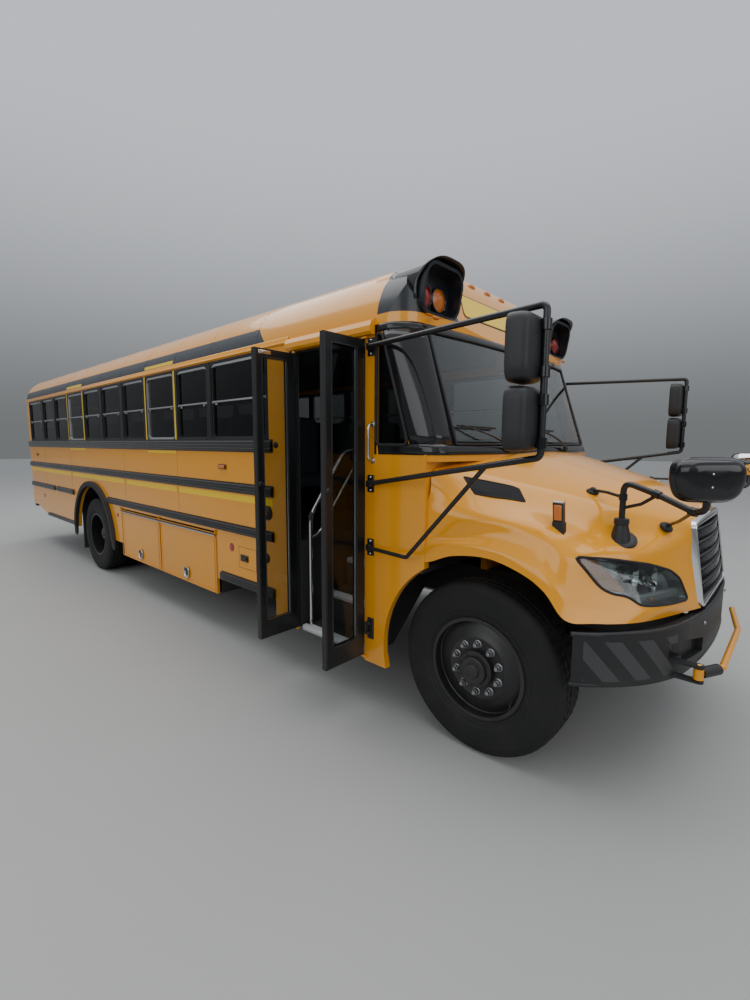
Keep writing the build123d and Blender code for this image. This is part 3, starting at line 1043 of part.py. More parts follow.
for label, x in (("front", FRONT_LEAF_X), ("rear", REAR_LEAF_X)):
    nodes[f"door_leaf_{label}"], nodes[f"door_glass_{label}"] = leaf(x)

# Seats: benches in rows each side of the aisle, and the driver's seat
AISLE_HALF = 165
benches = []
for row in range(10):
    x = FIRST_SEAT_X - SEAT_PITCH * row
    cushion = block(x - 400, x, AISLE_HALF, FLOOR_HALF, FLOOR_Z + 330, FLOOR_Z + 450)
    backrest = block(x - 470, x - 390, AISLE_HALF, FLOOR_HALF, FLOOR_Z + 330, FLOOR_Z + 1000)
    leg = block(x - 420, x - 30, AISLE_HALF + 30, AISLE_HALF + 60, FLOOR_Z, FLOOR_Z + 330)
    bench = cushion + backrest + leg
    benches.extend(bench.solids() + mirrored(bench).solids())
driver = block(-1480, -1060, 300, 800, FLOOR_Z + 380, FLOOR_Z + 500)
driver += block(-1570, -1470, 300, 800, FLOOR_Z + 380, FLOOR_Z + 1150)
driver += block(-1420, -1120, 430, 670, FLOOR_Z, FLOOR_Z + 380)
benches.extend(driver.solids())
nodes["seats"] = Compound(children=benches)

# Dashboard with the steering column, and the steering wheel
WHEEL_CENTRE = (-800, 550, 1790)
COLUMN_LEAN = 35
lean = math.radians(COLUMN_LEAN)
axis_dir = Vector(-math.sin(lean), 0, math.cos(lean))
centre = Vector(*WHEEL_CENTRE)


def along(distance):
    """A point on the steering column's axis, measured down from the steering wheel."""
    spot = centre - axis_dir * distance
    return (spot.X, spot.Y, spot.Z)


dash = block(-620, HOOD_SEAM_X - WALL, -400, BODY_HALF - 69, 1280, 1690)
dash = chamfer(dash.edges().filter_by(Axis.Y).group_by(Axis.X)[0], 60)
column = ring(along(90), along(420), 38, 14 + SHAFT_GAP)
dash = dash - rod(along(90), along(420), 38) + column
nodes["dashboard"] = dash
wheel_plane = Plane(origin=WHEEL_CENTRE, z_dir=axis_dir)
steering = wheel_plane * Torus(228, 14)
steering += rod(along(-20), along(60), 45)
for index in range(4):
    spoke = Rot(0, 0, 45 + 90 * index) * Pos(120, 0, 0) * Box(220, 26, 12)
    steering += wheel_plane * spoke
steering += rod(along(50), along(400), 14)
nodes["steering_wheel"] = steering

# Stop arm: a blank octagon on a pin on the left side
blade_plane = Plane(origin=(STOP_AXIS_X - 40 - STOP_ACROSS / 2, STOP_AXIS_Y - 6, STOP_Z), x_dir=(1, 0, 0),
                    z_dir=(0, 1, 0))
octagon = blade_plane * RegularPolygon(STOP_ACROSS / 2, 8, major_radius=False)
stop = extrude(octagon, 12)
stop += block(STOP_AXIS_X - 90, STOP_AXIS_X, STOP_AXIS_Y - 6, STOP_AXIS_Y + 6, STOP_LUG_Z[0] - 15, STOP_LUG_Z[0] + 15)
stop += block(STOP_AXIS_X - 90, STOP_AXIS_X, STOP_AXIS_Y - 6, STOP_AXIS_Y + 6, STOP_LUG_Z[1] - 15, STOP_LUG_Z[1] + 15)
stop += rod((STOP_AXIS_X, STOP_AXIS_Y, STOP_LUG_Z[0] - 30), (STOP_AXIS_X, STOP_AXIS_Y, STOP_LUG_Z[1] + 30), STOP_PIN_R)
nodes["stop_arm"] = stop

# Lamps fixed to the body: warning lamps on the cap, and the lamps on the back wall
for y, z, radius in ((850, 2620, 88), (850, 1300, 88), (650, 1300, 88), (1040, 1300, 60)):
    lens = rod((BODY_REAR_X - 25, y, z), (BODY_REAR_X, y, z), radius)
    lamp_solids += [*lens.solids(), *mirrored(lens).solids()]
nodes["lamps"] = Compound(children=lamp_solids)

# Roof hatches
hatches = []
for x in (-3400, -7300):
    lid = block(x - 330, x + 330, -330, 330, CROWN_Z - 60, CROWN_Z + 40)
    lid = fillet(lid.edges().filter_by(Axis.Z), 80) - roof_bar(0, BODY_REAR_X, CAP_X)
    hatches.append(lid)
nodes["roof_hatches"] = Compound(children=hatches)

for name, shape in nodes.items():
    export_step(Pos(FRONT_AXLE_X, 0, 0) * shape, f"parts/{name}.step")
    print(name, len(shape.solids()), round(shape.volume / 1e6, 2))
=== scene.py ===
# %% [markdown]
# # Dressing a school bus
#
# The bus comes packed from its solid model: walls, wheels, chassis, doors and joints, all at
# their real size. This lesson gives each of them its finish, and adds what solids leave out:
# the pressed curves of the hood, tyre tread, ribbed rails, rubber seals, wipers, rivets and
# upholstery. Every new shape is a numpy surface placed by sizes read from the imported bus, so
# nothing is fitted by eye afterwards.

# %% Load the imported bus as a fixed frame
import math

import bmesh
import bpy
import numpy as np
from mathutils import Matrix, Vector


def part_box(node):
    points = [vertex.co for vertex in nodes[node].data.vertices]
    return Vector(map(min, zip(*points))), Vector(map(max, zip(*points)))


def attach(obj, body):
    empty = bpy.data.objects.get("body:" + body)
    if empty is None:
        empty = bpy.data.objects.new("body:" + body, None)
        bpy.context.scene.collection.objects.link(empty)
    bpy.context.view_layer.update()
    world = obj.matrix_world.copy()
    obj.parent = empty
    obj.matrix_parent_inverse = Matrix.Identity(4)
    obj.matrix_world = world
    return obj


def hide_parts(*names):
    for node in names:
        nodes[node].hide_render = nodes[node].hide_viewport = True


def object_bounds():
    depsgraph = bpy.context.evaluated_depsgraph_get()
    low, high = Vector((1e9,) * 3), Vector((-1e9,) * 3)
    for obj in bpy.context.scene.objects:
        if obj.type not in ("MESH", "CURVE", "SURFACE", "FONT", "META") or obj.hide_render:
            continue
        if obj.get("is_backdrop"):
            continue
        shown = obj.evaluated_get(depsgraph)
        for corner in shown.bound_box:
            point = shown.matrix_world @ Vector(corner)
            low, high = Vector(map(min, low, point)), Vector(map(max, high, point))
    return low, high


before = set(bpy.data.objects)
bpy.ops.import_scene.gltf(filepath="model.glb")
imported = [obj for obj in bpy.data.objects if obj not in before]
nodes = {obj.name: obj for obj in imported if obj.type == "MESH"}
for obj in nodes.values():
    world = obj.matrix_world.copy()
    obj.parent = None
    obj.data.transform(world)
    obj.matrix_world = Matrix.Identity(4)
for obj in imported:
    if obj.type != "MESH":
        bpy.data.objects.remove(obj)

cad_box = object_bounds()


def edges_of(node):
    """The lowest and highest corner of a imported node, as two arrays."""
    low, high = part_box(node)
    return np.array(low), np.array(high)


def middle_of(node):
    """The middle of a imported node's box."""
    low, high = edges_of(node)
    return (low + high) / 2


# Every measured place is counted from the ground under the front axle
FRONT = middle_of("front_axle")[0]
SIDE = edges_of("side_wall_left")[0][1] + .045
REAR_WHEEL_X = (edges_of("rims_rear_left")[0][0] + edges_of("rims_rear_left")[1][0]) / 2
print(f"front axle at {FRONT:.3f} m, rear axle at {REAR_WHEEL_X:.3f} m, half width {SIDE:.3f} m")

# %% [markdown]
# ## Tools for making surfaces
#
# A surface is an array of points with two indices. Joining each point to its neighbours gives
# quads, and wrapping an index closes a ring. One helper does that for every piece, so a shape
# is only ever a formula for its points. Boxes with softened edges are plain eight-point blocks
# that a Bevel modifier rounds, because that keeps them light.

# %% Grids, tubes, turned forms and blocks
def at(x, y, z):
    """A point given from the ground under the front axle, in the frame's own metres."""
    return np.array([FRONT + x, y, z], float)


def spread(x, y, z):
    """Points from three coordinates: one that has fewer numbers is repeated to fit the others."""
    return np.stack(np.broadcast_arrays(x, y, z), -1)


def squarish(value, power):
    """A sine or cosine to a power, its sign kept. Powers under one square a circle's corners."""
    return np.sign(value) * np.abs(value) ** power


def grid(points, wrap_u=False, wrap_v=False, flip=False):
    """Joins an array of points, rows by columns, into quads; wrapping closes an index."""
    points = np.asarray(points, float)
    rows, columns = points.shape[:2]
    u = np.arange(rows if wrap_u else rows - 1)
    v = np.arange(columns if wrap_v else columns - 1)
    u, v = np.meshgrid(u, v, indexing="ij")
    u1, v1 = (u + 1) % rows, (v + 1) % columns
    corners = [u * columns + v, u1 * columns + v, u1 * columns + v1, u * columns + v1]
    quads = np.stack(corners, -1).reshape(-1, 4)
    return points.reshape(-1, 3), (quads[:, ::-1] if flip else quads).tolist()


def bundle(parts):
    """Puts several shapes into one list of points and one list of faces."""
    points, faces, count = [], [], 0
    for shape_points, shape_faces in parts:
        points.append(np.asarray(shape_points, float))
        faces += [[index + count for index in face] for face in shape_faces]
        count += len(shape_points)
    return np.concatenate(points), faces


def flipped_y(shape):
    """The same shape on the bus's other side, with its faces turned back outwards."""
    points, faces = shape
    return points * np.array([1, -1, 1]), [face[::-1] for face in faces]


def both_sides(shape):
    """A shape and its mirror image, as one shape."""
    return bundle([shape, flipped_y(shape)])


def rounded_path(points, radius, steps=6):
    """A path through points whose corners are arcs: each arc is a quadratic curve that starts
    and ends a radius away from its corner, or halfway along the shorter run."""
    points = np.asarray(points, float)
    made = [points[:1]]
    t = np.linspace(0, 1, steps)[:, None]
    for before, corner, after in zip(points[:-2], points[1:-1], points[2:]):
        run_in, run_out = before - corner, after - corner
        reach = min(radius, np.linalg.norm(run_in) / 2, np.linalg.norm(run_out) / 2)
        start = corner + run_in / np.linalg.norm(run_in) * reach
        end = corner + run_out / np.linalg.norm(run_out) * reach
        made.append((1 - t) ** 2 * start + 2 * t * (1 - t) * corner + t**2 * end)
    made.append(points[-1:])
    return np.concatenate(made)


def frames_along(path):
    """Two unit vectors across each point of a path: the tangent crossed with whichever axis it
    leans from most, then the tangent crossed with that."""
    tangent = np.gradient(path, axis=0)
    tangent /= np.linalg.norm(tangent, axis=1)[:, None]
    spare = np.eye(3)[np.argmin(np.abs(tangent).max(0))]
    side = np.cross(tangent, spare)
    side /= np.linalg.norm(side, axis=1)[:, None]
    return side, np.cross(tangent, side)


def tube(path, radius, sides=14, squash=1.0):
    """A round bar along a path: circles across it, drawn in to a point at each end."""
    path = np.asarray(path, float)
    side, up = frames_along(path)
    turn = np.linspace(0, 2 * math.pi, sides, endpoint=False)
    radii = np.broadcast_to(np.asarray(radius, float), len(path)).copy()
    path = np.concatenate([path[:1], path, path[-1:]])
    side = np.concatenate([side[:1], side, side[-1:]])
    up = np.concatenate([up[:1], up, up[-1:]])
    radii = np.concatenate([[1e-5], radii, [1e-5]])
    ring = np.cos(turn)[None, :, None] * side[:, None] + squash * np.sin(turn)[None, :, None] * up[:, None]
    return grid(path[:, None] + ring * radii[:, None, None], wrap_v=True)


def bar(points, radius, sides=14, bend=0.0, steps=8):
    """A tube through points given from the front axle; a bend rounds its corners."""
    path = rounded_path(points, bend, steps) if bend else np.asarray(points, float)
    return tube(path + [FRONT, 0, 0], radius, sides)


def turned(profile, centre, axis="y", segments=48, hole=False):
    """A profile of distance along the axis and radius, carried round that axis."""
    profile = np.asarray(profile, float)
    turn = np.linspace(0, 2 * math.pi, segments, endpoint=False)
    along, radius = profile[:, 0][:, None], profile[:, 1][:, None]
    along = np.broadcast_to(along, (len(profile), segments))
    first, second = radius * np.cos(turn), radius * np.sin(turn)
    order = {"x": (along, first, second), "y": (second, along, first), "z": (first, second, along)}[axis]
    return grid(np.stack(order, -1) + np.asarray(centre, float), wrap_u=hole, wrap_v=True)


BLOCK_FACES = [[0, 1, 3, 2], [4, 6, 7, 5], [0, 4, 5, 1], [2, 3, 7, 6], [0, 2, 6, 4], [1, 5, 7, 3]]


def block(x0, x1, y0, y1, z0, z1):
    """A box between two corners, given from the front axle."""
    low, high = at(min(x0, x1), min(y0, y1), min(z0, z1)), at(max(x0, x1), max(y0, y1), max(z0, z1))
    pick = np.array([[i >> 2 & 1, i >> 1 & 1, i & 1] for i in range(8)], bool)
    return np.where(pick, high, low), [list(face) for face in BLOCK_FACES]


def slab(outline, direction, thickness):
    """A flat outline of points carried along a direction: two faces and the rim between them."""
    outline = np.asarray(outline, float)
    count = len(outline)
    step = np.asarray(direction, float) / np.linalg.norm(direction) * thickness
    rim = [[i, (i + 1) % count, (i + 1) % count + count, i + count] for i in range(count)]
    return np.concatenate([outline, outline + step]), [list(range(count))[::-1]] + [
        list(range(count, 2 * count))] + rim


def piece(name, shape, body, slot, material, bevel=0.0, wall=0.0, smooth=30, subdivide=0, replaces=()):
    """Makes a shape into an object that rides on a body, with its finish, softened edges and
    wall. Points that coincide are merged; a closed shape then gets its faces turned outwards,
    and an open sheet keeps them as they are, because its wall grows away from them."""
    points, faces = shape
    mesh = bpy.data.meshes.new(name)
    mesh.from_pydata(np.asarray(points).tolist(), [], faces)
    tidy = bmesh.new()
    tidy.from_mesh(mesh)
    bmesh.ops.remove_doubles(tidy, verts=tidy.verts, dist=1e-5)
    if not wall:
        bmesh.ops.recalc_face_normals(tidy, faces=tidy.faces)
    tidy.to_mesh(mesh)
    tidy.free()
    made = bpy.data.objects.new(name, mesh)
    bpy.context.scene.collection.objects.link(made)
    if subdivide:
        finer = made.modifiers.new("finer", "SUBSURF")
        finer.levels = finer.render_levels = subdivide
    if wall:
        thick = made.modifiers.new("wall", "SOLIDIFY")
        thick.thickness, thick.offset = wall, -1
    if bevel:
        soft = made.modifiers.new("soft edges", "BEVEL")
        soft.width, soft.segments, soft.limit_method = bevel, 2, "ANGLE"
        soft.angle_limit = math.radians(40)
    mesh.shade_smooth()
    mesh.set_sharp_from_angle(angle=math.radians(smooth))
    mesh.materials.append(material)
    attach(made, body)
    if replaces:
        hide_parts(*replaces)
    print(f"{name}: {len(mesh.vertices)} points, {len(mesh.polygons)} faces")
    return made

# %% [markdown]
# ## Camera, floor and light
#
# The bus was photographed from standing height close to its front right corner, with a wide
# lens. The camera here stands in that place: 1.33 m ahead of the front axle, 3.43 m out from
# the middle and 1.80 m up, turned towards the entrance. An overcast sky is one large soft lamp,
# so the light is a pale world, a big soft panel overhead and two long panels at the sides, whose
# edges draw the highlights along the paint.

# %% Camera
CAMERA_AT = (1.3297, -3.4349, 1.7972)
CAMERA_YAW, CAMERA_PITCH, CAMERA_ROLL = math.radians(132.431), math.radians(-6.676), math.radians(.271)
CAMERA_LENS = 17.07


def aim(yaw, pitch, roll):
    """Looking, right and up directions of a camera, from its heading, tilt and roll."""
    forward = np.array([math.cos(yaw) * math.cos(pitch), math.sin(yaw) * math.cos(pitch), math.sin(pitch)])
    right = np.cross(forward, [0, 0, 1])
    right /= np.linalg.norm(right)
    up = np.cross(right, forward)
    return forward, right * math.cos(roll) + up * math.sin(roll), up * math.cos(roll) - right * math.sin(roll)


def stand(thing, right, up, back, place):
    """Puts a camera or lamp at a place, with its own three axes along three directions."""
    turn = np.eye(4)
    turn[:3, 0], turn[:3, 1], turn[:3, 2], turn[:3, 3] = right, up, back, place
    thing.matrix_world = Matrix(turn.tolist())
    bpy.context.scene.collection.objects.link(thing)


camera = bpy.data.objects.new("camera", bpy.data.cameras.new("camera"))
camera.data.lens, camera.data.sensor_width = CAMERA_LENS, 36
camera.data.clip_start, camera.data.clip_end = .05, 200
forward, right, up = aim(CAMERA_YAW, CAMERA_PITCH, CAMERA_ROLL)
stand(camera, right, up, -forward, at(*CAMERA_AT))
bpy.context.scene.camera = camera

# %% [markdown]
# A material is a net of nodes, and a long net is hard to read. Here one shader socket is wrapped
# in a small class, so that a plus or a minus between two of them adds the Math node that does it.
# Colours go through Mix nodes instead, because a Math node would turn them grey.

# %% Shader maths written as expressions
class Value:
    """One shader socket. Arithmetic on it adds Math nodes to its material."""

    def __init__(self, kit, socket):
        self.kit, self.socket = kit, socket

    def math(self, operation, *others, flipped=False):
        """A Math node on this value and others; flipped puts the first other before it."""
        terms = [self, *others]
        if flipped:
            terms[0], terms[1] = terms[1], terms[0]
        return self.kit.node("ShaderNodeMath", {"operation": operation}, dict(enumerate(terms)))

    def __add__(self, other): return self.math("ADD", other)
    def __radd__(self, other): return self.math("ADD", other)
    def __sub__(self, other): return self.math("SUBTRACT", other)
    def __rsub__(self, other): return self.math("SUBTRACT", other, flipped=True)
    def __mul__(self, other): return self.math("MULTIPLY", other)
    def __rmul__(self, other): return self.math("MULTIPLY", other)
    def __truediv__(self, other): return self.math("DIVIDE", other)

    def ramp(self, low, high):
        """Zero below low, one above high, and a smooth step between them."""
        settings = {"interpolation_type": "SMOOTHSTEP"}
        return self.kit.node("ShaderNodeMapRange", settings,
                             {"Value": self, "From Min": low, "From Max": high})


class Kit:
    """One material under construction: its nodes, and the surface that they feed."""

    def __init__(self, name):
        self.material = bpy.data.materials.new(name)
        self.material.use_nodes = True
        self.tree = self.material.node_tree
        self.surface = self.tree.nodes["Principled BSDF"]

    def node(self, kind, settings=None, sockets=None, out=0):
        """Adds a node: its settings first, a ramp's stops among them, then its sockets."""
        made = self.tree.nodes.new(kind)
        for key, value in (settings or {}).items():
            if key == "stops":
                ramp = made.color_ramp.elements
                while len(ramp) < len(value):
                    ramp.new(.5)
                for stop, (place, colour) in zip(ramp, value):
                    stop.position, stop.color = place, (*colour, 1)
            else:
                setattr(made, key, value)
        for key, value in (sockets or {}).items():
            self.feed(made.inputs[key], value)
        return Value(self, made.outputs[out])

    def feed(self, socket, value):
        """Links a value to a socket, or sets a number or colour on it."""
        if isinstance(value, Value):
            self.tree.links.new(value.socket, socket)
        elif isinstance(value, tuple) and len(value) == 3 and socket.type == "RGBA":
            socket.default_value = (*value, 1)
        else:
            socket.default_value = value

    def place(self):
        """The point being shaded, in the bus's own metres."""
        return self.node("ShaderNodeTexCoord", out=3)

    def split(self, vector=None):
        """X, Y and Z of a point as three values."""
        made = self.node("ShaderNodeSeparateXYZ", None, {0: vector or self.place()})
        return [Value(self, socket) for socket in made.socket.node.outputs]

    def noise(self, scale, detail=3, stretch=(1, 1, 1), rough=.5):
        """Cloudy variation about 0.5, its grains one over scale metres across."""
        where = self.node("ShaderNodeMapping", None, {"Vector": self.place(), "Scale": stretch})
        return self.node("ShaderNodeTexNoise", None, {"Vector": where, "Scale": scale, "Detail": detail,
                                                      "Roughness": rough})

    def cells(self, scale):
        """Distance from the nearest of many scattered points."""
        return self.node("ShaderNodeTexVoronoi", None, {"Vector": self.place(), "Scale": scale})

    def mix(self, share, first, second):
        """One colour turning into another as share goes from zero to one."""
        made = self.node("ShaderNodeMix", {"data_type": "RGBA"}, {0: share, 6: first, 7: second})
        return Value(self, made.socket.node.outputs[2])

    def bump(self, height, distance, strength=1.0):
        """A surface that seems raised by a height, in metres."""
        self.set(Normal=self.node("ShaderNodeBump", None, {"Height": height, "Distance": distance,
                                                           "Strength": strength}))

    def set(self, **sockets):
        """Feeds the surface's sockets, named with underscores for spaces."""
        for key, value in sockets.items():
            self.feed(self.surface.inputs[key.replace("_", " ")], value)
        return self.material


# %% [markdown]
# The floor is one wide matt sheet, so its only work is to catch the shadow. Glossy paint shows
# what surrounds it, and a sky of one brightness would leave it milky. So the world grows darker
# towards the horizon, as it does over a car park, and the paint keeps its depth on the upright
# faces.

# %% Floor and light
def concrete():
    """Pale plain floor with the faintest clouding."""
    kit = Kit("pale floor")
    cloud = kit.noise(.6, 4)
    return kit.set(Base_Color=kit.mix(cloud, (.335, .335, .325), (.385, .385, .372)), Roughness=.75)


FLOOR_HALF = 60.0
floor_mesh = bpy.data.meshes.new("floor")
corners = [(-FLOOR_HALF, -FLOOR_HALF, 0), (FLOOR_HALF, -FLOOR_HALF, 0), (FLOOR_HALF, FLOOR_HALF, 0),
           (-FLOOR_HALF, FLOOR_HALF, 0)]
floor_mesh.from_pydata(corners, [], [(0, 1, 2, 3)])
floor_mesh.materials.append(concrete())
floor = bpy.data.objects.new("stage_floor", floor_mesh)
bpy.context.scene.collection.objects.link(floor)
floor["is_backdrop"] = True

world = bpy.data.worlds.new("soft sky")
world.use_nodes = True
sky = world.node_tree.nodes
direction = sky.new("ShaderNodeTexCoord").outputs["Generated"]
height = sky.new("ShaderNodeSeparateXYZ")
rise = sky.new("ShaderNodeMapRange")
shade = sky.new("ShaderNodeMix")
rise.interpolation_type, shade.data_type = "SMOOTHSTEP", "RGBA"
rise.inputs["From Min"].default_value, rise.inputs["From Max"].default_value = 0.0, .55
shade.inputs["A"].default_value, shade.inputs["B"].default_value = (.2, .21, .215, 1), (.8, .84, .9, 1)
for source, target in ((direction, height.inputs[0]), (height.outputs["Z"], rise.inputs["Value"]),
                       (rise.outputs[0], shade.inputs["Factor"]),
                       (shade.outputs["Result"], sky["Background"].inputs["Color"])):
    world.node_tree.links.new(source, target)
sky["Background"].inputs["Strength"].default_value = .85
bpy.context.scene.world = world


def soft_panel(name, place, target, width, height, power):
    """A large soft lamp that stands at a place and faces a target."""
    back = np.array(place, float) - np.array(target, float)
    back /= np.linalg.norm(back)
    across = np.cross([0, 0, 1] if abs(back[2]) < .99 else [0, 1, 0], back)
    across /= np.linalg.norm(across)
    lamp = bpy.data.objects.new(name, bpy.data.lights.new(name, "AREA"))
    lamp.data.shape, lamp.data.size, lamp.data.size_y, lamp.data.energy = "RECTANGLE", width, height, power
    stand(lamp, across, np.cross(back, across), back, place)
    return lamp


soft_panel("sky_panel", (0, 0, 12), (0, 0, 0), 22, 12, 1500)
soft_panel("near_panel", (3, -14, 6), (-1, 0, 1.4), 16, 5, 420)
soft_panel("front_panel", (15, -3, 5), (3, 0, 1.2), 8, 5, 220)
print("camera", [round(x, 2) for x in camera.location])

# %% [markdown]
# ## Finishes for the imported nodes
#
# A real bus wears about a dozen finishes: the yellow enamel, satin black trim, painted chassis
# steel, bare aluminium sashes, tinted glass, tyre rubber, vinyl, and moulded plastics. A flat
# colour would look like a toy, so each finish here mixes slow drift in its colour with road film
# low down, fine grain in its bump, and its own gloss. They all read the bus's own metres, so the
# grain has its real size and runs on from one panel to the next.

# %% Paint
def road_film(kit, top=1.3, strength=.14):
    """How much dust lies on a point: more near the road, in streaks that run down."""
    height = kit.split()[2]
    streaks = kit.noise(2.2, 5, stretch=(1, 1, .25), rough=.6)
    return (1 - height.ramp(.35, top)) * streaks.ramp(.35, .75) * strength


COAT = .38


def enamel(name, colour, deep, dust=(.3, .21, .1), gloss=.16, top=1.3, coat=COAT):
    """Two-stage enamel: a slow drift between two near colours under a clear coat."""
    kit = Kit(name)
    drift = kit.noise(.55, 3)
    film = road_film(kit, top)
    kit.set(Base_Color=kit.mix(film, kit.mix(drift, colour, deep), dust),
            Roughness=gloss + film * .45 + drift * .05, Coat_Weight=coat, Coat_Roughness=.04,
            Specular_IOR_Level=.38)
    kit.bump(kit.noise(38, 2) + kit.noise(1.6, 2) * 2.5, .0006, .35)
    return kit.material


BUS_YELLOW, BUS_YELLOW_DEEP = (.8, .33, .009), (.74, .292, .006)
yellow = enamel("bus yellow enamel", BUS_YELLOW, BUS_YELLOW_DEEP)


def satin(name, colour, roughness, grain=220, depth=.00025, wear=None, metallic=0.0, top=1.0,
          dust=(.16, .15, .13)):
    """Painted or moulded black: fine grain, a little dust, and paler rubbed patches."""
    kit = Kit(name)
    drift, film = kit.noise(1.3, 4), road_film(kit, top, .2)
    base = kit.mix(drift, colour, tuple(c * 1.4 + .002 for c in colour))
    if wear:
        base = kit.mix(kit.noise(9, 6, rough=.7).ramp(.62, .78), base, wear)
    kit.set(Base_Color=kit.mix(film, base, dust), Roughness=roughness + film * .25 + drift * .12 - .06,
            Metallic=metallic)
    kit.bump(kit.noise(grain, 2), depth, .5)
    return kit.material


black_paint = satin("black enamel", (.008, .008, .009), .28, 60, .0002)
gloss_black = satin("gloss black", (.008, .008, .009), .1, 30, .0001)
chassis_paint = satin("chassis paint", (.018, .018, .018), .62, 140, .0006, wear=(.07, .055, .045), top=1.2)
wheel_paint = satin("wheel paint", (.009, .009, .01), .36, 90, .0003, wear=(.05, .05, .05), top=1.2)
grained_plastic = satin("grained black plastic", (.01, .01, .011), .48, 420, .0005)
rubber_seal = satin("rubber seal", (.008, .008, .008), .66, 260, .0004)
cabin_plastic = satin("cabin plastic", (.035, .036, .038), .55, 350, .0005)
cabin_lining = satin("grey cabin lining", (.115, .12, .125), .5, 200, .0004)

# %% [markdown]
# Bare metal has no colour of its own under its shine: its base colour is what it reflects. A
# brushed sheet is dull along one way only, so its grain is a noise that is stretched along the
# bus.

# %% Metals
def metal(name, colour, roughness, brushed=(1, 1, 1), scale=160, patch=.18):
    """Bare metal: brushed grain that is stretched one way, with clouded patches of dullness."""
    kit = Kit(name)
    grain, cloud = kit.noise(scale, 3, stretch=brushed), kit.noise(4, 4)
    kit.set(Base_Color=kit.mix(cloud, colour, tuple(c * .78 for c in colour)), Metallic=1.0,
            Roughness=roughness + grain * .1 + cloud * patch)
    kit.bump(grain, .0002, .3)
    return kit.material


sash_metal = metal("aluminium sash", (.66, .67, .68), .24, (.05, 1, 1))
steel = metal("dull steel", (.36, .36, .37), .38)
bright_steel = metal("bright steel", (.7, .7, .7), .12, patch=.08)
chrome = metal("chrome", (.86, .87, .88), .04, patch=.04)
satin_chrome = metal("satin chrome", (.42, .43, .44), .2, patch=.08)

# %% [markdown]
# Soft and dark things are told apart by their roughness and grain. Tyres are browned by dust,
# vinyl has the raised cells of its leather print, and the aisle has a mat with ribs along it. A
# bump is enough for grains this fine, as no outline shows them.

# %% Rubber, vinyl, floor
def tyre_rubber():
    """Tyre compound: near black, with browned and dusty clouds."""
    kit = Kit("tyre rubber")
    cloud, fine = kit.noise(6, 5, rough=.65), kit.noise(150, 2)
    kit.set(Base_Color=kit.mix(cloud.ramp(.4, .8), (.005, .005, .005), (.016, .015, .014)),
            Roughness=.66 + cloud * .22)
    kit.bump(fine + cloud * .6, .0006, .5)
    return kit.material


def vinyl(name, colour, light):
    """Upholstery vinyl: a leather grain of small raised cells, with paler clouds."""
    kit = Kit(name)
    cells, cloud = kit.cells(170), kit.noise(3, 3)
    kit.set(Base_Color=kit.mix(cells.ramp(0.0, .5) * .6 + cloud * .4, colour, light),
            Roughness=.46 + cells * .25)
    kit.bump(cells, .0003, .18)
    return kit.material


def ribbed_mat():
    """Aisle matting: ribs that run the length of the bus, every 12 mm, with grit between them."""
    kit = Kit("ribbed mat")
    across = kit.split()[1]
    rib = (across * (2 * math.pi / .012)).math("SINE").ramp(-.2, .6)
    grit = kit.noise(120, 4, rough=.7)
    kit.set(Base_Color=kit.mix(rib * .6 + grit * .4, (.02, .02, .02), (.055, .054, .052)),
            Roughness=.75 - rib * .15)
    kit.bump(rib + grit * .25, .0016, .6)
    return kit.material


tyre = tyre_rubber()
seat_cover = vinyl("blue-grey seat vinyl", (.022, .03, .048), (.04, .052, .078))
driver_cover = vinyl("black seat vinyl", (.014, .014, .015), (.03, .03, .032))
mat = ribbed_mat()

# %% [markdown]
# School bus glass is tinted, darkest along the sides. A pane is clear glass whose base colour
# takes light away. A lamp's lens lets less through and is ribbed inside, and reflective sheet has
# tiny diamond cells that catch the light.

# %% Glass and lenses
def tinted_glass(name, tint, ior=1.30):
    """A tinted pane, clear from both sides, whose tint is faintly clouded."""
    kit = Kit(name)
    smear = kit.noise(1.4, 5, stretch=(1, 1, .4), rough=.6)
    kit.set(Base_Color=kit.mix(smear, tint, tuple(c * .9 for c in tint)), Roughness=0.0,
            Transmission_Weight=1.0, IOR=ior, Specular_IOR_Level=.5)
    return kit.material


def lens(name, colour, clear=.85):
    """A moulded lens: coloured, glossy, and ribbed inside every 7 mm."""
    kit = Kit(name)
    x, y, z = kit.split()
    flutes = ((y + x * .6) * (2 * math.pi / .007)).math("SINE") * (z * (2 * math.pi / .007)).math("SINE")
    kit.set(Base_Color=kit.mix(flutes.ramp(-1, 1), tuple(c * .72 for c in colour), colour), Roughness=.08,
            Transmission_Weight=1 - clear, Coat_Weight=.7)
    kit.bump(flutes, .0006, .4)
    return kit.material


side_glass = tinted_glass("side glass", (.2, .21, .21))
front_glass = tinted_glass("windshield glass", (.62, .68, .67), 1.52)
door_glass = tinted_glass("door glass", (.42, .45, .45))
red_lens = lens("red lens", (.42, .008, .006))
amber_lens = lens("amber lens", (.78, .2, .006))
white_lens = lens("clear lens", (.62, .63, .64), .5)


def reflective(name, colour):
    """Reflective sheet: bright, with the diamond cells of its backing."""
    kit = Kit(name)
    x, y, z = kit.split()
    cells = ((x + z) * 900).math("SINE") * ((x - z) * 900).math("SINE")
    kit.set(Base_Color=kit.mix(cells.ramp(-.6, .6), tuple(c * .85 for c in colour), colour), Roughness=.3)
    return kit.material


stop_red = reflective("stop red sheet", (.5, .012, .012))
sheet_yellow = reflective("reflective yellow", (.95, .62, .01))
sheet_white = reflective("reflective white", (.8, .8, .78))
nosing_grey = reflective("nosing grey", (.62, .63, .64))
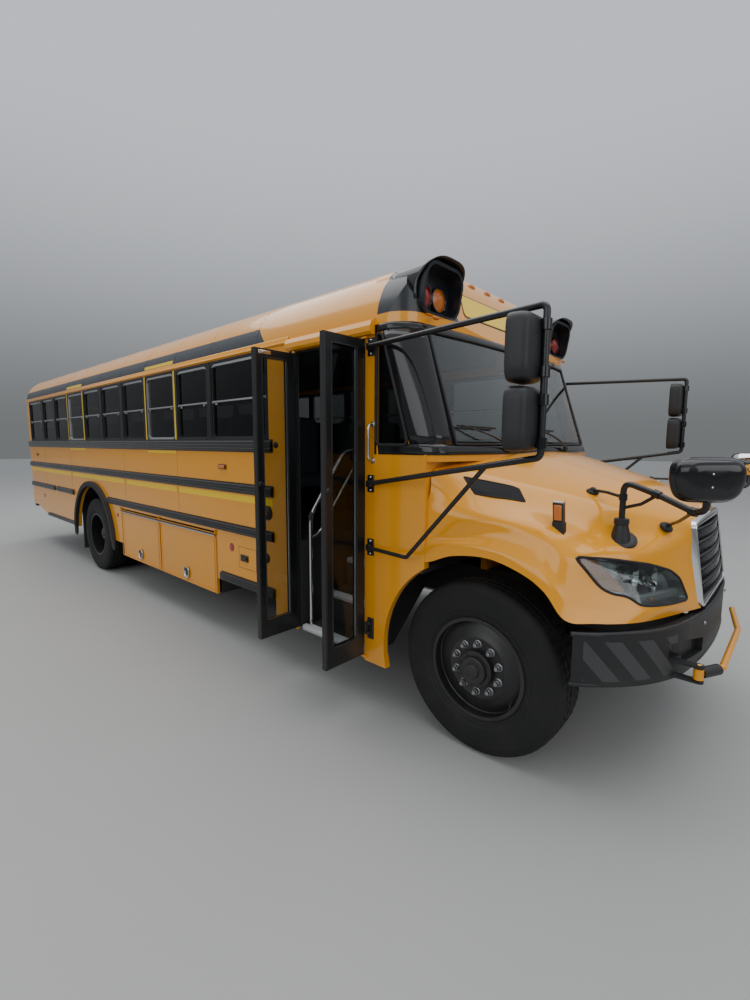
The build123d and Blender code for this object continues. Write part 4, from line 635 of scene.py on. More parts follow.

# %% [markdown]
# Each imported part is given its finish from one table. Where a later cell draws a part again, its
# new piece takes the place of the imported one. The finishes that come up again and again are named,
# each as a pair of a slot word and a material.

# %% Which node wears which finish
WEARERS = (
    (yellow, "side_wall_left side_wall_right roof cowl front_cap rear_wall rear_door hood "
             "crossing_arm hatch_left_front hatch_left_rear hatch_right_front hatch_right_rear"),
    (front_glass, "windshield"),
    (side_glass, "window_glass rear_door_glass"),
    (door_glass, "door_glass_front door_glass_rear"),
    (sash_metal, "window_frames"),
    (black_paint, "rub_rails grille rear_bumper mirror_arms door_leaf_front door_leaf_rear"),
    (rubber_seal, "wheel_flares"),
    (mat, "floor entrance_steps"),
    (chassis_paint, "luggage_bays chassis_frame leaf_springs front_axle rear_axle fuel_tank "
                    "engine_block knuckle_left knuckle_right"),
    (steel, "drive_line"),
    (white_lens, "headlamps"),
    (grained_plastic, "hood_mirrors front_bumper mirror_heads roof_hatches"),
    (seat_cover, "seats"),
    (cabin_plastic, "dashboard steering_wheel"),
    (stop_red, "stop_arm"),
    (amber_lens, "lamps"),
)
finish_of = {node: finish for finish, names in WEARERS for node in names.split()}
for side in ("left", "right"):
    finish_of[f"tire_front_{side}"], finish_of[f"rim_front_{side}"] = tyre, wheel_paint
    finish_of[f"tires_rear_{side}"], finish_of[f"rims_rear_{side}"] = tyre, wheel_paint
for node, finish in finish_of.items():
    slots = nodes[node].material_slots
    for slot in slots:
        slot.material = finish
    if not slots:
        nodes[node].data.materials.append(finish)
GRAINED, GLOSSY = ("dark_plastic", grained_plastic), ("dark_plastic", gloss_black)
BLACK, WHEEL, YELLOW = ("black_paint", black_paint), ("black_paint", wheel_paint), ("bus_yellow", yellow)
STEEL, BRIGHT, CHROME = ("steel", steel), ("steel", bright_steel), ("steel", chrome)
SEAL, AMBER_LENS = ("rubber", rubber_seal), ("lamp_plastic", amber_lens)
print(len(finish_of), "of", len(nodes), "packed nodes have a finish")

# %% [markdown]
# ## The hood
#
# A pressed hood is ruled by a few creases: the middle of the deck, its shoulder, the valley
# beside it, the top edge of the fender, the foot of the fender's side, and the lip round the
# wheel arch. Each crease is a smooth curve from the windshield to the grille. At every station
# between, the section is a chain of straight runs from crease to crease, and each corner is
# rounded by a quadratic arc. Two indices, station and place across, then make the whole skin.

# %% Curves through points and sections with rounded creases
def through(points, steps):
    """A smooth curve through points: between two of them runs a cubic, which leaves each in the
    direction from the point before it to the point after it."""
    points = np.asarray(points, float)
    ends = np.concatenate([2 * points[:1] - points[1:2], points, 2 * points[-1:] - points[-2:-1]])
    t = np.linspace(0, 1, steps, endpoint=False).reshape(1, steps, *[1] * (points.ndim - 1))
    before, first, second, after = (ends[i:len(ends) - 3 + i, None] for i in range(4))
    curve = first + .5 * ((second - before) * t + (2 * before - 5 * first + 4 * second - after) * t**2
                           + (3 * first - before - 3 * second + after) * t**3)
    return np.concatenate([curve.reshape(-1, *points.shape[1:]), points[-1:]])


def rounded_section(corners, radii, steps=6):
    """Sections through corners, one row of them for each station: each corner is a quadratic
    arc that starts and ends its radius away along the straight runs beside it."""
    made = [corners[:, :1]]
    t = np.linspace(0, 1, steps)[None, :, None]
    for i, radius in enumerate(radii, 1):
        if not radius:
            made.append(corners[:, i:i + 1])
            continue
        corner, back, on = corners[:, i], corners[:, i - 1] - corners[:, i], corners[:, i + 1] - corners[:, i]
        back_run, on_run = np.linalg.norm(back, axis=1), np.linalg.norm(on, axis=1)
        reach = np.minimum(radius, .45 * np.minimum(back_run, on_run))
        start, end = corner + back * (reach / back_run)[:, None], corner + on * (reach / on_run)[:, None]
        made.append((1 - t) ** 2 * start[:, None] + 2 * t * (1 - t) * corner[:, None] + t**2 * end[:, None])
    return np.concatenate(made + [corners[:, -1:]], axis=1)


# %% [markdown]
# The creases were measured in the photograph's own view, where each is a line of light or shade,
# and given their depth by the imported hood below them. They stand here as tables of places from
# the front axle: how far ahead, how far out, and how high.

# %% The hood's creases
# Each crease: x, distance from the middle, height, at ten stations from the windshield to the grille
CROWN = [(-.10, 0, 1.752), (-.03, 0, 1.747), (.04, 0, 1.735), (.14, 0, 1.710), (.32, 0, 1.655),
         (.48, 0, 1.606), (.62, 0, 1.558), (.76, 0, 1.505), (.87, 0, 1.452), (.922, 0, 1.415)]
SHOULDER = [(-.30, 1.165, 1.656), (-.21, 1.095, 1.644), (-.125, 1.03, 1.630), (.085, .925, 1.584),
            (.30, .82, 1.543), (.46, .755, 1.502), (.60, .69, 1.457), (.735, .55, 1.418), (.83, .46, 1.40),
            (.895, .40, 1.378)]
VALLEY = [(-.28, 1.19, 1.53), (-.19, 1.155, 1.523), (-.09, 1.12, 1.515), (.12, 1.03, 1.485),
          (.30, .95, 1.448), (.44, .90, 1.405), (.57, .82, 1.352), (.70, .68, 1.335), (.82, .53, 1.325),
          (.903, .40, 1.315)]
BROW = [(-.325, 1.20, 1.395), (-.22, 1.20, 1.410), (-.10, 1.19, 1.412), (.15, 1.165, 1.405),
        (.345, 1.125, 1.381), (.427, 1.12, 1.330), (.501, 1.10, 1.268), (.60, .99, 1.27),
        (.756, .775, 1.254), (.902, .40, 1.208)]
FOOT = [(-.38, 1.205, 1.26), (-.23, 1.195, 1.262), (-.077, 1.18, 1.274), (.132, 1.17, 1.317),
        (.338, 1.165, 1.269), (.41, 1.155, 1.231), (.50, 1.14, 1.150), (.66, .98, 1.09), (.80, .76, 1.08),
        (.925, .40, 1.08)]
LIP = [(-.42, 1.213, 1.165), (-.26, 1.213, 1.225), (-.10, 1.213, 1.253), (.15, 1.212, 1.243),
       (.33, 1.207, 1.185), (.45, 1.195, 1.115), (.54, 1.145, 1.035), (.69, 1.00, .998), (.84, .79, .990),
       (.946, .40, .966)]
HEM = [(-.445, 1.215, 1.102), (-.283, 1.215, 1.112), (-.111, 1.215, 1.177), (.108, 1.215, 1.199),
       (.30, 1.213, 1.152), (.42, 1.21, 1.082), (.522, 1.195, .962), (.63, 1.11, .949), (.79, .89, .938),
       (.958, .40, .925)]


def hood_sections():
    """The hood's half sections, middle to hem. Between crown and shoulder the deck is a dome:
    its distance from the middle grows evenly, while x and z fall with the square of it."""
    rows = [np.array(row, float) for row in (CROWN, SHOULDER, VALLEY, BROW, FOOT, LIP, HEM)]
    for row in rows:
        row[:, 0] += FRONT
    dome = [rows[0] + (rows[1] - rows[0]) * np.array([t * t, t, t * t]) for t in np.linspace(0, 1, 9)[1:-1]]
    net = np.stack([rows[0], *dome, *rows[1:]], axis=1)
    return rounded_section(through(net, 6), [0] * len(dome) + [.05, .06, .05, .05, .02])


half = hood_sections()
skin = np.concatenate([half[:, ::-1], half[:, 1:] * np.array([1, -1, 1])], axis=1)
hood_skin = grid(skin, flip=True)

# %% [markdown]
# Lamps and louvres follow the hood's own curve. Straight lines are sent at the skin and the place
# where each one meets it is kept, which is exact and needs no picking by eye. Openings are cut
# with Blender's own Boolean, because a real hood is pierced after it is pressed.

# %% Laying points on a surface, and cutting openings
def over(shape, points, axis, outermost=1):
    """Where lines along an axis, through points, meet a shape of quads: each quad is two
    triangles, a point lies in one if its three areal shares are all positive, and of all the
    hits the outermost one counts. Returns the points moved onto the shape."""
    corners, faces = shape
    faces = np.asarray(faces)
    tri = np.concatenate([faces[:, [0, 1, 2]], faces[:, [0, 2, 3]]])
    across = [k for k in range(3) if k != axis]
    a, b, c = (corners[tri[:, k]] for k in range(3))
    points = np.array(points, float)
    flat = points.reshape(-1, 3)
    px, py = flat[:, across[0], None], flat[:, across[1], None]

    def area(p, q):
        """Twice the area between an edge of every triangle and every point."""
        return ((q[:, across[0]] - p[:, across[0]]) * (py - p[:, across[1]])
                - (q[:, across[1]] - p[:, across[1]]) * (px - p[:, across[0]]))

    shares = np.stack([area(b, c), area(c, a), area(a, b)])
    total = shares.sum(0)
    whole = np.where(np.abs(total) < 1e-12, np.nan, total)
    inside = (shares / whole >= -1e-6).all(0)
    height = (shares[0] * a[:, axis] + shares[1] * b[:, axis] + shares[2] * c[:, axis]) / whole
    best = np.where(inside, height * outermost, -np.inf).max(1)
    flat[:, axis] = np.where(np.isfinite(best), best * outermost, flat[:, axis])
    return flat.reshape(points.shape)


def cut(made, cutters, smooth=30):
    """Cuts other objects out of a piece for good, and takes the cutters away."""
    for cutter in cutters:
        knife = made.modifiers.new("cut", "BOOLEAN")
        knife.operation, knife.object = "DIFFERENCE", cutter
    settled = bpy.data.meshes.new_from_object(made.evaluated_get(bpy.context.evaluated_depsgraph_get()))
    made.modifiers.clear()
    made.data = settled
    settled.shade_smooth()
    settled.set_sharp_from_angle(angle=math.radians(smooth))
    for cutter in cutters:
        bpy.data.objects.remove(cutter)


def knife(name, shape):
    """An object that only serves to cut others."""
    points, faces = shape
    mesh = bpy.data.meshes.new(name)
    mesh.from_pydata(np.asarray(points).tolist(), [], [list(face) for face in faces])
    made = bpy.data.objects.new(name, mesh)
    bpy.context.scene.collection.objects.link(made)
    return made


# %% [markdown]
# The skin is mirrored across the middle and gets a wall. Each headlamp's opening is cut by a
# block that has the lamp's outline, as a press would cut it. A small helper finds where a
# straight line meets the skin, so lamps and louvres can be laid on it later.

# %% Skin with its lamp openings
# The headlamp seen from the front: distance from the middle, and height
LAMP_OUTLINE = [(1.094, 1.256), (.943, 1.238), (.770, 1.203), (.618, 1.155), (.546, 1.104), (.519, .990),
                (.680, .998), (.839, 1.010), (.887, 1.016), (.916, 1.058), (.983, 1.074), (1.025, 1.105)]
LAMP_MIDDLE = np.array([.80, 1.110])


def closed_outline(corners, radius, count):
    """A closed outline with rounded corners, as evenly spaced points."""
    corners = np.asarray(corners, float)
    start = (corners[:1] + corners[-1:]) / 2
    path = rounded_path(np.concatenate([start, corners, start]), radius)
    run = np.concatenate([[0], np.cumsum(np.linalg.norm(np.diff(path, axis=0), axis=1))])
    even = np.linspace(0, run[-1], count, endpoint=False)
    return np.stack([np.interp(even, run, path[:, k]) for k in range(path.shape[1])], axis=1)


lamp_outline = closed_outline(LAMP_OUTLINE, .03, 96)


def on_hood(flat, lift=0.0):
    """Points given by distance from the middle and height, laid on the right fender's front."""
    flat = np.asarray(flat, float)
    points = spread(FRONT + 1.0, -flat[..., 0], flat[..., 1])
    return over(hood_skin, points, 0) + np.array([lift, 0, 0])


hood = piece("hood_skin", hood_skin, "hood_body", *YELLOW, wall=.012, smooth=28, replaces=("hood",))
ahead = spread(FRONT + 1.2, -lamp_outline[:, 0], lamp_outline[:, 1])
lamp_opening = slab(ahead, (-1, 0, 0), .85)
cut(hood, [knife("lamp_cut_right", lamp_opening), knife("lamp_cut_left", flipped_y(lamp_opening))])

# %% [markdown]
# ### Headlamps
#
# A lamp is a box of mirrors behind a clear cover. The cover is the fender's own surface, drawn
# in rings from the opening's edge to its middle, so it stays flush all the way round. Behind it
# stand a dark housing, two parabolic bowls with their bulbs, and an amber turn signal.

# %% Headlamps
def rings(outline, middle, shares):
    """Copies of an outline drawn in towards a middle, by shares of their distance from it."""
    return middle + (outline - middle) * np.asarray(shares, float)[:, None, None]


def bowl(centre, radius, depth, rows=10, segments=40):
    """A parabolic mirror that opens forwards: its depth falls with the square of the radius."""
    share = np.linspace(1, .02, rows)
    return turned(np.stack([-depth * (1 - share**2), radius * share], 1), centre, "x", segments)


def ball(centre, radius, stretch=(1, 1, 1), rows=12, segments=24):
    """A ball, drawn out along each axis."""
    lean = np.linspace(.001, math.pi - .001, rows)
    turn = np.linspace(0, 2 * math.pi, segments, endpoint=False)
    around = spread(np.sin(lean)[:, None] * np.cos(turn), np.sin(lean)[:, None] * np.sin(turn),
                    np.cos(lean)[:, None])
    return grid(np.asarray(centre) + around * radius * np.asarray(stretch), wrap_v=True)


def both(name, shape, *rest, **more):
    """A piece made of a shape on the right and its mirror image on the left."""
    return piece(name, both_sides(shape), *rest, **more)


cover_shares = np.array([1.0, .96, .9, .8, .65, .5, .35, .2, .08])
cover = on_hood(rings(lamp_outline, LAMP_MIDDLE, cover_shares * .992), .002)
even = on_hood(LAMP_MIDDLE, .012) + (cover[0] - on_hood(LAMP_MIDDLE, .012)) * cover_shares[:, None, None]
cover = cover * .6 + even * .4
both("headlamp_covers", grid(cover, wrap_v=True), "hood_body", "glass", front_glass, wall=.003,
     replaces=("headlamps",))
inner = np.concatenate([cover[:1] - [.010, 0, 0], cover[:1] - [.075, 0, 0], cover[3:] - [.110, 0, 0]])
both("headlamp_housings", grid(inner, wrap_v=True), "hood_body", "dark_plastic", satin_chrome)
for label, (y, z, radius, back) in {"outer": (.800, 1.125, .066, .050),
                                    "inner": (.685, 1.100, .070, .045)}.items():
    face = on_hood((y, z), -back)
    both(f"headlamp_bowls_{label}", bowl(face, radius, .06), "hood_body", *CHROME)
    both(f"headlamp_bulbs_{label}", ball(face - [.028, 0, 0], .020), "hood_body", "glass", white_lens)
lamp_strip = np.stack([np.linspace(.56, .87, 24), np.full(24, 1.032)], 1)
rail = on_hood(lamp_strip, -.035)
both("headlamp_strips", tube(rail, .020, 10, squash=1.4), "hood_body", "steel", satin_chrome)
both("headlamp_side_bulbs", ball(on_hood((.800, 1.032), -.016), .013), "hood_body", *AMBER_LENS)
wedge_outline = closed_outline([(1.078, 1.246), (1.000, 1.236), (.925, 1.110), (.905, 1.070), (.978, 1.085),
                                (1.022, 1.117)], .02, 48)
wedge = on_hood(rings(wedge_outline, np.array([.985, 1.150]), [1, .9, .7, .45, .2, .02]), -.014)
both("turn_signals", grid(wedge, wrap_v=True), "hood_body", *AMBER_LENS, wall=.004)
gasket = on_hood(lamp_outline, .001)
gasket = np.concatenate([gasket, gasket[:2]])
both("headlamp_gaskets", tube(gasket, .0065, 8), "hood_body", *SEAL)

# %% [markdown]
# ### Louvres
#
# Warm air leaves the engine bay through a louvred panel on each side of the deck. It is one
# surface between two curved edges, and a saw-tooth across it makes the slats, so no slat has to
# be placed on its own.

# %% Side louvres
TOP_EDGE = [(-.143, 1.060, 1.612), (-.03, 1.005, 1.592), (.088, .943, 1.567), (.135, .930, 1.552)]
LOW_EDGE = [(-.050, 1.089, 1.522), (.040, 1.055, 1.512), (.125, 1.010, 1.500), (.196, .975, 1.488)]


def louvres(rows=7, depth=.009):
    """A panel between two edges; across it, its height above the hood is a saw-tooth."""
    top, low = (through(edge, 8) * [1, -1, 1] + [FRONT, 0, 0] for edge in (TOP_EDGE, LOW_EDGE))
    share = np.repeat(np.linspace(0, 1, rows + 1), 2)[1:-1]
    lift = np.tile([depth, 0.0], rows) + .003
    lift[0] = lift[-1] = .001
    lie = top[None] + (low - top)[None] * share[:, None, None]
    out = np.cross(low - top, np.gradient(top, axis=0))
    out /= np.linalg.norm(out, axis=1)[:, None]
    out *= np.sign(out[:, 2])[:, None]
    return lie + out[None] * lift[:, None, None]


vent = louvres()
both("hood_louvres", grid(vent), "hood_body", *GRAINED, smooth=20)
border = np.concatenate([vent[0], vent[-1][::-1], vent[0][:2]])
both("hood_louvre_rims", tube(border, .005, 8), "hood_body", "dark_plastic", rubber_seal)

# %% [markdown]
# A small lamp stands on each fender: a foot, a frame, an amber lens and a bright cap. All four
# are one leaning box at different heights, so one function makes them.

# %% Lamps on the fenders
FENDER_LAMP = np.array([.41, -1.03, 1.375])


def upright_box(foot, half_x, half_y, bottom, top, lean=0.0):
    """A small upright box on a foot point; its top leans back."""
    x, y, z = foot
    points, faces = block(x - half_x, x + half_x, y - half_y, y + half_y, z + bottom, z + top)
    points[:, 0] -= (points[:, 2] - z) * lean
    return points, faces


for part, sizes, finish, soft in (("feet", (.030, .020, -.045, .035), GRAINED, .004),
                                  ("frames", (.027, .017, .035, .132), GLOSSY, .003),
                                  ("lenses", (.020, .021, .042, .122), AMBER_LENS, .004),
                                  ("caps", (.029, .019, .131, .141), CHROME, .003)):
    both(f"fender_lamp_{part}", upright_box(FENDER_LAMP, *sizes, .06), "hood_body", *finish, bevel=soft)

# %% [markdown]
# ## The front of the body
#
# Between the cowl and the cap the bus is wrapped in a black band, and the glass sits in it. Its
# surface is a stack of plan curves: straight along the side, an arc round the corner, and a
# long arc across the front. The plan at the cowl and the plan at the eaves are joined by
# straight lines, so any point is a share of the way between the two.

# %% The front as a surface between two plans
COWL_Z, EAVE_Z = 1.740, 2.525
LOW_PLAN = {"nose": -.115, "corner": (-.210, 1.085), "side": -.350}
HIGH_PLAN = {"nose": -.395, "corner": (-.455, 1.040), "side": -.610}
HALF = 1.219
REAR_EDGE = -.785


def arc(start, through_point, end, share):
    """Points on the circle through three points, by share of the way from start to end."""
    (ax, ay), (bx, by), (cx, cy) = start, through_point, end
    twice = 2 * (ax * (by - cy) + bx * (cy - ay) + cx * (ay - by))
    ox = ((ax**2 + ay**2) * (by - cy) + (bx**2 + by**2) * (cy - ay) + (cx**2 + cy**2) * (ay - by)) / twice
    oy = ((ax**2 + ay**2) * (cx - bx) + (bx**2 + by**2) * (ax - cx) + (cx**2 + cy**2) * (bx - ax)) / twice
    first, middle, last = (math.atan2(y - oy, x - ox) for x, y in (start, through_point, end))
    sweep = (last - first) % (2 * math.pi)
    if (middle - first) % (2 * math.pi) > sweep:
        sweep -= 2 * math.pi
    angle = first + sweep * share
    radius = math.hypot(ax - ox, ay - oy)
    return np.stack([ox + radius * np.cos(angle), oy + radius * np.sin(angle)], -1)


def plan_point(plan, share):
    """A point of a plan on the right side: 0 to 1 along the side, 1 to 2 round the corner, and
    2 to 3 from the corner across the whole front."""
    corner_x, corner_y = plan["corner"]
    knee = ((corner_x + plan["side"]) / 2 + .035, -(HALF + corner_y) / 2 - .025)
    side = np.stack([REAR_EDGE + (plan["side"] - REAR_EDGE) * share, np.full_like(share, -HALF)], -1)
    bend = arc((plan["side"], -HALF), knee, (corner_x, -corner_y), share - 1)
    front = arc((corner_x, -corner_y), (plan["nose"], 0), (corner_x, corner_y), share - 2)
    return np.where((share <= 1)[..., None], side, np.where((share <= 2)[..., None], bend, front))


def front_skin(share, height, lift=0.0):
    """Points on the front's skin, raised by a lift: each lies on the line between the same
    share of the low plan and of the high plan."""
    share, height = np.broadcast_arrays(np.asarray(share, float), np.asarray(height, float))

    def flat(at_share, at_height):
        rise = ((at_height - COWL_Z) / (EAVE_Z - COWL_Z))[..., None]
        lie = plan_point(LOW_PLAN, at_share) * (1 - rise) + plan_point(HIGH_PLAN, at_share) * rise
        return np.concatenate([lie, at_height[..., None]], -1)

    here = flat(share, height)
    along = flat(share + .004, height) - flat(share - .004, height)
    up = flat(share, height + .004) - flat(share, height - .004)
    out = np.cross(along, up)
    out /= np.linalg.norm(out, axis=-1)[..., None]
    return here + out * np.asarray(lift)[..., None] + np.array([FRONT, 0, 0])


def share_at(x=None, y=None, height=COWL_Z):
    """The share of the plan that has a given x on the side, or a given y across the front."""
    trial = np.linspace(0, 1, 200) if x is not None else np.linspace(2, 3, 400)
    points = front_skin(trial, height)
    return np.interp(x + FRONT, points[:, 0], trial) if x is not None else np.interp(y, points[:, 1], trial)


def front_patch(low, high, left, right, columns, lift, rows=14):
    """A patch of the skin between two heights; its left and right edges are shares that may
    change with height, given at the bottom and the top."""
    height = np.linspace(low, high, rows)
    left, right = (np.linspace(*edge, rows) if isinstance(edge, tuple) else np.full(rows, edge)
                   for edge in (left, right))
    share = left[:, None] + (right - left)[:, None] * np.linspace(0, 1, columns)
    return grid(front_skin(share, height[:, None], lift), flip=True)

# %% [markdown]
# The windshield is bonded into a black band, and its edge is hidden by a rubber bead. The band
# and the glass are patches of one surface with different lifts, so they can't cross each other.
# The bead is a tube along the same edge.

# %% Black band, windshield and quarter windows
BAND_LOW, BAND_HIGH = 1.737, 2.524
GLASS_LOW, GLASS_HIGH, GLASS_HALF = 1.800, 2.478, 1.030
QUARTER_X = (-.418, -.635)
band_left = share_at(x=-.700, height=2.1)
quarter_low, quarter_high = share_at(x=QUARTER_X[0], height=1.79), share_at(x=QUARTER_X[1], height=2.47)
glass_low, glass_high = share_at(y=-GLASS_HALF, height=GLASS_LOW), share_at(y=-GLASS_HALF, height=GLASS_HIGH)
frit = bundle([
    front_patch(GLASS_LOW, GLASS_HIGH, (quarter_low, quarter_high), (glass_low, glass_high), 26, .003),
    front_patch(BAND_LOW, GLASS_LOW, band_left, 2.5, 50, .003, rows=4),
    front_patch(GLASS_HIGH, BAND_HIGH, band_left, 2.5, 50, .003, rows=4),
])
both("front_black_band", frit, "root", "black_paint", gloss_black, wall=.003, smooth=50)

shield_low, shield_high = 5 - glass_low, 5 - glass_high
shield = front_patch(GLASS_LOW - .01, GLASS_HIGH + .01, (glass_low - .01, glass_high - .01),
                     (shield_low + .01, shield_high + .01), 48, .0005, rows=20)
piece("windshield_glass", shield, "root", "glass", front_glass, wall=.005, smooth=60,
      replaces=("windshield",))


def seal(name, path, radius=.006, sides=8, body="root"):
    """A rubber bead along a path, on both sides of the bus."""
    return both(name, tube(path, radius, sides), body, *SEAL, smooth=60)


edge_rows = np.linspace(GLASS_LOW, GLASS_HIGH, 20)
edge_share = np.linspace(glass_low, glass_high, 20)
seal("windshield_side_seals", front_skin(edge_share, edge_rows, .003), .007)
across = np.linspace(glass_low, 5 - glass_low, 60)
piece("windshield_seals", bundle([tube(front_skin(across, GLASS_LOW, .003), .007, 8),
                                  tube(front_skin(np.linspace(glass_high, 5 - glass_high, 60), GLASS_HIGH,
                                                  .003), .007, 8)]), "root", *SEAL, smooth=60)
QUARTER_CORNERS = [(-.688, 1.795), (-.430, 1.795), (-.643, 2.468), (-.688, 2.468)]
quarter = closed_outline(QUARTER_CORNERS, .045, 90)
quarter_rim = spread(quarter[:, 0] + FRONT, -HALF - .002, quarter[:, 1])
seal("quarter_window_seals", np.concatenate([quarter_rim, quarter_rim[:2]]), .010)
# The band reaches forward of and behind the quarter window along the flat side
side_strip = [(-.702, BAND_LOW), (-.686, BAND_LOW), (-.686, BAND_HIGH), (-.702, BAND_HIGH)]
strip = np.array([[FRONT + x, -HALF - .003, z] for x, z in side_strip])
both("front_band_rear_edges", slab(strip, (0, 1, 0), .003), "root", "black_paint", gloss_black)

# %% [markdown]
# ### Wipers
#
# A wiper is a bent arm, a blade carrier that bows, and a rubber edge. All three are laid on the
# windshield's skin with a small lift, so they follow its curve.

# %% Wipers
WIPER_FOOT_Z, WIPER_TIP_Z = 1.775, 1.905
for label, foot, tip in (("right", -.52, -.97), ("left", .38, -.10)):
    y = np.linspace(foot, tip, 14)
    height = np.linspace(WIPER_FOOT_Z, WIPER_TIP_Z, 14)
    share = np.array([share_at(y=a, height=h) for a, h in zip(y, height)])
    arm_path = front_skin(share, height, .030 + .02 * np.sin(np.linspace(0, math.pi, 14)))
    piece(f"wiper_arm_{label}", tube(arm_path, np.linspace(.011, .006, 14), 8, squash=.6), "root", *BLACK)
    y = np.linspace(max(tip - .28, -1.0), tip + .33, 30)
    height = WIPER_TIP_Z - (y - tip) * .02
    share = np.array([share_at(y=a, height=h) for a, h in zip(y, height)])
    piece(f"wiper_blade_{label}", tube(front_skin(share, height, .020), .008, 6, squash=.8), "root", *SEAL)
    piece(f"wiper_edge_{label}", tube(front_skin(share, height, .009), .004, 6, squash=.6), "root", *SEAL)
    piece(f"wiper_pivot_{label}", turned([(0, .001), (0, .026), (.018, .024), (.026, .012), (.028, .001)],
                                         arm_path[0] - [.012, 0, .012], "x", 20), "root", *GRAINED)

# %% [markdown]
# ### Warning lamps, sign board and marker lamps on the cap
#
# Each pair of warning lamps sits in a visor. The visor is a half tube whose front edge reaches
# furthest at the top and draws back down its sides. The lamps are domes with a black rim. The
# board above the windshield is blank, with a black border.

# %% Cap
CAP_FOOT, CAP_SLOPE = np.array([-.399, 2.525]), np.array([-.161, .325])


def cap_front(y, height, lift=0.0):
    """Points on the cap's sloping front, raised square to it."""
    y, height = np.broadcast_arrays(np.asarray(y, float), np.asarray(height, float))
    x = CAP_FOOT[0] + CAP_SLOPE[0] * (height - CAP_FOOT[1]) / CAP_SLOPE[1]
    out = np.array([CAP_SLOPE[1], -CAP_SLOPE[0]]) / np.hypot(*CAP_SLOPE)
    return np.stack([FRONT + x + out[0] * lift, y, height + out[1] * lift], -1)


def cap_board(shrink, lift, thickness):
    """A round-cornered board on the cap's slope."""
    corners = [(-.60, 2.648), (.60, 2.648), (.535, 2.832), (-.535, 2.832)]
    outline = closed_outline(np.array(corners), .03, 80)
    middle = outline.mean(0)
    outline = middle + (outline - middle) * (1 - shrink / np.array([.56, .092]))
    return slab(cap_front(outline[:, 0], outline[:, 1], lift), (CAP_SLOPE[1], 0, -CAP_SLOPE[0]), thickness)


piece("cap_board_border", cap_board(0, -.002, .005), "root", *BLACK, bevel=.001)
piece("cap_board", cap_board(.010, -.001, .006), "root", "bus_yellow", sheet_yellow, bevel=.001)


def dome(centre, radius, rise, axis="x", rim=.008):
    """A domed lens facing along +axis: its rise falls off with the square of the radius."""
    share = np.linspace(0, 1, 9)
    profile = [(rise * (1 - s * s) + rim, max(radius * s, 1e-4)) for s in share] + [(0, radius), (0, 1e-4)]
    return turned(profile[::-1], centre, axis, 36)


def rim_ring(centre, radius, width, height, axis="x", segments=40):
    """A rounded ring about an axis."""
    turn = np.linspace(0, 2 * math.pi, 10, endpoint=False)
    profile = np.stack([height * (1 + np.sin(turn)) / 2, radius + width * np.cos(turn) / 2], 1)
    return turned(profile, centre, axis, segments, hole=True)


LAMP_Z = 2.705
for label, y, finish in (("red", 1.005, red_lens), ("amber", .850, amber_lens)):
    centre = at(-.500, -y, LAMP_Z)
    both(f"warning_lamps_{label}", dome(centre, .069, .022), "root", "lamp_plastic", finish,
         replaces=("lamps",) if label == "red" else ())
    both(f"warning_lamp_rims_{label}", rim_ring(centre, .074, .012, .014), "root", *GLOSSY)

turn = np.linspace(math.radians(-18), math.radians(198), 40)
visor_y, visor_z = .912, 2.728
across_turn = np.cos(turn)
squared = squarish(across_turn, .62)
raised = squarish(np.sin(turn), .75)
reach = np.linspace(0, 1, 12)[:, None]
lip = -.455 + .115 * np.clip(np.sin(turn), 0, 1) ** 1.1
back = np.full_like(turn, -.66)
visor = np.stack([FRONT + back + (lip - back) * reach, -visor_y + (.207 + .010 * reach) * squared,
                  visor_z + (.158 + .012 * reach**2) * raised + 0 * reach], -1)
both("warning_visors", grid(visor), "root", "black_paint", gloss_black, wall=.004, smooth=60)
for y in (-.230, 0, .230):
    centre = at(-.640, y, 2.962)
    points, faces = ball((0, 0, 0), 1, rows=10, segments=20)
    points = points * [.020, .050, .024] + centre
    piece(f"cap_marker_{round(y * 1000)}", (points, faces), "root", *AMBER_LENS)
points, faces = ball((0, 0, 0), 1, rows=10, segments=20)
both("cap_side_markers", (points * [.022, .010, .022] + at(-.605, -1.170, 2.650), faces), "root", *AMBER_LENS)
both("cap_low_markers", (points * [.014, .034, .012] + at(-.405, -1.000, 2.556), faces), "root", *AMBER_LENS)

# %% [markdown]
# ## Wheels
#
# A tyre is a profile carried round its axle. The profile holds the sidewall's bulge, the thin
# rings moulded on it, and the grooves between the tread's ribs. Radius then also depends on the
# angle, because short cuts across the ribs' edges repeat all round. The wheel's face is a dished
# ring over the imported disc, and each stud gets its washer, its nut and the end of its bolt.

# %% Tyres
AXLE_Z = .512
TREAD_HALF = .0995


def tyre_profile(grooves, depth):
    """Distance from the tyre's middle plane and radius, from the inner bead to the outer one;
    grooves are given by where they run and their half width."""
    side = np.array([(.1135, .2925), (.1195, .2990), (.1240, .3080), (.1262, .3170), (.1290, .3200),
                     (.1300, .3300), (.1345, .3480), (.1354, .3492), (.1356, .3512), (.1370, .3680),
                     (.1388, .3900), (.1394, .4100), (.1389, .4330), (.1370, .4520), (.1376, .4536),
                     (.1372, .4556), (.1338, .4670), (.1328, .4700), (.1330, .4718), (.1290, .4800),
                     (.1276, .4840), (.1280, .4860), (.1220, .4950), (.1160, .5010), (.1080, .5050),
                     (.1020, .5072)])
    tread = [(TREAD_HALF, .5088)]
    for place, half in sorted(grooves, reverse=True):
        crown = .5118 - .25 * place**2
        tread += [(place + half, crown), (place + half * .72, crown - depth),
                  (place - half * .72, crown - depth), (place - half, crown)]
    half_tread = np.array(tread)
    centre = half_tread[half_tread[:, 0] > 0] if grooves[-1][0] else half_tread
    outer = np.concatenate([side, centre])
    mirrored_half = outer[::-1] * [-1, 1]
    return np.concatenate([outer, mirrored_half])[::-1]


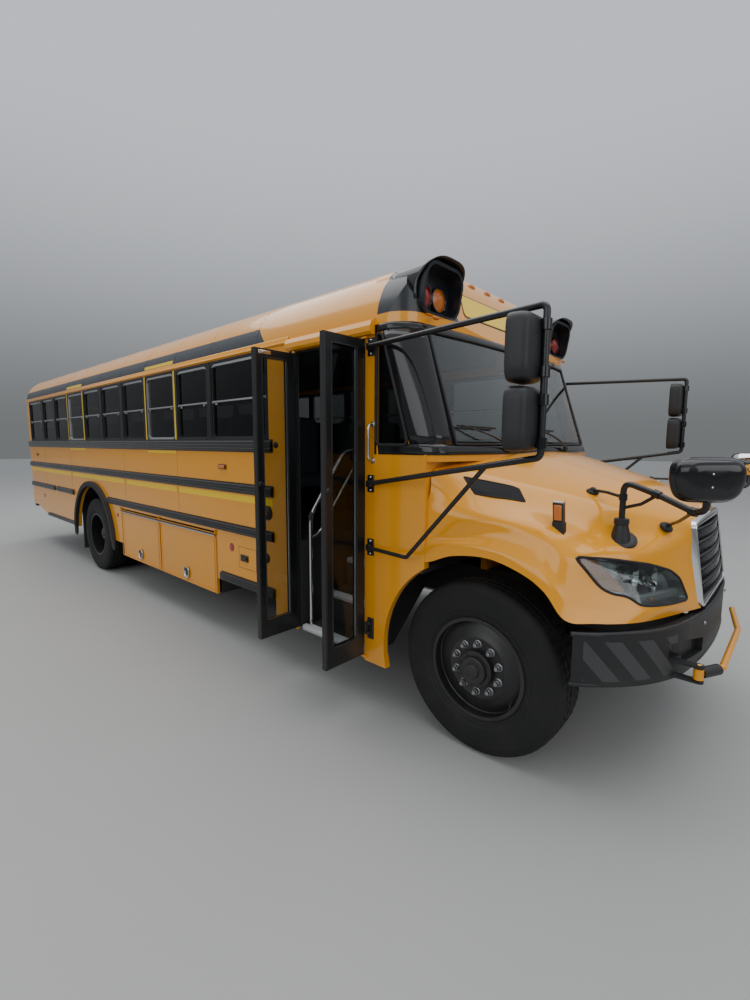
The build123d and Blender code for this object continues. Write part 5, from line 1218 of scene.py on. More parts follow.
def tyre_shape(middle, x, grooves, depth, cut_depth, cuts, segments=192):
    """A tyre with its axle along Y: cuts repeat round it, across the edges of its ribs."""
    profile = tyre_profile(grooves, depth)
    across, radius = profile.T
    turn = np.linspace(0, 2 * math.pi, segments, endpoint=False)
    cut_here = (np.arange(segments) % (segments // cuts) == 0).astype(float)
    on_tread = ((np.abs(across) <= TREAD_HALF) & (radius > .5)).astype(float)
    on_edge = on_tread * (np.abs(across) > .03)
    reach = radius[:, None] - cut_depth * on_edge[:, None] * cut_here[None]
    shape = spread(FRONT + x + reach * np.sin(turn), middle + across[:, None], AXLE_Z + reach * np.cos(turn))
    inner = shape[[0, -1]] - [FRONT + x, 0, AXLE_Z]
    inner = inner * [.990, 1, .990] + [FRONT + x, 0, AXLE_Z]
    return grid(np.concatenate([inner[:1], shape, inner[1:]]), wrap_u=True, wrap_v=True)

# %% [markdown]
# Steering tyres have shallow ribs and the drive tyres deep blocks. Both come from the same
# formula with other grooves, and a rear wheel is two of them side by side. The right side is the
# left one mirrored.

# %% Steering tyres and pairs of drive tyres
STEER_GROOVES = [(.0720, .0055), (.0250, .0060)]
DRIVE_GROOVES = [(.0660, .0060), (.0220, .0070)]
FRONT_MIDDLE, OUTER_MIDDLE, INNER_MIDDLE = .99, 1.060, .738
REAR_X = -6.071
steer_tyre = tyre_shape(FRONT_MIDDLE, 0, STEER_GROOVES, .013, .005, 64)
drive_tyres = bundle([tyre_shape(middle, REAR_X, DRIVE_GROOVES, .016, .010, 48)
                      for middle in (OUTER_MIDDLE, INNER_MIDDLE)])


def each_side(name, shape, body, *rest, replaces=None, **more):
    """A shape drawn on the left, as one piece on each side's own body."""
    for side, form in (("left", shape), ("right", flipped_y(shape))):
        hidden = (replaces.format(side),) if replaces else ()
        piece(f"{name}_{side}", form, body.format(side), *rest, replaces=hidden, **more)


each_side("tyre_front", steer_tyre, "wheel_front_{}", "tire_rubber", tyre, replaces="tire_front_{}",
          smooth=24)
each_side("tyres_rear", drive_tyres, "wheel_rear_{}", "tire_rubber", tyre, replaces="tires_rear_{}",
          smooth=24)

# %% [markdown]
# Ten nuts hold a wheel, on a ring 285.75 mm across. The dished face, the nuts and the stepped hub
# are all profiles turned about the axle. The nuts are turned with six sides, which is what makes
# them hexagons.

# %% Wheel faces, nuts and hub caps
STUD_RING, STUD_COUNT = .142875, 10
CAP_BOLT_RING = .0915


def revolved(profile, x, segments=72, hole=True):
    """A profile of distance from the middle of the bus and radius, about an axle."""
    return turned(profile, at(x, 0, AXLE_Z), "y", segments, hole)


def wheel_face(x, face, join):
    """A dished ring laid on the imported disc: flat round the hub, a bead, and a cone out to the
    barrel, where it turns up into a small fillet."""
    rise = join - face
    front = [(face + .0015, .112), (face + .0015, .170), (face + .0030, .1755), (face + .0028, .1805),
             (face + .0010 + rise * .05, .186), (face + .0015 + rise * .42, .222),
             (face + .0015 + rise * .85, .262), (join + .0025, .2715), (join + .0065, .2765)]
    rear = [(a - .0013, r + .0002) for a, r in front[::-1]]
    return revolved(np.array(front + rear), x)


def nuts(x, face, length=.038):
    """Ten flanged nuts: a washer, a six-sided nut that narrows at its end, and the bolt's end."""
    made = []
    for turn in np.arange(STUD_COUNT) * 2 * math.pi / STUD_COUNT:
        centre = at(x + STUD_RING * math.sin(turn), 0, AXLE_Z + STUD_RING * math.cos(turn))
        washer = [(face, .0001), (face, .0245), (face + .003, .0245), (face + .006, .020),
                  (face + .006, .0001)]
        nut = [(face + .004, .0001), (face + .004, .0195), (face + .022, .0195), (face + .0255, .0170),
               (face + .0255, .0001)]
        bolt = [(face + .02, .0001), (face + .02, .0115), (face + length, .0115),
                (face + length + .002, .0095), (face + length + .002, .0001)]
        made += [turned(washer, centre, "y", 20), turned(nut, centre, "y", 6), turned(bolt, centre, "y", 14)]
    return bundle(made)


def hub_cap(x, end, reach):
    """The hub's end: a stepped drum, an oil cap in its middle, and eight small bolts round it."""
    drum = [(end - .02, .0001), (end - .02, .1065), (end - .002, .1065), (end + .002, .1025),
            (end + .003, .082), (end + reach, .0775), (end + reach + .003, .073),
            (end + reach + .003, .044), (end + reach + .013, .040), (end + reach + .016, .034),
            (end + reach + .016, .0001)]
    made = [turned(drum, at(x, 0, AXLE_Z), "y", 56)]
    for turn in np.arange(8) * math.pi / 4 + .2:
        centre = at(x + CAP_BOLT_RING * math.sin(turn), 0, AXLE_Z + CAP_BOLT_RING * math.cos(turn))
        made.append(turned([(end, .0001), (end, .0075), (end + .007, .0075), (end + .0085, .006),
                            (end + .0085, .0001)], centre, "y", 6))
    return bundle(made)


def lip(x, middle, out=1):
    """The rolled edge of a rim: a rounded ring that curls out over the tyre's bead."""
    turn = np.linspace(0, 2 * math.pi, 14, endpoint=False)
    edge = middle + out * (.1145 + .0075)
    profile = np.stack([edge + .0055 * np.cos(turn), .2925 + .0075 * np.sin(turn)], 1)
    return revolved(profile, x, 96)


FRONT_FACE, REAR_FACE = 1.090, .91
each_side("wheel_face_front", wheel_face(0, FRONT_FACE, FRONT_FACE - .034), "wheel_front_{}", *WHEEL,
          smooth=40)
each_side("wheel_face_rear", wheel_face(REAR_X, REAR_FACE, REAR_FACE + .056), "wheel_rear_{}", *WHEEL,
          smooth=40)
each_side("wheel_nuts_front", nuts(0, FRONT_FACE + .0015), "wheel_front_{}", *STEEL)
each_side("wheel_nuts_rear", nuts(REAR_X, REAR_FACE + .0015), "wheel_rear_{}", *STEEL)
each_side("hub_cap_front", hub_cap(0, 1.126, .022), "wheel_front_{}", *WHEEL)
each_side("hub_cap_rear", hub_cap(REAR_X, 1.091, .022), "wheel_rear_{}", *WHEEL)
each_side("rim_lips_front", bundle([lip(0, FRONT_MIDDLE), lip(0, FRONT_MIDDLE, -1)]), "wheel_front_{}",
          *WHEEL, smooth=60)
each_side("rim_lips_rear", bundle([lip(REAR_X, OUTER_MIDDLE), lip(REAR_X, INNER_MIDDLE, -1)]),
          "wheel_rear_{}", *WHEEL, smooth=60)
for end, x, stem_y in (("front", 0, (1.062, 1.085, 1.108)), ("rear", REAR_X, (.975, 1.02, 1.07))):
    bent = zip((.20, .205, .212), stem_y, (.165, .172, .178))
    stem = bar([(x + ahead, y, AXLE_Z - drop) for ahead, y, drop in bent], [.005, .004, .004], 8)
    each_side(f"valve_{end}", stem, f"wheel_{end}_{{}}", *BRIGHT)

# %% [markdown]
# ## Sides and roof
#
# The flat sides get their relief here: ribbed rub rails, the drip rail, raised lap seams with
# their rivets, seals, latches and reflectors. The rivets are one small dome whose points are
# copied to hundreds of places by adding two arrays, with no loop over the places. Black pillars,
# the dark roof band and the cap's black corners are paint, so a mask in the paint makes them
# from heights and distances.

# %% Painted bands
def band(value, low, high, soft=.0015):
    """One between two values and zero outside them, with a sharp but smooth edge."""
    return value.ramp(low - soft, low + soft) * (1 - value.ramp(high - soft, high + soft))


EXIT_MIDDLES, EXIT_HALF = (-3.7875, -6.6175), .34
WINDOW_LOW, WINDOW_HIGH, SPLIT = 1.836, 2.505, 2.171
PILLAR_REAR, PILLAR_FRONT = -9.235, -1.835


def masked_paint(name, mask_of, dark, dark_roughness, inside_of=None):
    """Bus yellow that turns to a second colour wherever a mask says so, and to the cabin's grey
    on the faces that look into it."""
    kit = Kit(name)
    x, y, z = kit.split()
    mask = mask_of(x - FRONT, y, z)
    drift, film = kit.noise(.55, 3), road_film(kit)
    body = kit.mix(mask, kit.mix(drift, BUS_YELLOW, BUS_YELLOW_DEEP), dark)
    coat, rough = COAT - mask * COAT * .6, .16 + film * .45 + drift * .05 + mask * dark_roughness
    if inside_of:
        inside = inside_of(x - FRONT, y, z)
        body = kit.mix(inside, body, (.085, .09, .095))
        coat, rough = coat * (1 - inside), rough + inside * .25
        film = film * (1 - inside)
    kit.set(Base_Color=kit.mix(film, body, (.3, .21, .1)), Roughness=rough, Coat_Weight=coat,
            Coat_Roughness=.04)
    kit.bump(kit.noise(38, 2) + kit.noise(1.6, 2) * 2.5, .0006, .35)
    return kit.material


def pillar_mask(x, y, z):
    """The black band between and above the windows, and the doorway's rear jamb."""
    jamb = band(x, -1.550, -1.495) * (1 - z.ramp(2.462, 2.465)) * (1 - y.ramp(-.01, .01))
    return (band(z, 1.826, 2.530) * band(x, PILLAR_REAR, PILLAR_FRONT) + jamb).ramp(0, 1)


def behind_walls(_, y, __):
    """The faces of a wall that look into the cabin, 4 cm in from the side."""
    return 1 - y.math("ABSOLUTE").ramp(SIDE - .04, SIDE - .036)


def behind_cowl(x, y, z):
    """The same for the cowl, whose rear half only is cabin."""
    return behind_walls(x, y, z) * (1 - x.ramp(-.42, -.4)) * z.ramp(.42, .44)


def behind_rear(x, *_):
    """The faces of the back wall that look into the cabin."""
    return x.ramp(-9.352, -9.348)


def roof_mask(x, _, z):
    """The dark band along the roof's shoulder, cut slantwise at its front end."""
    return band(z, 2.583, 2.700) * (1 - (x + (z - 2.583) * .9).ramp(-1.872, -1.869))


def cap_mask(x, y, z):
    """The cap's black corners, which reach back further the nearer they are to the side."""
    wide = y.math("ABSOLUTE")
    reach = x - (1.1 - wide).ramp(0.0, 1.0) * .3
    return z.ramp(2.5815, 2.5845) * wide.ramp(.7035, .7065) * reach.ramp(-.6915, -.6885)


def plain_mask(*point):
    """No second colour anywhere."""
    return point[2].ramp(90, 91)

# %% [markdown]
# A mask is only a formula of place, so one function makes all five paints. The sashes are black
# with bare metal where hands and glass rub, which is the same idea again with metal as the second
# finish.

# %% Paints of the walls, the roof and the cap, and the window sashes
side_paint = masked_paint("side paint", pillar_mask, (.01, .01, .011), .1, behind_walls)
cowl_paint = masked_paint("cowl paint", plain_mask, (0, 0, 0), 0, behind_cowl)
rear_paint = masked_paint("rear paint", plain_mask, (0, 0, 0), 0, behind_rear)
roof_paint = masked_paint("roof paint", roof_mask, (.022, .027, .034), .22)
cap_paint = masked_paint("cap paint", cap_mask, (.011, .014, .019), .16)


def sash_finish():
    """Window sashes: black, with a bare aluminium top strip and split bar, and exits all bare."""
    kit = Kit("window sashes")
    x, y, z = kit.split()
    x = x - FRONT
    bare = band(z, SPLIT - .012, SPLIT + .009) + band(z, WINDOW_HIGH - .034, WINDOW_HIGH - .004)
    for middle in EXIT_MIDDLES:
        bare = bare + band(x, middle - .339, middle + .339)
    bare = bare.ramp(0, 1)
    grain = kit.noise(160, 3, stretch=(.05, 1, 1))
    kit.set(Base_Color=kit.mix(bare, (.013, .013, .014), (.62, .63, .64)), Metallic=bare,
            Roughness=.34 + grain * .1)
    kit.bump(grain, .0002, .3)
    return kit.material


for node, finish in {"side_wall_left": side_paint, "side_wall_right": side_paint, "roof": roof_paint,
                     "cowl": cowl_paint, "rear_wall": rear_paint,
                     "front_cap": cap_paint, "window_frames": sash_finish()}.items():
    nodes[node].material_slots[0].material = finish

# %% [markdown]
# A rub rail is a ribbed steel strip that takes the knocks of posts and kerbs. One outline, with
# its ribs as a cosine, is carried along the bus and drawn in at both ends. The drip rail above
# the windows is the same idea with a hooked outline.

# %% Rub rails and the drip rail
def moulding(x0, x1, outline, ends=.004):
    """A strip along the bus: an outline of distance out and height, drawn in at both ends."""
    outline = np.asarray(outline, float)
    x = np.array([x0, x0, x0 + ends, x1 - ends, x1, x1])
    scale = np.array([0, .72, 1, 1, .72, 0])
    middle = outline[:, 1].mean()
    out = outline[None, :, 0] * scale[:, None]
    z = middle + (outline[None, :, 1] - middle) * np.where(scale > 0, 1, .5)[:, None]
    points = spread(FRONT + x[:, None], SIDE - .001 + out, z)
    return grid(points, wrap_v=True, flip=True)


def ribs_between(z0, z1, count, out=.028, depth=.0065):
    """A rub rail's outline: a flange at each edge, and raised cosine ribs between them."""
    t = np.linspace(0, 1, 8 * count + 1)
    inner0, inner1 = z0 + .012, z1 - .012
    face = out - depth * (.5 - .5 * np.cos(2 * math.pi * count * t + math.pi)) ** 2
    front = np.stack([face, inner0 + t * (inner1 - inner0)], 1)
    return np.concatenate([[(0, z0), (.004, z0), (.005, z0 + .007), (out - .008, z0 + .009)], front,
                           [(out - .008, z1 - .009), (.005, z1 - .007), (.004, z1), (0, z1)]])


RAIL_ROWS = [(-9.370, -1.785, 1.728, 1.834, 3), (-9.370, -1.785, 1.373, 1.464, 3),
             (-5.470, -1.785, 1.011, 1.097, 3), (-9.350, -7.900, 1.011, 1.097, 3),
             (-7.780, -6.900, 1.011, 1.097, 3), (-2.620, -1.785, .54, .63, 3),
             (-8.390, -6.860, .54, .605, 2)]
rails = bundle([moulding(x0, x1, ribs_between(z0, z1, count)) for x0, x1, z0, z1, count in RAIL_ROWS])
piece("rub_rail_strips", both_sides(rails), "root", *BLACK, replaces=("rub_rails",), smooth=50)

DRIP = [(0, 2.529), (.016, 2.531), (.019, 2.534), (.019, 2.541), (.015, 2.544), (.011, 2.549), (.01, 2.571),
        (.006, 2.578), (0, 2.581)]
RAIL_LEFT, RAIL_RIGHT = moulding(-9.376, -.8, DRIP), flipped_y(moulding(-9.376, -1.560, DRIP))
piece("drip_rails", bundle([RAIL_LEFT, RAIL_RIGHT]), "root", *YELLOW, smooth=40)

# %% [markdown]
# The roof is made of bows with sheets riveted over them, so a raised lap shows at every bow. The
# roof's section is a shallow arc that meets a tight one at each shoulder. Distance round it is
# the second index, so rows of rivets are even.

# %% The roof's section, and rivets in rows
CROWN_HIGH, EAVE, SHOULDER, SHOULDER_OUT = 3.100, 2.525, .424, .795
CROWN = (SHOULDER_OUT**2 + (CROWN_HIGH - EAVE) ** 2 - SHOULDER**2) / (2 * (CROWN_HIGH - EAVE - SHOULDER))
LEAN = math.asin(SHOULDER_OUT / (CROWN - SHOULDER))
HALF_ARC = CROWN * LEAN + SHOULDER * (math.pi / 2 - LEAN)


def roof_at(s, lift=0.0):
    """The point and the outward direction at a distance s round the roof from its crown: a
    shallow arc, then a tight shoulder arc that meets it without a corner."""
    s = np.asarray(s, float)
    around = np.abs(s)
    on_crown = around <= CROWN * LEAN
    angle = np.where(on_crown, around / CROWN, LEAN + (around - CROWN * LEAN) / SHOULDER)
    radius = np.where(on_crown, CROWN, SHOULDER) + lift
    y = np.where(on_crown, 0, SHOULDER_OUT) + radius * np.sin(angle)
    z = np.where(on_crown, CROWN_HIGH - CROWN, EAVE) + radius * np.cos(angle)
    side = np.where(s < 0, -1, 1)
    return np.stack([y * side, z], -1), np.stack([np.sin(angle) * side, np.cos(angle)], -1)


def roof_points(x, s, lift=0.0):
    """Places on the roof for a row of x and a row of s, as rows by columns of points."""
    (yz, normal), x = roof_at(s, lift), np.asarray(x, float)
    shape = (len(x), len(yz))
    points = spread(FRONT + x[:, None], yz[:, 0], yz[:, 1])
    normals = spread(np.zeros(shape), normal[:, 0], normal[:, 1])
    return points, normals


def rivets(places, normals, radius=.0045, rise=.0022, sides=8):
    """Domes at many places at once: one set of rings is laid across two directions square to
    each normal, and added to each place."""
    places, normals = np.asarray(places, float).reshape(-1, 3), np.asarray(normals, float).reshape(-1, 3)
    spare = np.where(np.abs(normals[:, :1]) > .9, [[0.0, 1.0, 0.0]], [[1.0, 0.0, 0.0]])
    side = np.cross(normals, spare)
    side /= np.linalg.norm(side, axis=1)[:, None]
    up = np.cross(normals, side)
    turn = np.linspace(0, 2 * math.pi, sides, endpoint=False)
    ring, height = np.array([1.0, .86, .45, 1e-4]) * radius, np.array([-.001, rise * .6, rise * .95, rise])
    shape = (side[:, None, None] * (ring[:, None] * np.cos(turn))[None, ..., None]
             + up[:, None, None] * (ring[:, None] * np.sin(turn))[None, ..., None]
             + normals[:, None, None] * height[None, :, None, None] + places[:, None, None])
    local = np.array(grid(np.zeros((4, sides, 3)), wrap_v=True)[1])
    faces = (local[None] + (np.arange(len(places)) * 4 * sides)[:, None, None]).reshape(-1, 4)
    return shape.reshape(-1, 3), faces.tolist()

# %% [markdown]
# Rivets stand in two rows on every lap and along the seams of the sides. At a few millimetres
# they are what tells the eye how large the bus is, so they are real domes and not a bump.

# %% Laps, rivets and panel joints
BOWS = [-9.262, *(-3.4337 - .7075 * np.arange(8)[::-1]), -2.726, -2.000]
lift = np.array([-.002, .0012, .0012, -.002])
arc_s = np.linspace(-HALF_ARC + .058, HALF_ARC - .058, 81)
laps = []
for bow in BOWS:
    strips = [roof_points([bow + step], arc_s, height)[0]
              for step, height in zip((-.0225, -.0215, .0215, .0225), lift)]
    laps.append(grid(np.concatenate(strips), flip=True))
piece("roof_laps", bundle(laps), "root", "bus_yellow", roof_paint, smooth=50)
rivet_s = np.linspace(-HALF_ARC + .07, HALF_ARC - .07, 52)
rows_x = (np.array(BOWS)[:, None] + [-.013, .013]).ravel()
heads = [rivets(*roof_points(rows_x, rivet_s, .0012))]
edge_s = np.array([-1, 1]) * (HALF_ARC - .068)
heads.append(rivets(*roof_points(np.arange(-9.30, -1.62, .06), edge_s)))
piece("roof_rivets", bundle(heads), "root", "bus_yellow", roof_paint, smooth=60)


def on_side(x, z, lift=0.0):
    """Places on the right-hand side panel and their outward directions."""
    x, z = np.broadcast_arrays(np.asarray(x, float), np.asarray(z, float))
    places = spread(FRONT + x.ravel(), -SIDE - lift, z.ravel())
    return places, np.tile([0.0, -1.0, 0.0], (x.size, 1))


seam_z = np.arange(1.115, 1.365, .034)
PANEL_JOINTS = (-3.4337, -4.8487, -6.971, -8.386)
seams = [on_side(x + shift, heights) for heights in (seam_z, np.arange(1.480, 1.715, .036))
         for x in PANEL_JOINTS for shift in (-.012, .012)]
seams += [on_side(np.arange(-9.34, -1.80, .075), z) for z in (1.478, 1.716)]
seams += [on_side(-2.662, np.arange(.55, .99, .055)), on_side(-5.045, np.arange(.62, .99, .055)),
          on_side(np.arange(-5.40, -1.84, .085), .996)]
places, ways = (np.concatenate(part) for part in zip(*seams))
piece("side_rivets", both_sides(rivets(places, ways, .004, .0016)), "root", *YELLOW, smooth=60)
joints = [block(x - .0012, x + .0012, -SIDE - .0006, -SIDE + .001, low, high)
          for x in PANEL_JOINTS for low, high in ((1.100, 1.370), (1.467, 1.725))]
joints.append(block(-2.692, -2.6895, -SIDE - .0006, -SIDE + .001, .535, 1.008))
piece("panel_joints", both_sides(bundle(joints)), "root", "black_paint", rubber_seal)

# %% [markdown]
# Exits are outlined in reflective yellow, and each window sits in a rubber bead. The beads are
# one rounded rectangle with a small circle carried along it, made once for each window's width.

# %% Reflective strips and rubber beads
def side_sheet(x0, x1, z0, z1, out=.0018):
    """A thin sheet laid on the right-hand side."""
    return block(x0, x1, -SIDE + .001, -SIDE - out, z0, z1)


tape = [side_sheet(x0, x1, 1.303, 1.360) for x0, x1 in ((-9.350, -6.985), (-6.900, -4.880),
                                                        (-4.800, -3.470), (-3.410, -1.800))]
tape += [side_sheet(middle + side * .353 - .013, middle + side * .353 + .013, 1.838, 2.520, .0022)
         for middle in EXIT_MIDDLES for side in (-1, 1)]
tape += [side_sheet(middle - EXIT_HALF, middle + EXIT_HALF, 1.698, 1.724) for middle in EXIT_MIDDLES]
tape = bundle([both_sides(shape) for shape in tape])
brow_s = np.array([HALF_ARC - .062, HALF_ARC - .062, HALF_ARC - .078, HALF_ARC - .096, HALF_ARC - .096])
brow_lift = np.array([-.002, .0018, .0018, .0018, -.002])
brows = []
for middle in EXIT_MIDDLES:
    columns = [roof_points([middle - EXIT_HALF, middle + EXIT_HALF], [s], height)[0]
               for s, height in zip(brow_s, brow_lift)]
    brows.append(grid(np.concatenate(columns, 1)))
piece("reflective_strips", bundle([tape, *[both_sides(shape) for shape in brows]]), "root", "bus_yellow",
      sheet_yellow, bevel=.0004)

window_table = [(-2.284, .85), *[(-3.080 - .7075 * step, .675 if step in (1, 5) else .6)
                                 for step in range(8)], (-8.830, .77)]


def rounded_ring(middle, width, low, high, radius, out, thick, count=7):
    """A rubber bead round an opening in the right-hand side: a rounded rectangle of X and Z,
    with a small circle carried along it."""
    half = width / 2
    turn = np.linspace(0, math.pi / 2, count)
    corners = [(half - radius, high - radius, 0), (-half + radius, high - radius, 1),
               (-half + radius, low + radius, 2), (half - radius, low + radius, 3)]
    outline = np.concatenate([np.stack([x + radius * np.cos(turn + q * math.pi / 2),
                                        z + radius * np.sin(turn + q * math.pi / 2)], 1)
                              for x, z, q in corners])
    way = np.roll(outline, -1, 0) - np.roll(outline, 1, 0)
    way /= np.linalg.norm(way, axis=1)[:, None]
    across = np.stack([way[:, 1], -way[:, 0]], 1)
    round_ = np.linspace(0, 2 * math.pi, 8, endpoint=False)
    x = middle + outline[:, :1] + across[:, :1] * thick * np.cos(round_)
    z = outline[:, 1:] + across[:, 1:] * thick * np.cos(round_)
    y = -SIDE - out + np.broadcast_to(thick * .7 * np.sin(round_), x.shape)
    return grid(np.stack([FRONT + x, y, z], -1), wrap_u=True, wrap_v=True)

# %% [markdown]
# Between two windows stands a black pillar strip, except at the emergency exits. Its place
# follows from the table of windows: it fills the middle of each gap.

# %% Window seals, pillars and latches
beads = [rounded_ring(middle, width + .004, WINDOW_LOW, WINDOW_HIGH, .057, 0.0, .0045)
         for middle, width in window_table]
driver_bead = flipped_y(rounded_ring(-1.320, .824, WINDOW_LOW, WINDOW_HIGH, .057, 0.0, .0045))
piece("window_seals", bundle([*[both_sides(bead) for bead in beads], driver_bead]), "root", *SEAL, smooth=60)
mullions = []
fronts = sorted([middle - width / 2 for middle, width in window_table], reverse=True)
backs = sorted([middle + width / 2 for middle, width in window_table], reverse=True)
for rear_edge, front_edge in zip(backs[1:], fronts[:-1]):
    gap = front_edge - rear_edge
    if gap > .05 and not any(abs(abs((rear_edge + front_edge) / 2 - middle) - .35) < .06
                             for middle in EXIT_MIDDLES):
        mullions.append(side_sheet(rear_edge + gap * .22, front_edge - gap * .22, 1.842, 2.522, .0035))
piece("window_pillars", both_sides(bundle(mullions)), "root", *BLACK, bevel=.0015)
latches = [block(middle + side * (width / 2 - .075) - .018, middle + side * (width / 2 - .075) + .018,
                 -SIDE + .005, -SIDE + .018, SPLIT - .03, SPLIT - .012) for middle, width in window_table
           for side in (-1, 1)]
piece("window_latches", both_sides(bundle(latches)), "root", *STEEL, bevel=.003)

# %% [markdown]
# The luggage hatches hang from a long hinge. Their skins are packed flat, so the folded edge, the
# hinge's knuckle and leaf, and the paddle latch in its dish are added here. Each rides on its
# hatch, so it swings with it.

# %% Hatches: folded edges, hinges and paddle latches
HATCH_SPANS = {"rear": (-5.015, -3.921), "front": (-3.920, -2.701)}
HATCH_FACE = -1.2325


def paddle_latch(x, z):
    """A pressed latch: a shield-shaped dish with a rolled rim, and a paddle across its top."""
    turn = np.linspace(0, 2 * math.pi, 40, endpoint=False)
    wide = .052 * squarish(np.cos(turn), .55)
    tall = np.where(np.sin(turn) > 0, .058, .062) * squarish(np.sin(turn), .75)
    wide = wide * np.where(tall < 0, 1 - .3 * (tall / .062) ** 2, 1)
    rings = [(1.0, -.001), (1.0, .003), (.95, .0065), (.89, .006), (.84, .002), (.76, -.0002), (.4, -.0006),
             (.001, -.0006)]
    shape = [spread(FRONT + x + wide * scale, -1.233 - out, z + tall * scale) for scale, out in rings]
    return grid(np.array(shape), wrap_v=True, flip=True)


for end, (x0, x1) in HATCH_SPANS.items():
    corners = np.array([(x0 + .018, HATCH_FACE, .402), (x1 - .018, HATCH_FACE, .402),
                        (x1 - .018, HATCH_FACE, .938), (x0 + .018, HATCH_FACE, .938)])
    fold = [bar([start, (start + stop) / 2, stop], .0035, 8)
            for start, stop in zip(corners, np.roll(corners, -1, 0))]
    hinge = bar([(x, -1.2345, .958) for x in (x0 + .01, (x0 + x1) / 2, x1 - .01)], .0065, 10)
    leaf = block(x0 + .01, x1 - .01, -1.231, -1.2355, .936, .951)
    heads = rivets(*on_side(np.arange(x0 + .06, x1 - .03, .09), .9435, .0165), .0035, .0015)
    middle = x0 + (x1 - x0) * .51
    dish = paddle_latch(middle, .485)
    paddle = block(middle - .036, middle + .036, -1.2325, -1.2415, .498, .524)
    stem = block(middle - .008, middle + .008, -1.2325, -1.2390, .452, .5)
    for side, turn_over in (("right", lambda shape: shape), ("left", flipped_y)):
        body = f"hatch_{side}_{end}_body"
        piece(f"hatch_fold_{side}_{end}", turn_over(bundle(fold)), body, *YELLOW, smooth=60)
        piece(f"hatch_hinge_{side}_{end}", turn_over(hinge), body, *BLACK, smooth=60)
        piece(f"hatch_leaf_{side}_{end}", turn_over(bundle([leaf, heads])), body, "aluminium_sash",
              sash_metal, bevel=.0008)
        piece(f"hatch_latch_{side}_{end}", turn_over(dish), body, *BRIGHT, smooth=40)
        piece(f"hatch_paddle_{side}_{end}", turn_over(bundle([paddle, stem])), body, *BLACK, bevel=.004)

# %% [markdown]
# Round fittings are one domed button at other sizes. The amber markers are a lens block on a base
# block, with a bevel to soften both.

# %% Side markers, reflectors and the small fittings by the door
def button(x, z, radius, rise, rim=.004, side=-1):
    """A domed disc on the side: a short wall, a rounded shoulder and a shallow cap."""
    profile = [(side * (SIDE - .001), radius), (side * (SIDE + rim * .6), radius),
               (side * (SIDE + rim), radius * .95), (side * (SIDE + rim + rise * .6), radius * .62),
               (side * (SIDE + rim + rise), radius * .2), (side * (SIDE + rim + rise), .0001)]
    return turned(profile, at(x, 0, z), "y", 32)


reflectors = bundle([both_sides(button(x, z, radius, .003)) for x, z, radius in
                     ((-2.431, .878, .038), (-5.160, .884, .026), (-8.62, .878, .038))])
piece("red_reflectors", reflectors, "root", "stop_red", red_lens, smooth=40)
SIDE_MARKERS = (-2.545, -8.9)
marker_base = bundle([both_sides(block(x - .064, x + .064, -SIDE, -SIDE - .012, 1.572, 1.616))
                      for x in SIDE_MARKERS])
marker_lens = bundle([both_sides(block(x - .054, x + .054, -SIDE - .01, -SIDE - .024, 1.578, 1.610))
                      for x in SIDE_MARKERS])
piece("side_marker_bases", marker_base, "root", *GRAINED, bevel=.006)
piece("side_marker_lenses", marker_lens, "root", *AMBER_LENS, bevel=.01)
pull = bundle([block(-2.284, -2.168, -SIDE, -SIDE - .01, .779, .838),
               block(-2.268, -2.184, -SIDE - .006, -SIDE - .018, .796, .822)])
piece("panel_pull", pull, "root", "black_paint", gloss_black, bevel=.006)
slits = [block(-2.315, -2.05, -SIDE - .0008, -SIDE + .001, z, z + .003) for z in (.902, .716)]
slits += [block(x - .0015, x + .0015, -SIDE - .0008, -SIDE + .001, .716, .902) for x in (-2.315, -2.05)]
piece("panel_slits", bundle(slits), "root", "black_paint", rubber_seal)
for name, place, finish in (("alarm_cup", (-1.867, 1.243, .058, .026, .014), GRAINED),
                            ("alarm_core", (-1.867, 1.243, .03, .006, .04), BRIGHT),
                            ("door_lock_cup", (-1.895, .867, .04, .01, .008), GRAINED),
                            ("door_lock", (-1.895, .867, .02, .006, .02), BRIGHT)):
    piece(name, button(*place), "root", *finish, smooth=40)

# %% [markdown]
# A circle carried round an arc makes the rolled lip of the rear wheel arch, and each end is drawn
# in to a point.

# %% Wheel-arch lips: a rounded rubber edge round each rear flare
FLARE_Z, FLARE_R = .466, .77
angle = np.linspace(math.radians(-4.5), math.radians(184.5), 60)
rounds = np.linspace(0, 2 * math.pi, 12, endpoint=False)
across = FLARE_R + .033 * np.cos(rounds)
out = SIDE + .02 + .026 * np.sin(rounds)
lip_x, lip_z = FRONT + REAR_X + across * np.cos(angle[:, None]), FLARE_Z + across * np.sin(angle[:, None])
lip_shape = spread(lip_x, -out, lip_z)
lip_shape[[0, -1], :, 1:] = lip_shape[[0, -1]].mean(1, keepdims=True)[..., 1:]
piece("arch_lips", both_sides(grid(lip_shape, wrap_v=True)), "root", "rubber", grained_plastic, smooth=60)

# %% [markdown]
# ## Nose
#
# The grille fills the open front of the hood: a chrome frame that follows its edge, a dark mesh
# well behind it, bars across, and hundreds of slanting teeth that are one small block added to a
# table of places. The bumper's corner stripes are paint. The mirrors get domed housings, glass
# on the side that faces the driver, clamps and rubber feet.

# %% Grille
def grille_face(y, z):
    """X of the grille's front: it leans forward towards the foot, and bows forward in the middle."""
    bow = (np.asarray(y, float) / .4) ** 2
    return FRONT + .922 - .024 * bow + (1.400 - np.asarray(z, float)) * (.131 + .009 * bow)


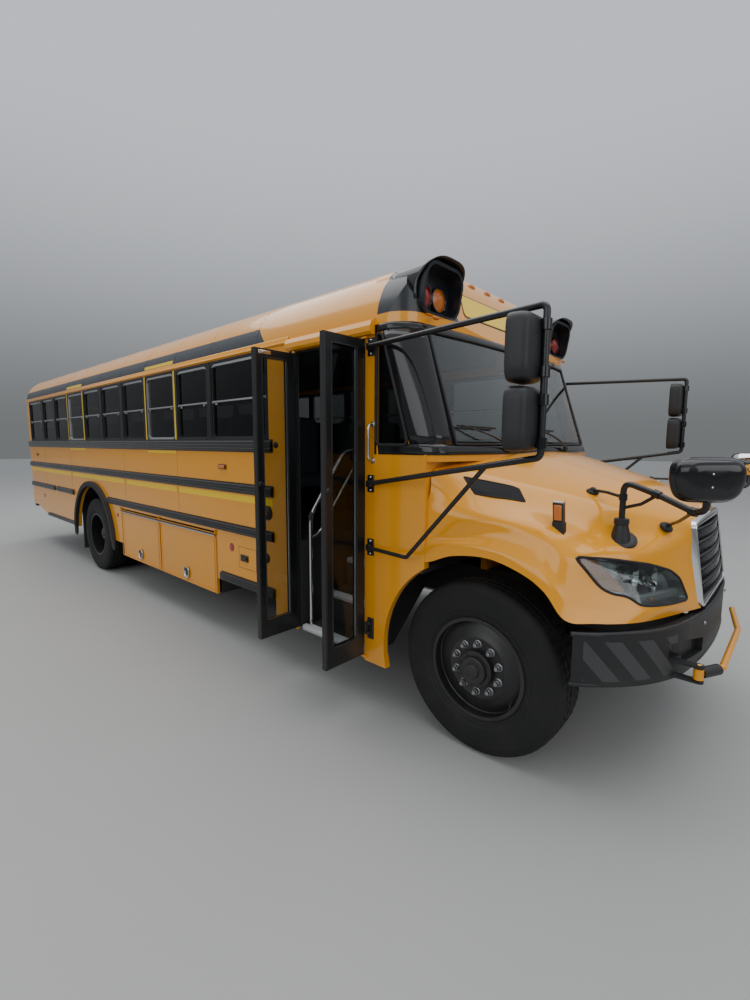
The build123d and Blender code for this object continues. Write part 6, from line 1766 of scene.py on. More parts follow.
def grille_outline(inset, count=22):
    """The opening's outline as Y and Z, drawn in by an inset; its head is arched."""
    half, low = .412 - inset, .934 + inset
    turn = np.linspace(0, math.pi / 2, 7)
    radius = max(.03 - inset * .4, .008)
    corners = []
    for y, z, q in ((half - radius, 1.383 - inset - radius, 0), (-half + radius, 1.383 - inset - radius, 1),
                    (-half + radius, low + radius, 2), (half - radius, low + radius, 3)):
        corners.append(np.stack([y + radius * np.cos(turn + q * math.pi / 2),
                                 z + radius * np.sin(turn + q * math.pi / 2)], 1))
    head = np.stack([np.linspace(half - radius, -half + radius, count)[1:-1],
                     np.full(count - 2, 1.383 - inset)], 1)
    outline = np.concatenate([corners[0], head, *corners[1:]])
    arch = np.clip((outline[:, 1] - 1.30) / .083, 0, 1) * .036 * (1 - (outline[:, 0] / .412) ** 2)
    return outline + np.stack([0 * arch, arch], 1)


def grille_ring(profile):
    """A frame round the opening: a profile of inset and distance in front of the grille's face."""
    rings_ = [grille_outline(inset) for inset, _ in profile]
    return grid(np.stack([np.stack([grille_face(*ring.T) + lift, ring[:, 0], ring[:, 1]], -1)
                          for ring, (_, lift) in zip(rings_, profile)]), wrap_u=True, wrap_v=True)


outer_frame = grille_ring([(-.004, -.03), (-.004, .002), (0.000, .007), (.005, .009), (.009, .008),
                           (.011, .003), (.011, -.03)])
piece("grille_frame", outer_frame, "hood_body", *CHROME, smooth=50, replaces=("grille",))
inner_frame = grille_ring([(.011, -.034), (.011, 0.000), (.016, .003), (.03, 0.000), (.036, -.01),
                           (.036, -.04)])
piece("grille_inner_frame", inner_frame, "hood_body", *GLOSSY, smooth=50)
well_y, well_z = np.linspace(-.375, .375, 24), np.linspace(.965, 1.385, 14)
well = spread(grille_face(well_y[None], well_z[:, None]) - .036, well_y, well_z[:, None])
piece("grille_well", grid(well), "hood_body", "dark_plastic", rubber_seal, wall=.004)
bars = []
BAR_PITCH, BAR_LOW = .0735, .979
bar_profile = np.array([(-.03, -.004), (-.004, -.006), (.001, -.004), (.002, .001), (-.002, .005),
                        (-.03, .004)])
for z in BAR_LOW + BAR_PITCH * np.arange(6):
    y = np.linspace(-.37, .37, 32)
    height = z + bar_profile[:, 1:] + 0 * y
    bars.append(grid(spread(grille_face(y, height) + bar_profile[:, :1], y, height), wrap_u=True))
piece("grille_bars", bundle(bars), "hood_body", *GRAINED, smooth=40)


def teeth(places, half_wide=.0042, tall=.027, lean=.012, deep=.016):
    """Small leaning blades at many places at once: eight corners are added to each place."""
    pick = np.array([[i >> 2 & 1, i >> 1 & 1, i & 1] for i in range(8)]) * 2 - 1
    corner = np.stack([pick[:, 0] * deep / 2 - deep / 2, pick[:, 1] * half_wide + pick[:, 2] * lean,
                       pick[:, 2] * tall], 1)
    points = places[:, None] + corner[None]
    faces = (np.array(BLOCK_FACES)[None] + (np.arange(len(places)) * 8)[:, None, None]).reshape(-1, 4)
    return points.reshape(-1, 3), faces.tolist()


tooth_y, tooth_z = np.meshgrid(np.arange(-.352, .353, .022), BAR_LOW + BAR_PITCH * (np.arange(5) + .5))
tooth_places = np.stack([grille_face(tooth_y, tooth_z) - .004, tooth_y, tooth_z], -1).reshape(-1, 3)
piece("grille_teeth", teeth(tooth_places), "hood_body", *GLOSSY)

# %% [markdown]
# The front bumper is packed with its shape. Its corner stripes are printed, so they are a mask in
# its plastic. Its rolled edges are bars along one smooth curve at two heights.

# %% Bumper: striped corners, rolled edges and bolts
def stripe_finish():
    """Bumper plastic with slanting grey stripes on its corners: a saw wave of the distance round
    the corner and the height decides which of two greys a point has."""
    kit = Kit("striped bumper")
    x, y, z = kit.split()
    along = (x - FRONT) * .64 - y.math("ABSOLUTE") * .77
    wave = ((along + z * .87) / .17).math("FRACT")
    stripe = wave.ramp(0.00, .02) * (1 - wave.ramp(.5, .52)) * band(along, -.505, .015) * band(z, .668, .866)
    wear, film = kit.noise(7, 5, rough=.65), road_film(kit, 1.0, .2)
    base = kit.mix(stripe, (.008, .008, .009), (.04, .041, .043))
    kit.set(Base_Color=kit.mix(film, base, (.16, .15, .13)), Roughness=.44 + wear * .15 + film * .2)
    kit.bump(kit.noise(260, 2) + wear, .0005, .5)
    return kit.material


nodes["front_bumper"].material_slots[0].material = stripe_finish()
EDGE = np.array([(.560, -1.183), (.660, -1.110), (.760, -.998), (.843, -.884), (.905, -.745), (.945, -.600),
                 (.975, -.420), (.990, -.210), (.9945, 0)])
edge_half = np.concatenate([EDGE, EDGE[-2::-1] * [1, -1]])
edge_path = through(np.concatenate([edge_half, np.full((len(edge_half), 1), .897)], 1), 6) + [FRONT, 0, 0]
piece("bumper_top_roll", tube(edge_path - [.012, 0, 0], .0135, 12), "root", *GRAINED, smooth=60)
piece("bumper_foot_roll", tube(edge_path - [.01, 0, .25], .0115, 12), "root", *GRAINED, smooth=60)
bolts = [at(x, y, z) for x, out, z in ((.981, .402, .846), (.930, .660, .862)) for y in (-out, out)]
piece("bumper_bolts", rivets(np.array(bolts), np.tile([.97, -.24, 0.0], (4, 1)), .011, .007, 12), "root",
      *STEEL, smooth=60)

# %% [markdown]
# The arm that keeps children in the driver's sight is packed as a bent tube. Its rubber sleeve
# and its brass cap are what the eye still misses.

# %% Crossing arm: its sleeve and brass cap
sleeve = bar([(1.022, -.742, .700), (1.050, -.690, .700), (1.078, -.636, .700)], .027, 16)
piece("crossing_arm_sleeve", sleeve, "crossing_arm_body", *GRAINED, smooth=50)
piece("crossing_arm_cap", turned([(.742, .0001), (.742, .012), (.748, .0135), (.7505, .010),
                                  (.7505, .0001)], at(1.015, -.760, 0), "z", 20), "crossing_arm_body",
      "steel", metal("brass", (.7, .42, .12), .22), smooth=50)

# %% [markdown]
# A crossview mirror is a domed glass in a deep shell, on a bent tube with three thin stays.
# Powers of sine and cosine under one give an oval with squared corners, and drawing that oval in
# as it goes back gives the shell.

# %% Hood mirrors: housing, glass, tubes, clamps and feet
def mirror_housing(centre, facing, half_wide, half_tall, deep):
    """A mirror's back: super-ellipse rings drawn in as they go back from the rim, where the
    power 0.48 of the cosine squares their corners. The facing is the way that the back looks."""
    facing = np.array([*facing, 0.0]) / np.linalg.norm(facing)
    along, up = np.array([-facing[1], facing[0], 0.0]), np.array([0.0, 0.0, 1.0])
    turn = np.linspace(0, 2 * math.pi, 64, endpoint=False)
    wide = squarish(np.cos(turn), .48)
    tall = squarish(np.sin(turn), .48)
    wide = wide * np.where(tall < 0, 1 + .16 * tall, 1)
    profile = np.array([(.9, -.004), (.97, -.012), (1.0, -.006), (1.015, .004), (1.0, .014), (.955, .018),
                        (.94, .03), (.91, .55 * deep), (.84, .8 * deep), (.7, .95 * deep), (.45, deep),
                        (.001, deep * 1.01)])
    ring = wide[:, None] * along * half_wide + tall[:, None] * up * half_tall
    return (grid(centre + profile[:, 0][:, None, None] * ring + profile[:, 1][:, None, None] * facing,
                 wrap_v=True), (along, up, facing, wide, tall))


MIRROR_MIDDLE, MIRROR_FACING = at(1.005, -.968, 1.653), (.62, -.785)
housing, (along, up, facing, wide, tall) = mirror_housing(MIRROR_MIDDLE, MIRROR_FACING, .152, .098, .07)
shares = np.array([.95, .8, .6, .4, .2, .001])
ring = wide[:, None] * along * .152 + tall[:, None] * up * .098
shares = shares[:, None, None]
dome_shape = MIRROR_MIDDLE + shares * ring - (.004 + .042 * (1 - shares**2)) * facing
both("hood_mirror_housings", housing, "hood_body", *GLOSSY, smooth=60, replaces=("hood_mirrors",))
both("hood_mirror_glass", grid(dome_shape, wrap_v=True, flip=True), "hood_body", *CHROME, smooth=60)
screws = np.array([MIRROR_MIDDLE + facing * .0705 + up * z - along * .012 for z in (.028, -.028)])
both("hood_mirror_screws", rivets(screws, np.tile(facing, (2, 1)), .005, .003, 10), "hood_body", *BRIGHT,
     smooth=60)
mirror_tube = bar([(.640, -.800, 1.400), (.640, -.800, 1.615), (.800, -.850, 1.566), (.960, -.895, 1.500),
                   (1.012, -.935, 1.512), (1.012, -.945, 1.580)], .0155, 14, .055)
foot = [(1.300, .0001), (1.300, .050), (1.345, .044), (1.395, .032), (1.398, .036), (1.425, .036),
        (1.428, .026), (1.430, .0001)]
foot_way = np.array([.2, -.42, .88])
foot_way /= np.linalg.norm(foot_way)
base = at(.642, -.792, 1.322) + foot_way * np.array([-.020, -.008, 0, .006, .010])[:, None]
foot_shape = bundle([turned(foot, at(.640, -.800, 0), "z", 32),
                     tube(base, [.074, .076, .074, .062, .046], 32)])
both("hood_mirror_tubes", mirror_tube, "hood_body", "dark_plastic", black_paint, smooth=60)
both("hood_mirror_feet", foot_shape, "hood_body", *GRAINED, smooth=35)
stays = bundle([bar(path, .0085, 10) for path in (
    [(.640, -.800, 1.535), (.545, -.730, 1.548), (.452, -.664, 1.550)],
    [(.640, -.800, 1.480), (.730, -.826, 1.510), (.800, -.850, 1.560)],
    [(.960, -.895, 1.500), (.880, -.730, 1.430), (.805, -.562, 1.382)])])
both("hood_mirror_stays", stays, "hood_body", "dark_plastic", black_paint, smooth=60)


def pad_disc(centre, way, radius=.034):
    """A rubber foot on a stay's end: a dished disc that looks along a direction."""
    way = np.array(way, float) / np.linalg.norm(way)
    path = np.array(centre) + way * np.array([-.012, -.006, 0.0, .006, .012, .02])[:, None]
    return tube(path, np.array([.9, 1.0, 1.0, .85, .45, .4]) * radius, 24)


pads = bundle([pad_disc(at(.444, -.656, 1.543), (.2, -.25, .95)),
               pad_disc(at(.796, -.548, 1.370), (.55, -.3, .75))])
both("hood_mirror_pads", pads, "hood_body", *SEAL, smooth=50)
clamps = bundle([bar(path, .021, 12) for path in (
    [(.785, -.845, 1.571), (.800, -.850, 1.566), (.815, -.855, 1.560)],
    [(.945, -.890, 1.506), (.960, -.895, 1.500), (.975, -.900, 1.500)],
    [(.640, -.800, 1.520), (.640, -.800, 1.535), (.640, -.800, 1.552)])])
both("hood_mirror_clamps", clamps, "hood_body", *GLOSSY, smooth=50)

# %% [markdown]
# Each side arm carries two flat mirrors. Their shells are made as the crossview mirror's is, but
# upright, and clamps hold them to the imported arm.

# %% Side mirrors: domed backs, glass, clamps and brackets
def mirror_box(z0, z1):
    """A side mirror's housing, its rim at the rear and its rounded back to the front."""
    turn = np.linspace(0, 2 * math.pi, 64, endpoint=False)
    y_mid, z_mid, half_y, half_z = -1.5125, (z0 + z1) / 2, .1075, (z1 - z0) / 2
    y = half_y * squarish(np.cos(turn), .4)
    z = half_z * squarish(np.sin(turn), .36)
    profile = np.array([(.9, .3790), (.95, .3765), (.99, .3775), (1.0, .384), (1.0, .400), (.985, .428),
                        (.94, .450), (.86, .463), (.7, .4705), (.4, .4730), (.001, .4735)])
    inset = (1 - profile[:, :1]) * half_y
    shape_y = y_mid + y * np.maximum(1 - inset / half_y, .001)
    shape_z = z_mid + z * np.maximum(1 - inset / half_z * np.where(profile[:, :1] > .5, 1, 1.3), .001)
    return grid(spread(FRONT + profile[:, 1:], shape_y, shape_z), wrap_v=True)


HEADS = [(2.055, 2.338), (1.770, 2.043)]
both("side_mirror_backs", bundle([mirror_box(*head) for head in HEADS]), "root", *GRAINED, smooth=60,
     replaces=("mirror_heads",))
panes = bundle([block(.3762, .3795, -1.5125 - .090, -1.5125 + .090, low + .016, high - .016)
                for low, high in HEADS])
both("side_mirror_glass", panes, "root", *CHROME, bevel=.0008)
hinges = [tube(np.array([at(.487, -1.475, z - .022), at(.487, -1.475, z), at(.487, -1.475, z + .022)]),
               .023, 14) for z in (1.806, 1.985, 2.100, 2.290)]
both("side_mirror_clamps", bundle(hinges), "root", *GLOSSY, smooth=50)
plates, plate_bolts = [], []
for z in (2.397, 1.549, 1.136):
    plates.append(block(-.758, -.702, -SIDE + .002, -SIDE - .008, z - .055, z + .055))
    plates.append(block(-.748, -.712, -SIDE - .006, -SIDE - .034, z - .021, z + .021))
    plate_bolts += [(FRONT - .730, -SIDE - .008, z - .041), (FRONT - .730, -SIDE - .008, z + .041)]
both("mirror_brackets", bundle(plates), "root", *BLACK, bevel=.004)
both("mirror_bracket_bolts", rivets(np.array(plate_bolts), np.tile([0, -1.0, 0], (6, 1)), .009, .006, 10),
     "root", *BRIGHT, smooth=60)

# %% [markdown]
# ## Entrance and cabin
#
# The steps get bright ribbed nosings and polished rails. A bench is two padded forms: a
# super-ellipsoid, whose low powers of sine and cosine make a box with a crowned top and sides
# that swell, with piping carried round its edge. One bench's points are added to a table of
# places, so twenty benches cost one formula.

# %% Steps, handrails and door fittings
nosings = []
for z, y in ((.38, -1.174), (.6, -.934), (.83, -.694), (1.060, -.454)):
    ridge = np.linspace(0, 1, 61)
    lift = .0035 + .0016 * (.5 - .5 * np.cos(2 * math.pi * 10 * ridge))
    top = .012 if z < 1.0 else .004
    run_y = np.concatenate([[y - .006, y - .007], y - .004 + .058 * ridge, [y + .056]])
    run_z = np.concatenate([[z - .022, z + top], z + top + lift, [z + top - .002]])
    rows = spread(FRONT, run_y, run_z)
    nosings.append(grid(np.stack([rows + [x, 0, 0] for x in (-1.488, -1.487, -.803, -.802)]), flip=True))
piece("step_nosings", bundle(nosings), "root", "steel", nosing_grey, wall=.0015, smooth=20)
rails = []
for x in (-1.465, -.825):
    upper = [(x, -1.114, .392), (x, -1.114, 1.250), (x, -.754, 1.750), (x, -.494, 1.750), (x, -.494, .850)]
    lower = [(x, -1.110, 1.080), (x, -1.020, 1.110), (x, -.640, 1.620), (x, -.500, 1.640)]
    rails += [bar(upper, .0178, 14, .06), bar(lower, .0125, 12, .08)]
    rails += [bar([(x, y, z), (x, y, z + .010), (x, y, z + .016)], [.034, .034, .022], 20)
              for y, z in ((-1.114, .392), (-.494, .842))]
piece("handrails", bundle(rails), "root", *BRIGHT, smooth=60)
grab = bar([(-.715, -SIDE + .004, 1.925), (-.715, -SIDE - .045, 1.915), (-.715, -SIDE - .045, 1.705),
            (-.715, -SIDE + .004, 1.695)], .0095, 12, .03)
rose = [(-SIDE + .002, .019), (-SIDE - .004, .018), (-SIDE - .006, .010), (-SIDE - .006, .0001)]
roses = [turned(rose, at(-.715, 0, z), "y", 20) for z in (1.925, 1.695)]
piece("grab_handle", bundle([grab, *roses]), "root", *BRIGHT, smooth=60)
hook = bundle([block(-.752, -.700, -SIDE + .002, -SIDE - .010, .520, .660),
               block(-.748, -.715, -SIDE - .008, -SIDE - .034, .618, .640),
               block(-.748, -.734, -SIDE - .028, -SIDE - .044, .560, .640),
               block(-.748, -.715, -SIDE - .008, -SIDE - .040, .556, .572)])
piece("door_hook", hook, "root", *BLACK, bevel=.003)
piece("door_catch", button(-1.741, 1.790, .024, .008, .01), "root", *GRAINED, smooth=40)


def leaf_fittings(x, body, name, outward):
    """A door leaf's rubber edge, glass beads, latch and knobs, drawn on the open leaf; outward
    is the way that its street side faces."""
    piece(f"{name}_edge", block(x - .0205, x + .0205, -1.5712, -1.552, .400, 2.443), body, *SEAL, bevel=.006)
    turn = np.array([(-1.512, .524), (-1.300, .524), (-1.300, 2.389), (-1.512, 2.389)])
    made = []
    for side in (-1, 1):
        path = closed_outline(turn, .006, 120)
        path = np.concatenate([path, path[:2]])
        made.append(tube(spread(FRONT + x + side * .0175, path[:, 0], path[:, 1]), .0048, 8))
    piece(f"{name}_beads", bundle(made), body, *SEAL, smooth=60)
    plate = bundle([block(x + outward * .017, x + outward * .024, -1.540, -1.440, 2.405, 2.432),
                    block(x + outward * .020, x + outward * .034, -1.520, -1.490, 2.410, 2.427)])
    piece(f"{name}_latch", plate, body, *BRIGHT, bevel=.002)
    knobs = [turned([(x + side * .012, .020), (x + side * .024, .019), (x + side * .030, .012),
                     (x + side * .030, .0001)], at(0, -1.545, 1.52), "x", 20) for side in (-1, 1)]
    piece(f"{name}_knob", bundle(knobs), body, *GRAINED, smooth=40)


leaf_fittings(-.795, "door_front_body", "door_front", -1)
leaf_fittings(-1.495, "door_rear_body", "door_rear", 1)
portal = [(x, -SIDE + .016, z) for x, z in ((-.792, .385), (-.792, 2.458), (-1.498, 2.458), (-1.498, .385))]
piece("doorway_seal", bar(portal, .0075, 8, .03, 6), "root", *SEAL, smooth=60)

# %% [markdown]
# A bench is a cushion and a tall back, each a padded form, on two bent legs. The vinyl is
# stretched tight over foam and doesn't fold, so the swelling comes from the formula's low powers.

# %% Padded forms and piping
def pad(centre, half, upright=.34, round_=.28, rows=26, segments=56):
    """A padded form: a super-ellipsoid about a centre. The power on latitude sets how soft its
    top edge is, and the power on longitude how round its corners are in plan."""
    lean = np.linspace(-math.pi / 2 + 1e-3, math.pi / 2 - 1e-3, rows)[:, None]
    turn = np.linspace(0, 2 * math.pi, segments, endpoint=False)[None]

    around = squarish(np.cos(lean), upright)
    shape = spread(around * squarish(np.cos(turn), round_), around * squarish(np.sin(turn), round_),
                   squarish(np.sin(lean), upright))
    return grid(np.asarray(centre) + shape * np.asarray(half), wrap_v=True, flip=True)


def piping(centre, half, axis, round_=.28, radius=.005, count=72):
    """A cord of piping round a padded form's widest ring, square to an axis."""
    turn = np.linspace(0, 2 * math.pi, count + 1)
    ring = np.zeros((count + 1, 3))
    first, second = [k for k in range(3) if k != axis]
    ring[:, first] = squarish(np.cos(turn), round_) * half[first]
    ring[:, second] = squarish(np.sin(turn), round_) * half[second]
    return tube(np.asarray(centre) + ring, radius, 6)


def copies(shape, places):
    """A shape repeated at many places: its points are added to a table of offsets."""
    points, faces = np.asarray(shape[0]), np.asarray(shape[1])
    count = len(points)
    moved = points[None] + np.asarray(places)[:, None]
    joined = faces[None] + (np.arange(len(places)) * count)[:, None, None]
    return moved.reshape(-1, 3), joined.reshape(-1, faces.shape[1]).tolist()

# %% [markdown]
# The formula is worked out once for a cushion and once for a back. All the benches are then two
# meshes, as copies of one array with an offset added, and the print shows how light they stay.

# %% Twenty benches from one
bench_x = -2.060 - (9.380 - 2.060 - .66) / 9 * np.arange(10)
MID_Y = (.165 + 1.174) / 2
cushion_at, cushion_half = at(-.195, 0, 1.452), (.203, .5, .062)
back_at, back_half = at(-.432, 0, 1.735), (.041, .5, .33)
offsets = np.array([(x, y, 0.0) for x in bench_x for y in (MID_Y, -MID_Y)])
cushions = piece("bench_cushions", copies(pad(cushion_at, cushion_half, .42, .22), offsets), "root",
                 "seat_vinyl", seat_cover, smooth=80, replaces=("seats",))
bench_backs = piece("bench_backs", copies(pad(back_at, back_half, .2, .36, rows=36), offsets), "root",
                    "seat_vinyl", seat_cover, smooth=80)
bench_seams = bundle([piping(cushion_at + [0, 0, .030], (.197, .494, 0), 2, .22),
                      piping(back_at + [-.030, 0, 0], (0, .492, .322), 0, .2),
                      piping(back_at + [.030, 0, 0], (0, .492, .322), 0, .2)])
piece("bench_piping", copies(bench_seams, offsets), "root", "seat_vinyl", driver_cover, smooth=60)
leg = bundle([bar([(-.060, 0, 1.072), (-.060, 0, 1.372), (-.380, 0, 1.372), (-.400, 0, 1.072)], .0135, 10,
                  .05, 5), bar([(-.06, 0, 1.25), (-.23, 0, 1.25), (-.39, 0, 1.25)], .009, 8)])
feet = bundle([block(x - .03, x + .03, -.035, .035, 1.060, 1.067) for x in (-.060, -.400)])
leg_places = np.array([(x, side * .225, 0.0) for x in bench_x for side in (-1, 1)])
piece("bench_legs", copies(leg, leg_places), "root", "chassis_black", chassis_paint, smooth=60)
piece("bench_feet", copies(feet, leg_places), "root", "chassis_black", chassis_paint)

# %% [markdown]
# The driver has a sprung seat on rubber bellows, a wheel with a thick grip, and a hooded cluster
# of dials. What the windshield shows from outside is drawn, and what it hides is left plain.

# %% Driver's place
seat = bundle([pad(at(-1.270, .550, 1.502), (.212, .245, .064), .5, .34),
               pad(at(-1.270, .345, 1.530), (.190, .040, .040), .8, .5),
               pad(at(-1.270, .755, 1.530), (.190, .040, .040), .8, .5)])
rest = bundle([pad(at(-1.515, .550, 1.830), (.056, .235, .300), .26, .42, rows=40),
               pad(at(-1.512, .550, 2.135), (.048, .135, .075), .6, .45),
               pad(at(-1.485, .355, 1.800), (.050, .035, .210), .5, .7),
               pad(at(-1.485, .745, 1.800), (.050, .035, .210), .5, .7)])
piece("driver_cushion", seat, "root", "seat_vinyl", driver_cover, smooth=80)
piece("driver_back", rest, "root", "seat_vinyl", driver_cover, smooth=80)
bellows = [(1.062 + step * .0145, .128 + .018 * (step % 2)) for step in range(24)]
piece("driver_pedestal", turned([(1.062, .0001), *bellows, (1.410, .150), (1.436, .150), (1.436, .0001)],
                                at(-1.270, .550, 0), "z", 40), "root", *SEAL, smooth=40)
wheel_centre, lean = at(-.800, .550, 1.790), math.radians(35)
axis_dir = np.array([-math.sin(lean), 0, math.cos(lean)])
across_dir = np.array([math.cos(lean), 0, math.sin(lean)])
turn = np.linspace(0, 2 * math.pi, 97)
grip = wheel_centre + .228 * (np.cos(turn)[:, None] * across_dir + np.sin(turn)[:, None] * [0, 1.0, 0])
piece("steering_grip", tube(grip, .015, 12), "steering_wheel_body", "dark_plastic", driver_cover, smooth=60)
rise = np.array([.018, .03, .04, .046, .048])
radii = np.array([.086, .084, .066, .034, .001])
turn = np.linspace(0, 2 * math.pi, 48, endpoint=False)
horn_round = np.cos(turn)[:, None] * across_dir + np.sin(turn)[:, None] * np.array([0, 1.0, 0])
horn = wheel_centre + axis_dir * rise[:, None, None] + radii[:, None, None] * horn_round
piece("horn_pad", grid(horn, wrap_v=True), "steering_wheel_body", "dark_plastic", cabin_plastic, wall=.004,
      smooth=60)

# %% [markdown]
# The cluster's cowl is an arch carried forward, the dials are turned rings, and rows of small
# blocks with a bevel stand for switches and vents.

# %% Gauges and switches
turn = np.linspace(math.pi * .02, math.pi * .98, 30)
arch_y, arch_z = .550 + .300 * np.cos(turn), 1.600 + .135 * np.sin(turn) ** .6
hood_x = np.array([-.655, -.640, -.560, -.420])
hood_drop = np.array([-.020, 0, 0, -.015])
binnacle = spread(FRONT + hood_x[:, None], arch_y, arch_z + hood_drop[:, None])
piece("gauge_hood", grid(binnacle), "root", "dark_plastic", cabin_plastic, wall=.01, smooth=50)
dials = [turned([(-.628, .0001), (-.628, radius * .9), (-.634, radius), (-.626, radius * 1.06),
                 (-.600, radius * 1.06)], at(0, y, z), "x", 36)
         for y, z, radius in ((.450, 1.632, .052), (.650, 1.632, .052), (.550, 1.662, .030),
                              (.350, 1.620, .026), (.750, 1.620, .026))]
piece("gauge_dials", bundle(dials), "root", *GLOSSY, smooth=40)
needles = [block(-.6305, -.6285, y - .0015, y + .0015, z - .004, z + radius * .75)
           for y, z, radius in ((.450, 1.632, .052), (.650, 1.632, .052))]
piece("gauge_needles", bundle(needles), "root", *AMBER_LENS)
switches = [block(-.629, -.640, y - .012, y + .012, z - .018, z + .018) for y in np.arange(-.33, .20, .036)
            for z in (1.575, 1.515)]
piece("dash_switches", bundle(switches), "root", *GLOSSY, bevel=.003)
vents = [block(-.624, -.634, y - .060, y + .060, z, z + .004) for y in (-.25, .05, .95)
         for z in np.arange(1.40, 1.455, .011)]
piece("dash_vents", bundle(vents), "root", "dark_plastic", rubber_seal)

# %% [markdown]
# The ceiling is a thin grey lining that follows the roof's own section, 62 mm in.

# %% Ceiling lining
arc = np.linspace(-HALF_ARC + .09, HALF_ARC - .09, 49)
inner = [roof_points([x], arc, -.062)[0] for x in (-9.32, -5.9, -2.6, -1.16)]
piece("ceiling_lining", grid(np.concatenate(inner)), "root", "dark_plastic", cabin_lining, wall=.003,
      smooth=60)

# %% [markdown]
# ## Rear, stop arm and roof
#
# Lamps are domes in dark rings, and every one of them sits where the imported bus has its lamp.
# The stop arm keeps its octagon and its border but has no lettering.

# %% Rear lamps
TAIL_X = -9.380


def rear_lamp(y, z, radius, deep=.026):
    """A round lamp on the back wall: its lens is a shallow dome with a short wall."""
    share = np.linspace(1, .01, 9)
    profile = [(TAIL_X + .001, radius), *[(TAIL_X - deep * (.45 + .5 * (1 - s**2)), radius * s)
                                          for s in share]]
    return turned(profile, at(0, y, z), "x", 44)


def rear_bezel(y, z, radius, wide=.016):
    """A rubber ring round a rear lamp."""
    profile = [(TAIL_X + .001, radius - .002), (TAIL_X - .016, radius - .002),
               (TAIL_X - .019, radius + wide * .4), (TAIL_X - .010, radius + wide),
               (TAIL_X + .001, radius + wide)]
    return turned(profile, at(0, y, z), "x", 44, hole=True)


RED = [(.985, 2.620, .080), (.850, 1.300, .084)]
AMBER = [(.785, 2.620, .080), (.650, 1.300, .084)]
piece("rear_lamps_red", both_sides(bundle([rear_lamp(*lamp) for lamp in RED])), "root", "lamp_plastic",
      red_lens, smooth=50)
piece("rear_lamps_amber", both_sides(bundle([rear_lamp(*lamp) for lamp in AMBER])), "root", *AMBER_LENS,
      smooth=50)
piece("rear_lamps_clear", both_sides(rear_lamp(1.040, 1.300, .056)), "root", "lamp_plastic", white_lens,
      smooth=50)
piece("rear_lamp_rings", both_sides(bundle([rear_bezel(*lamp)
                                            for lamp in (*RED, *AMBER, (1.040, 1.300, .056))])), "root",
      *SEAL, smooth=50)


def rear_plate(y0, y1, z0, z1, out=.0025):
    """A sheet laid on the back wall."""
    return block(TAIL_X + .001, TAIL_X - out, y0, y1, z0, z1)


piece("rear_lamp_boards", both_sides(rear_plate(.665, 1.105, 2.500, 2.735)), "root", *BLACK, bevel=.002)
markers = [ball(at(TAIL_X - .004, y, 2.955 if abs(y) < .4 else 2.80), .020, (.7, 1.6, 1.0))
           for y in (-.23, 0, .23)]
piece("rear_markers", bundle(markers), "root", "lamp_plastic", red_lens, smooth=60)

# %% [markdown]
# The exit door is outlined in reflective tape, and its panes sit in rubber. The rub rails go on
# round the back with the same ribbed outline, now carried across.

# %% Rear door, windows and rails
tape_edges = [rear_plate(-.520, -.496, 1.010, 2.510), rear_plate(.488, .512, 1.010, 2.510),
              rear_plate(-.520, .512, 2.512, 2.536)]
tape_edges += [rear_plate(side * 1.165, side * 1.115, .92, 1.18) for side in (-1, 1)]
tape_edges += [rear_plate(side * .560, side * 1.160, 1.40, 1.45) for side in (-1, 1)]
piece("rear_tape", bundle(tape_edges), "root", "bus_yellow", sheet_yellow)


def rear_ring(y0, y1, z0, z1, x, radius=.05, thick=.009):
    """A rubber bead round an opening in the back."""
    path = closed_outline([(y0, z0), (y1, z0), (y1, z1), (y0, z1)], radius, 96)
    path = np.concatenate([path, path[:2]])
    return tube(spread(FRONT + x, path[:, 0], path[:, 1]), thick, 8)


piece("rear_window_seals", both_sides(rear_ring(.530, 1.130, 1.920, 2.360, -9.384)), "root", *SEAL, smooth=60)
piece("rear_door_seals", bundle([rear_ring(-.364, .364, 1.896, 2.404, -9.384, .03),
                                 rear_ring(-.364, .364, 1.176, 1.644, -9.384, .03)]), "rear_door_body",
      *SEAL, smooth=60)
handle = bar([(-9.380, .395, 1.745), (-9.4035, .395, 1.745), (-9.4035, .255, 1.745), (-9.380, .255, 1.745)],
             .0085, 10, .012, 5)
piece("rear_door_handle", bundle([handle, block(-9.379, -9.386, .375, .435, 1.700, 1.790)]),
      "rear_door_body", *BRIGHT, smooth=60)
rear_rails = []
for low, high, count in ((1.728, 1.834, 3), (1.373, 1.464, 3)):
    outline = ribs_between(low, high, count, .02, .005)
    for y0, y1 in ((.545, 1.190), (-1.190, -.560)):
        y = np.array([y0, y0, y0 + .004, y1 - .004, y1, y1])[:, None]
        scale = np.array([0, .72, 1, 1, .72, 0])[:, None]
        x = FRONT + TAIL_X + .001 - outline[None, :, 0] * scale
        rear_rails.append(grid(spread(x, y, outline[:, 1]), wrap_v=True))
piece("rear_rub_rails", bundle(rear_rails), "root", *BLACK, smooth=50)
rear_rows = []
for y in (-1.145, 1.145, -.545, .545):
    rear_rows.append(spread(FRONT + TAIL_X - .0005, y, np.linspace(.95, 1.68, 18)))
rows = np.concatenate(rear_rows)
piece("rear_rivets", rivets(rows, np.tile([-1.0, 0, 0], (len(rows), 1)), .0045, .002), "root", *YELLOW,
      smooth=60)

# %% [markdown]
# Round bars soften the bumper's top and foot. The plate's place has a blank plate in a holder.

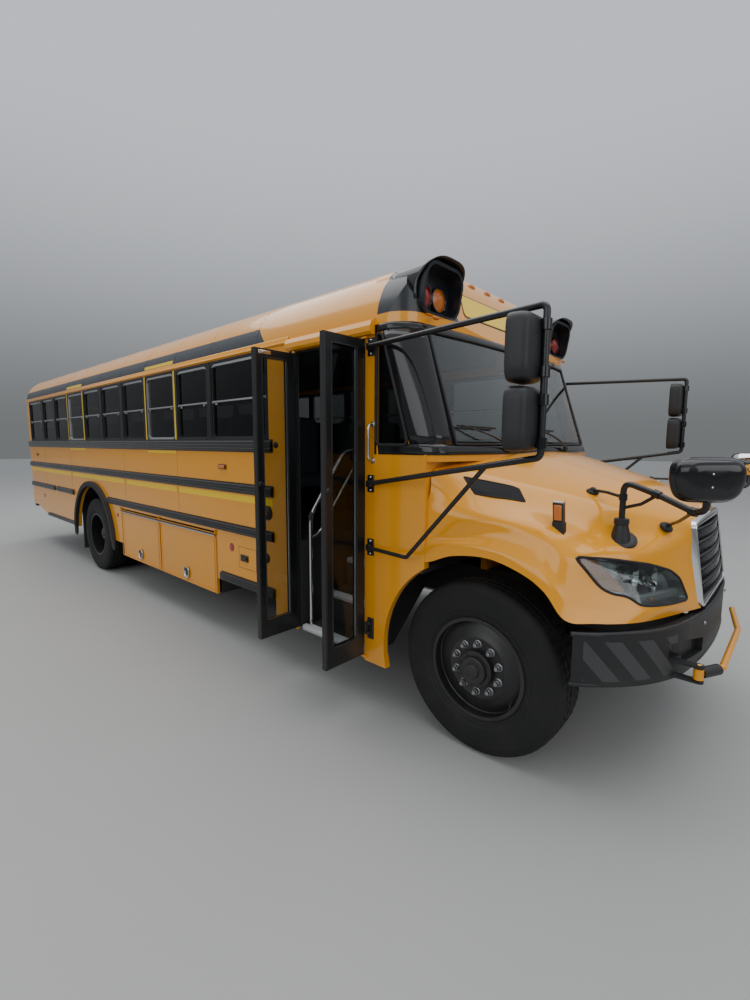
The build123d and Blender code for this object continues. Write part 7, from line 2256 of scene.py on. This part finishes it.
# %% Rear bumper and plate holder
roll = [bar([(-9.335, -1.188, z), (-9.466, -1.188, z), (-9.466, 1.188, z), (-9.335, 1.188, z)], .008, 10,
            .02, 6) for z in (.628, .882)]
piece("rear_bumper_rolls", bundle(roll), "root", *BLACK, smooth=60)
piece("plate_holder", block(-9.471, -9.476, -.165, .165, .680, .840), "root", *GRAINED, bevel=.002)
piece("blank_plate", block(-9.475, -9.479, -.152, .152, .692, .828), "root", "steel", sheet_white, bevel=.001)
bolt_places = np.array([at(-9.471, y, z) for y in (-1.05, -.62, .62, 1.05) for z in (.70, .81)])
piece("rear_bumper_bolts", rivets(bolt_places, np.tile([-1.0, 0, 0], (8, 1)), .013, .008, 12), "root",
      *STEEL, smooth=60)

# %% [markdown]
# The stop arm is an octagon that folds out from the driver's side. It keeps its white border and
# its two lamps on each face, and has no word on it.

# %% Stop arm: border and lamps, with no lettering
stop_centre = np.array([-1.215 - .040 - .2285, 0, 1.540])
eight = np.arange(8) * math.pi / 4 + math.pi / 8


def octagon(apothem):
    """Eight corners, given the distance from the middle to an edge."""
    return np.stack([np.cos(eight), np.sin(eight)], 1) * apothem / math.cos(math.pi / 8)


borders = []
for y, sign in ((1.2458, 1), (1.2342, -1)):
    ring = [spread(FRONT + stop_centre[0] + edge[:, 0], y + sign * lift, stop_centre[2] + edge[:, 1])
            for edge, lift in ((octagon(.2265), -.0004), (octagon(.2265), .0008), (octagon(.2120), .0008),
                               (octagon(.2120), -.0004))]
    borders.append(grid(np.array(ring), wrap_u=True, wrap_v=True))
piece("stop_arm_border", bundle(borders), "stop_arm_body", "stop_red", sheet_white)
stop_lamps, stop_rings = [], []
for z in (1.540 + .150, 1.540 - .150):
    for y, sign in ((1.246, 1), (1.234, -1)):
        stop_lamps.append(turned([(y, .040), (y + sign * .006, .039), (y + sign * .011, .026),
                                  (y + sign * .0125, .010), (y + sign * .0125, .0001)],
                                 at(stop_centre[0], 0, z), "y", 32))
        stop_rings.append(turned([(y - sign * .001, .040), (y + sign * .005, .040), (y + sign * .005, .048),
                                  (y - sign * .001, .050)], at(stop_centre[0], 0, z), "y", 32, hole=True))
piece("stop_arm_lamps", bundle(stop_lamps), "stop_arm_body", "stop_red", red_lens, smooth=50)
piece("stop_arm_rings", bundle(stop_rings), "stop_arm_body", "dark_plastic", rubber_seal, smooth=40)

# %% [markdown]
# A hatch's lid is an oval with squared corners, drawn in towards its middle while its height
# follows a profile.

# %% Roof hatches: a lipped lid with a shallow crown
lids = []
for x in (-3.400, -7.300):
    turn = np.linspace(0, 2 * math.pi, 64, endpoint=False)
    square_x, square_y = squarish(np.cos(turn), .3), squarish(np.sin(turn), .3)
    profile = [(1.0, 3.1385), (1.005, 3.1300), (1.0, 3.1420), (.975, 3.1455), (.90, 3.1460), (.86, 3.1410),
               (.80, 3.1400), (.74, 3.1440), (.40, 3.1470), (.001, 3.1475)]
    lids.append(grid(np.array([spread(FRONT + x + square_x * .328 * share, square_y * .328 * share, z)
                               for share, z in profile]), wrap_v=True))
piece("hatch_lids", bundle(lids), "root", *GRAINED, smooth=50)

# %% [markdown]
# Last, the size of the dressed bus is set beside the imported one's. They differ by the thickness
# of paint, rubber and glass.

# %% Sizes and finish
shown_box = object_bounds()
sizes = {"cad": [list(corner) for corner in cad_box], "visual": [list(corner) for corner in shown_box]}
print("CAD box", [[round(v, 3) for v in c] for c in cad_box], "visual box",
      [[round(v, 3) for v in c] for c in shown_box])
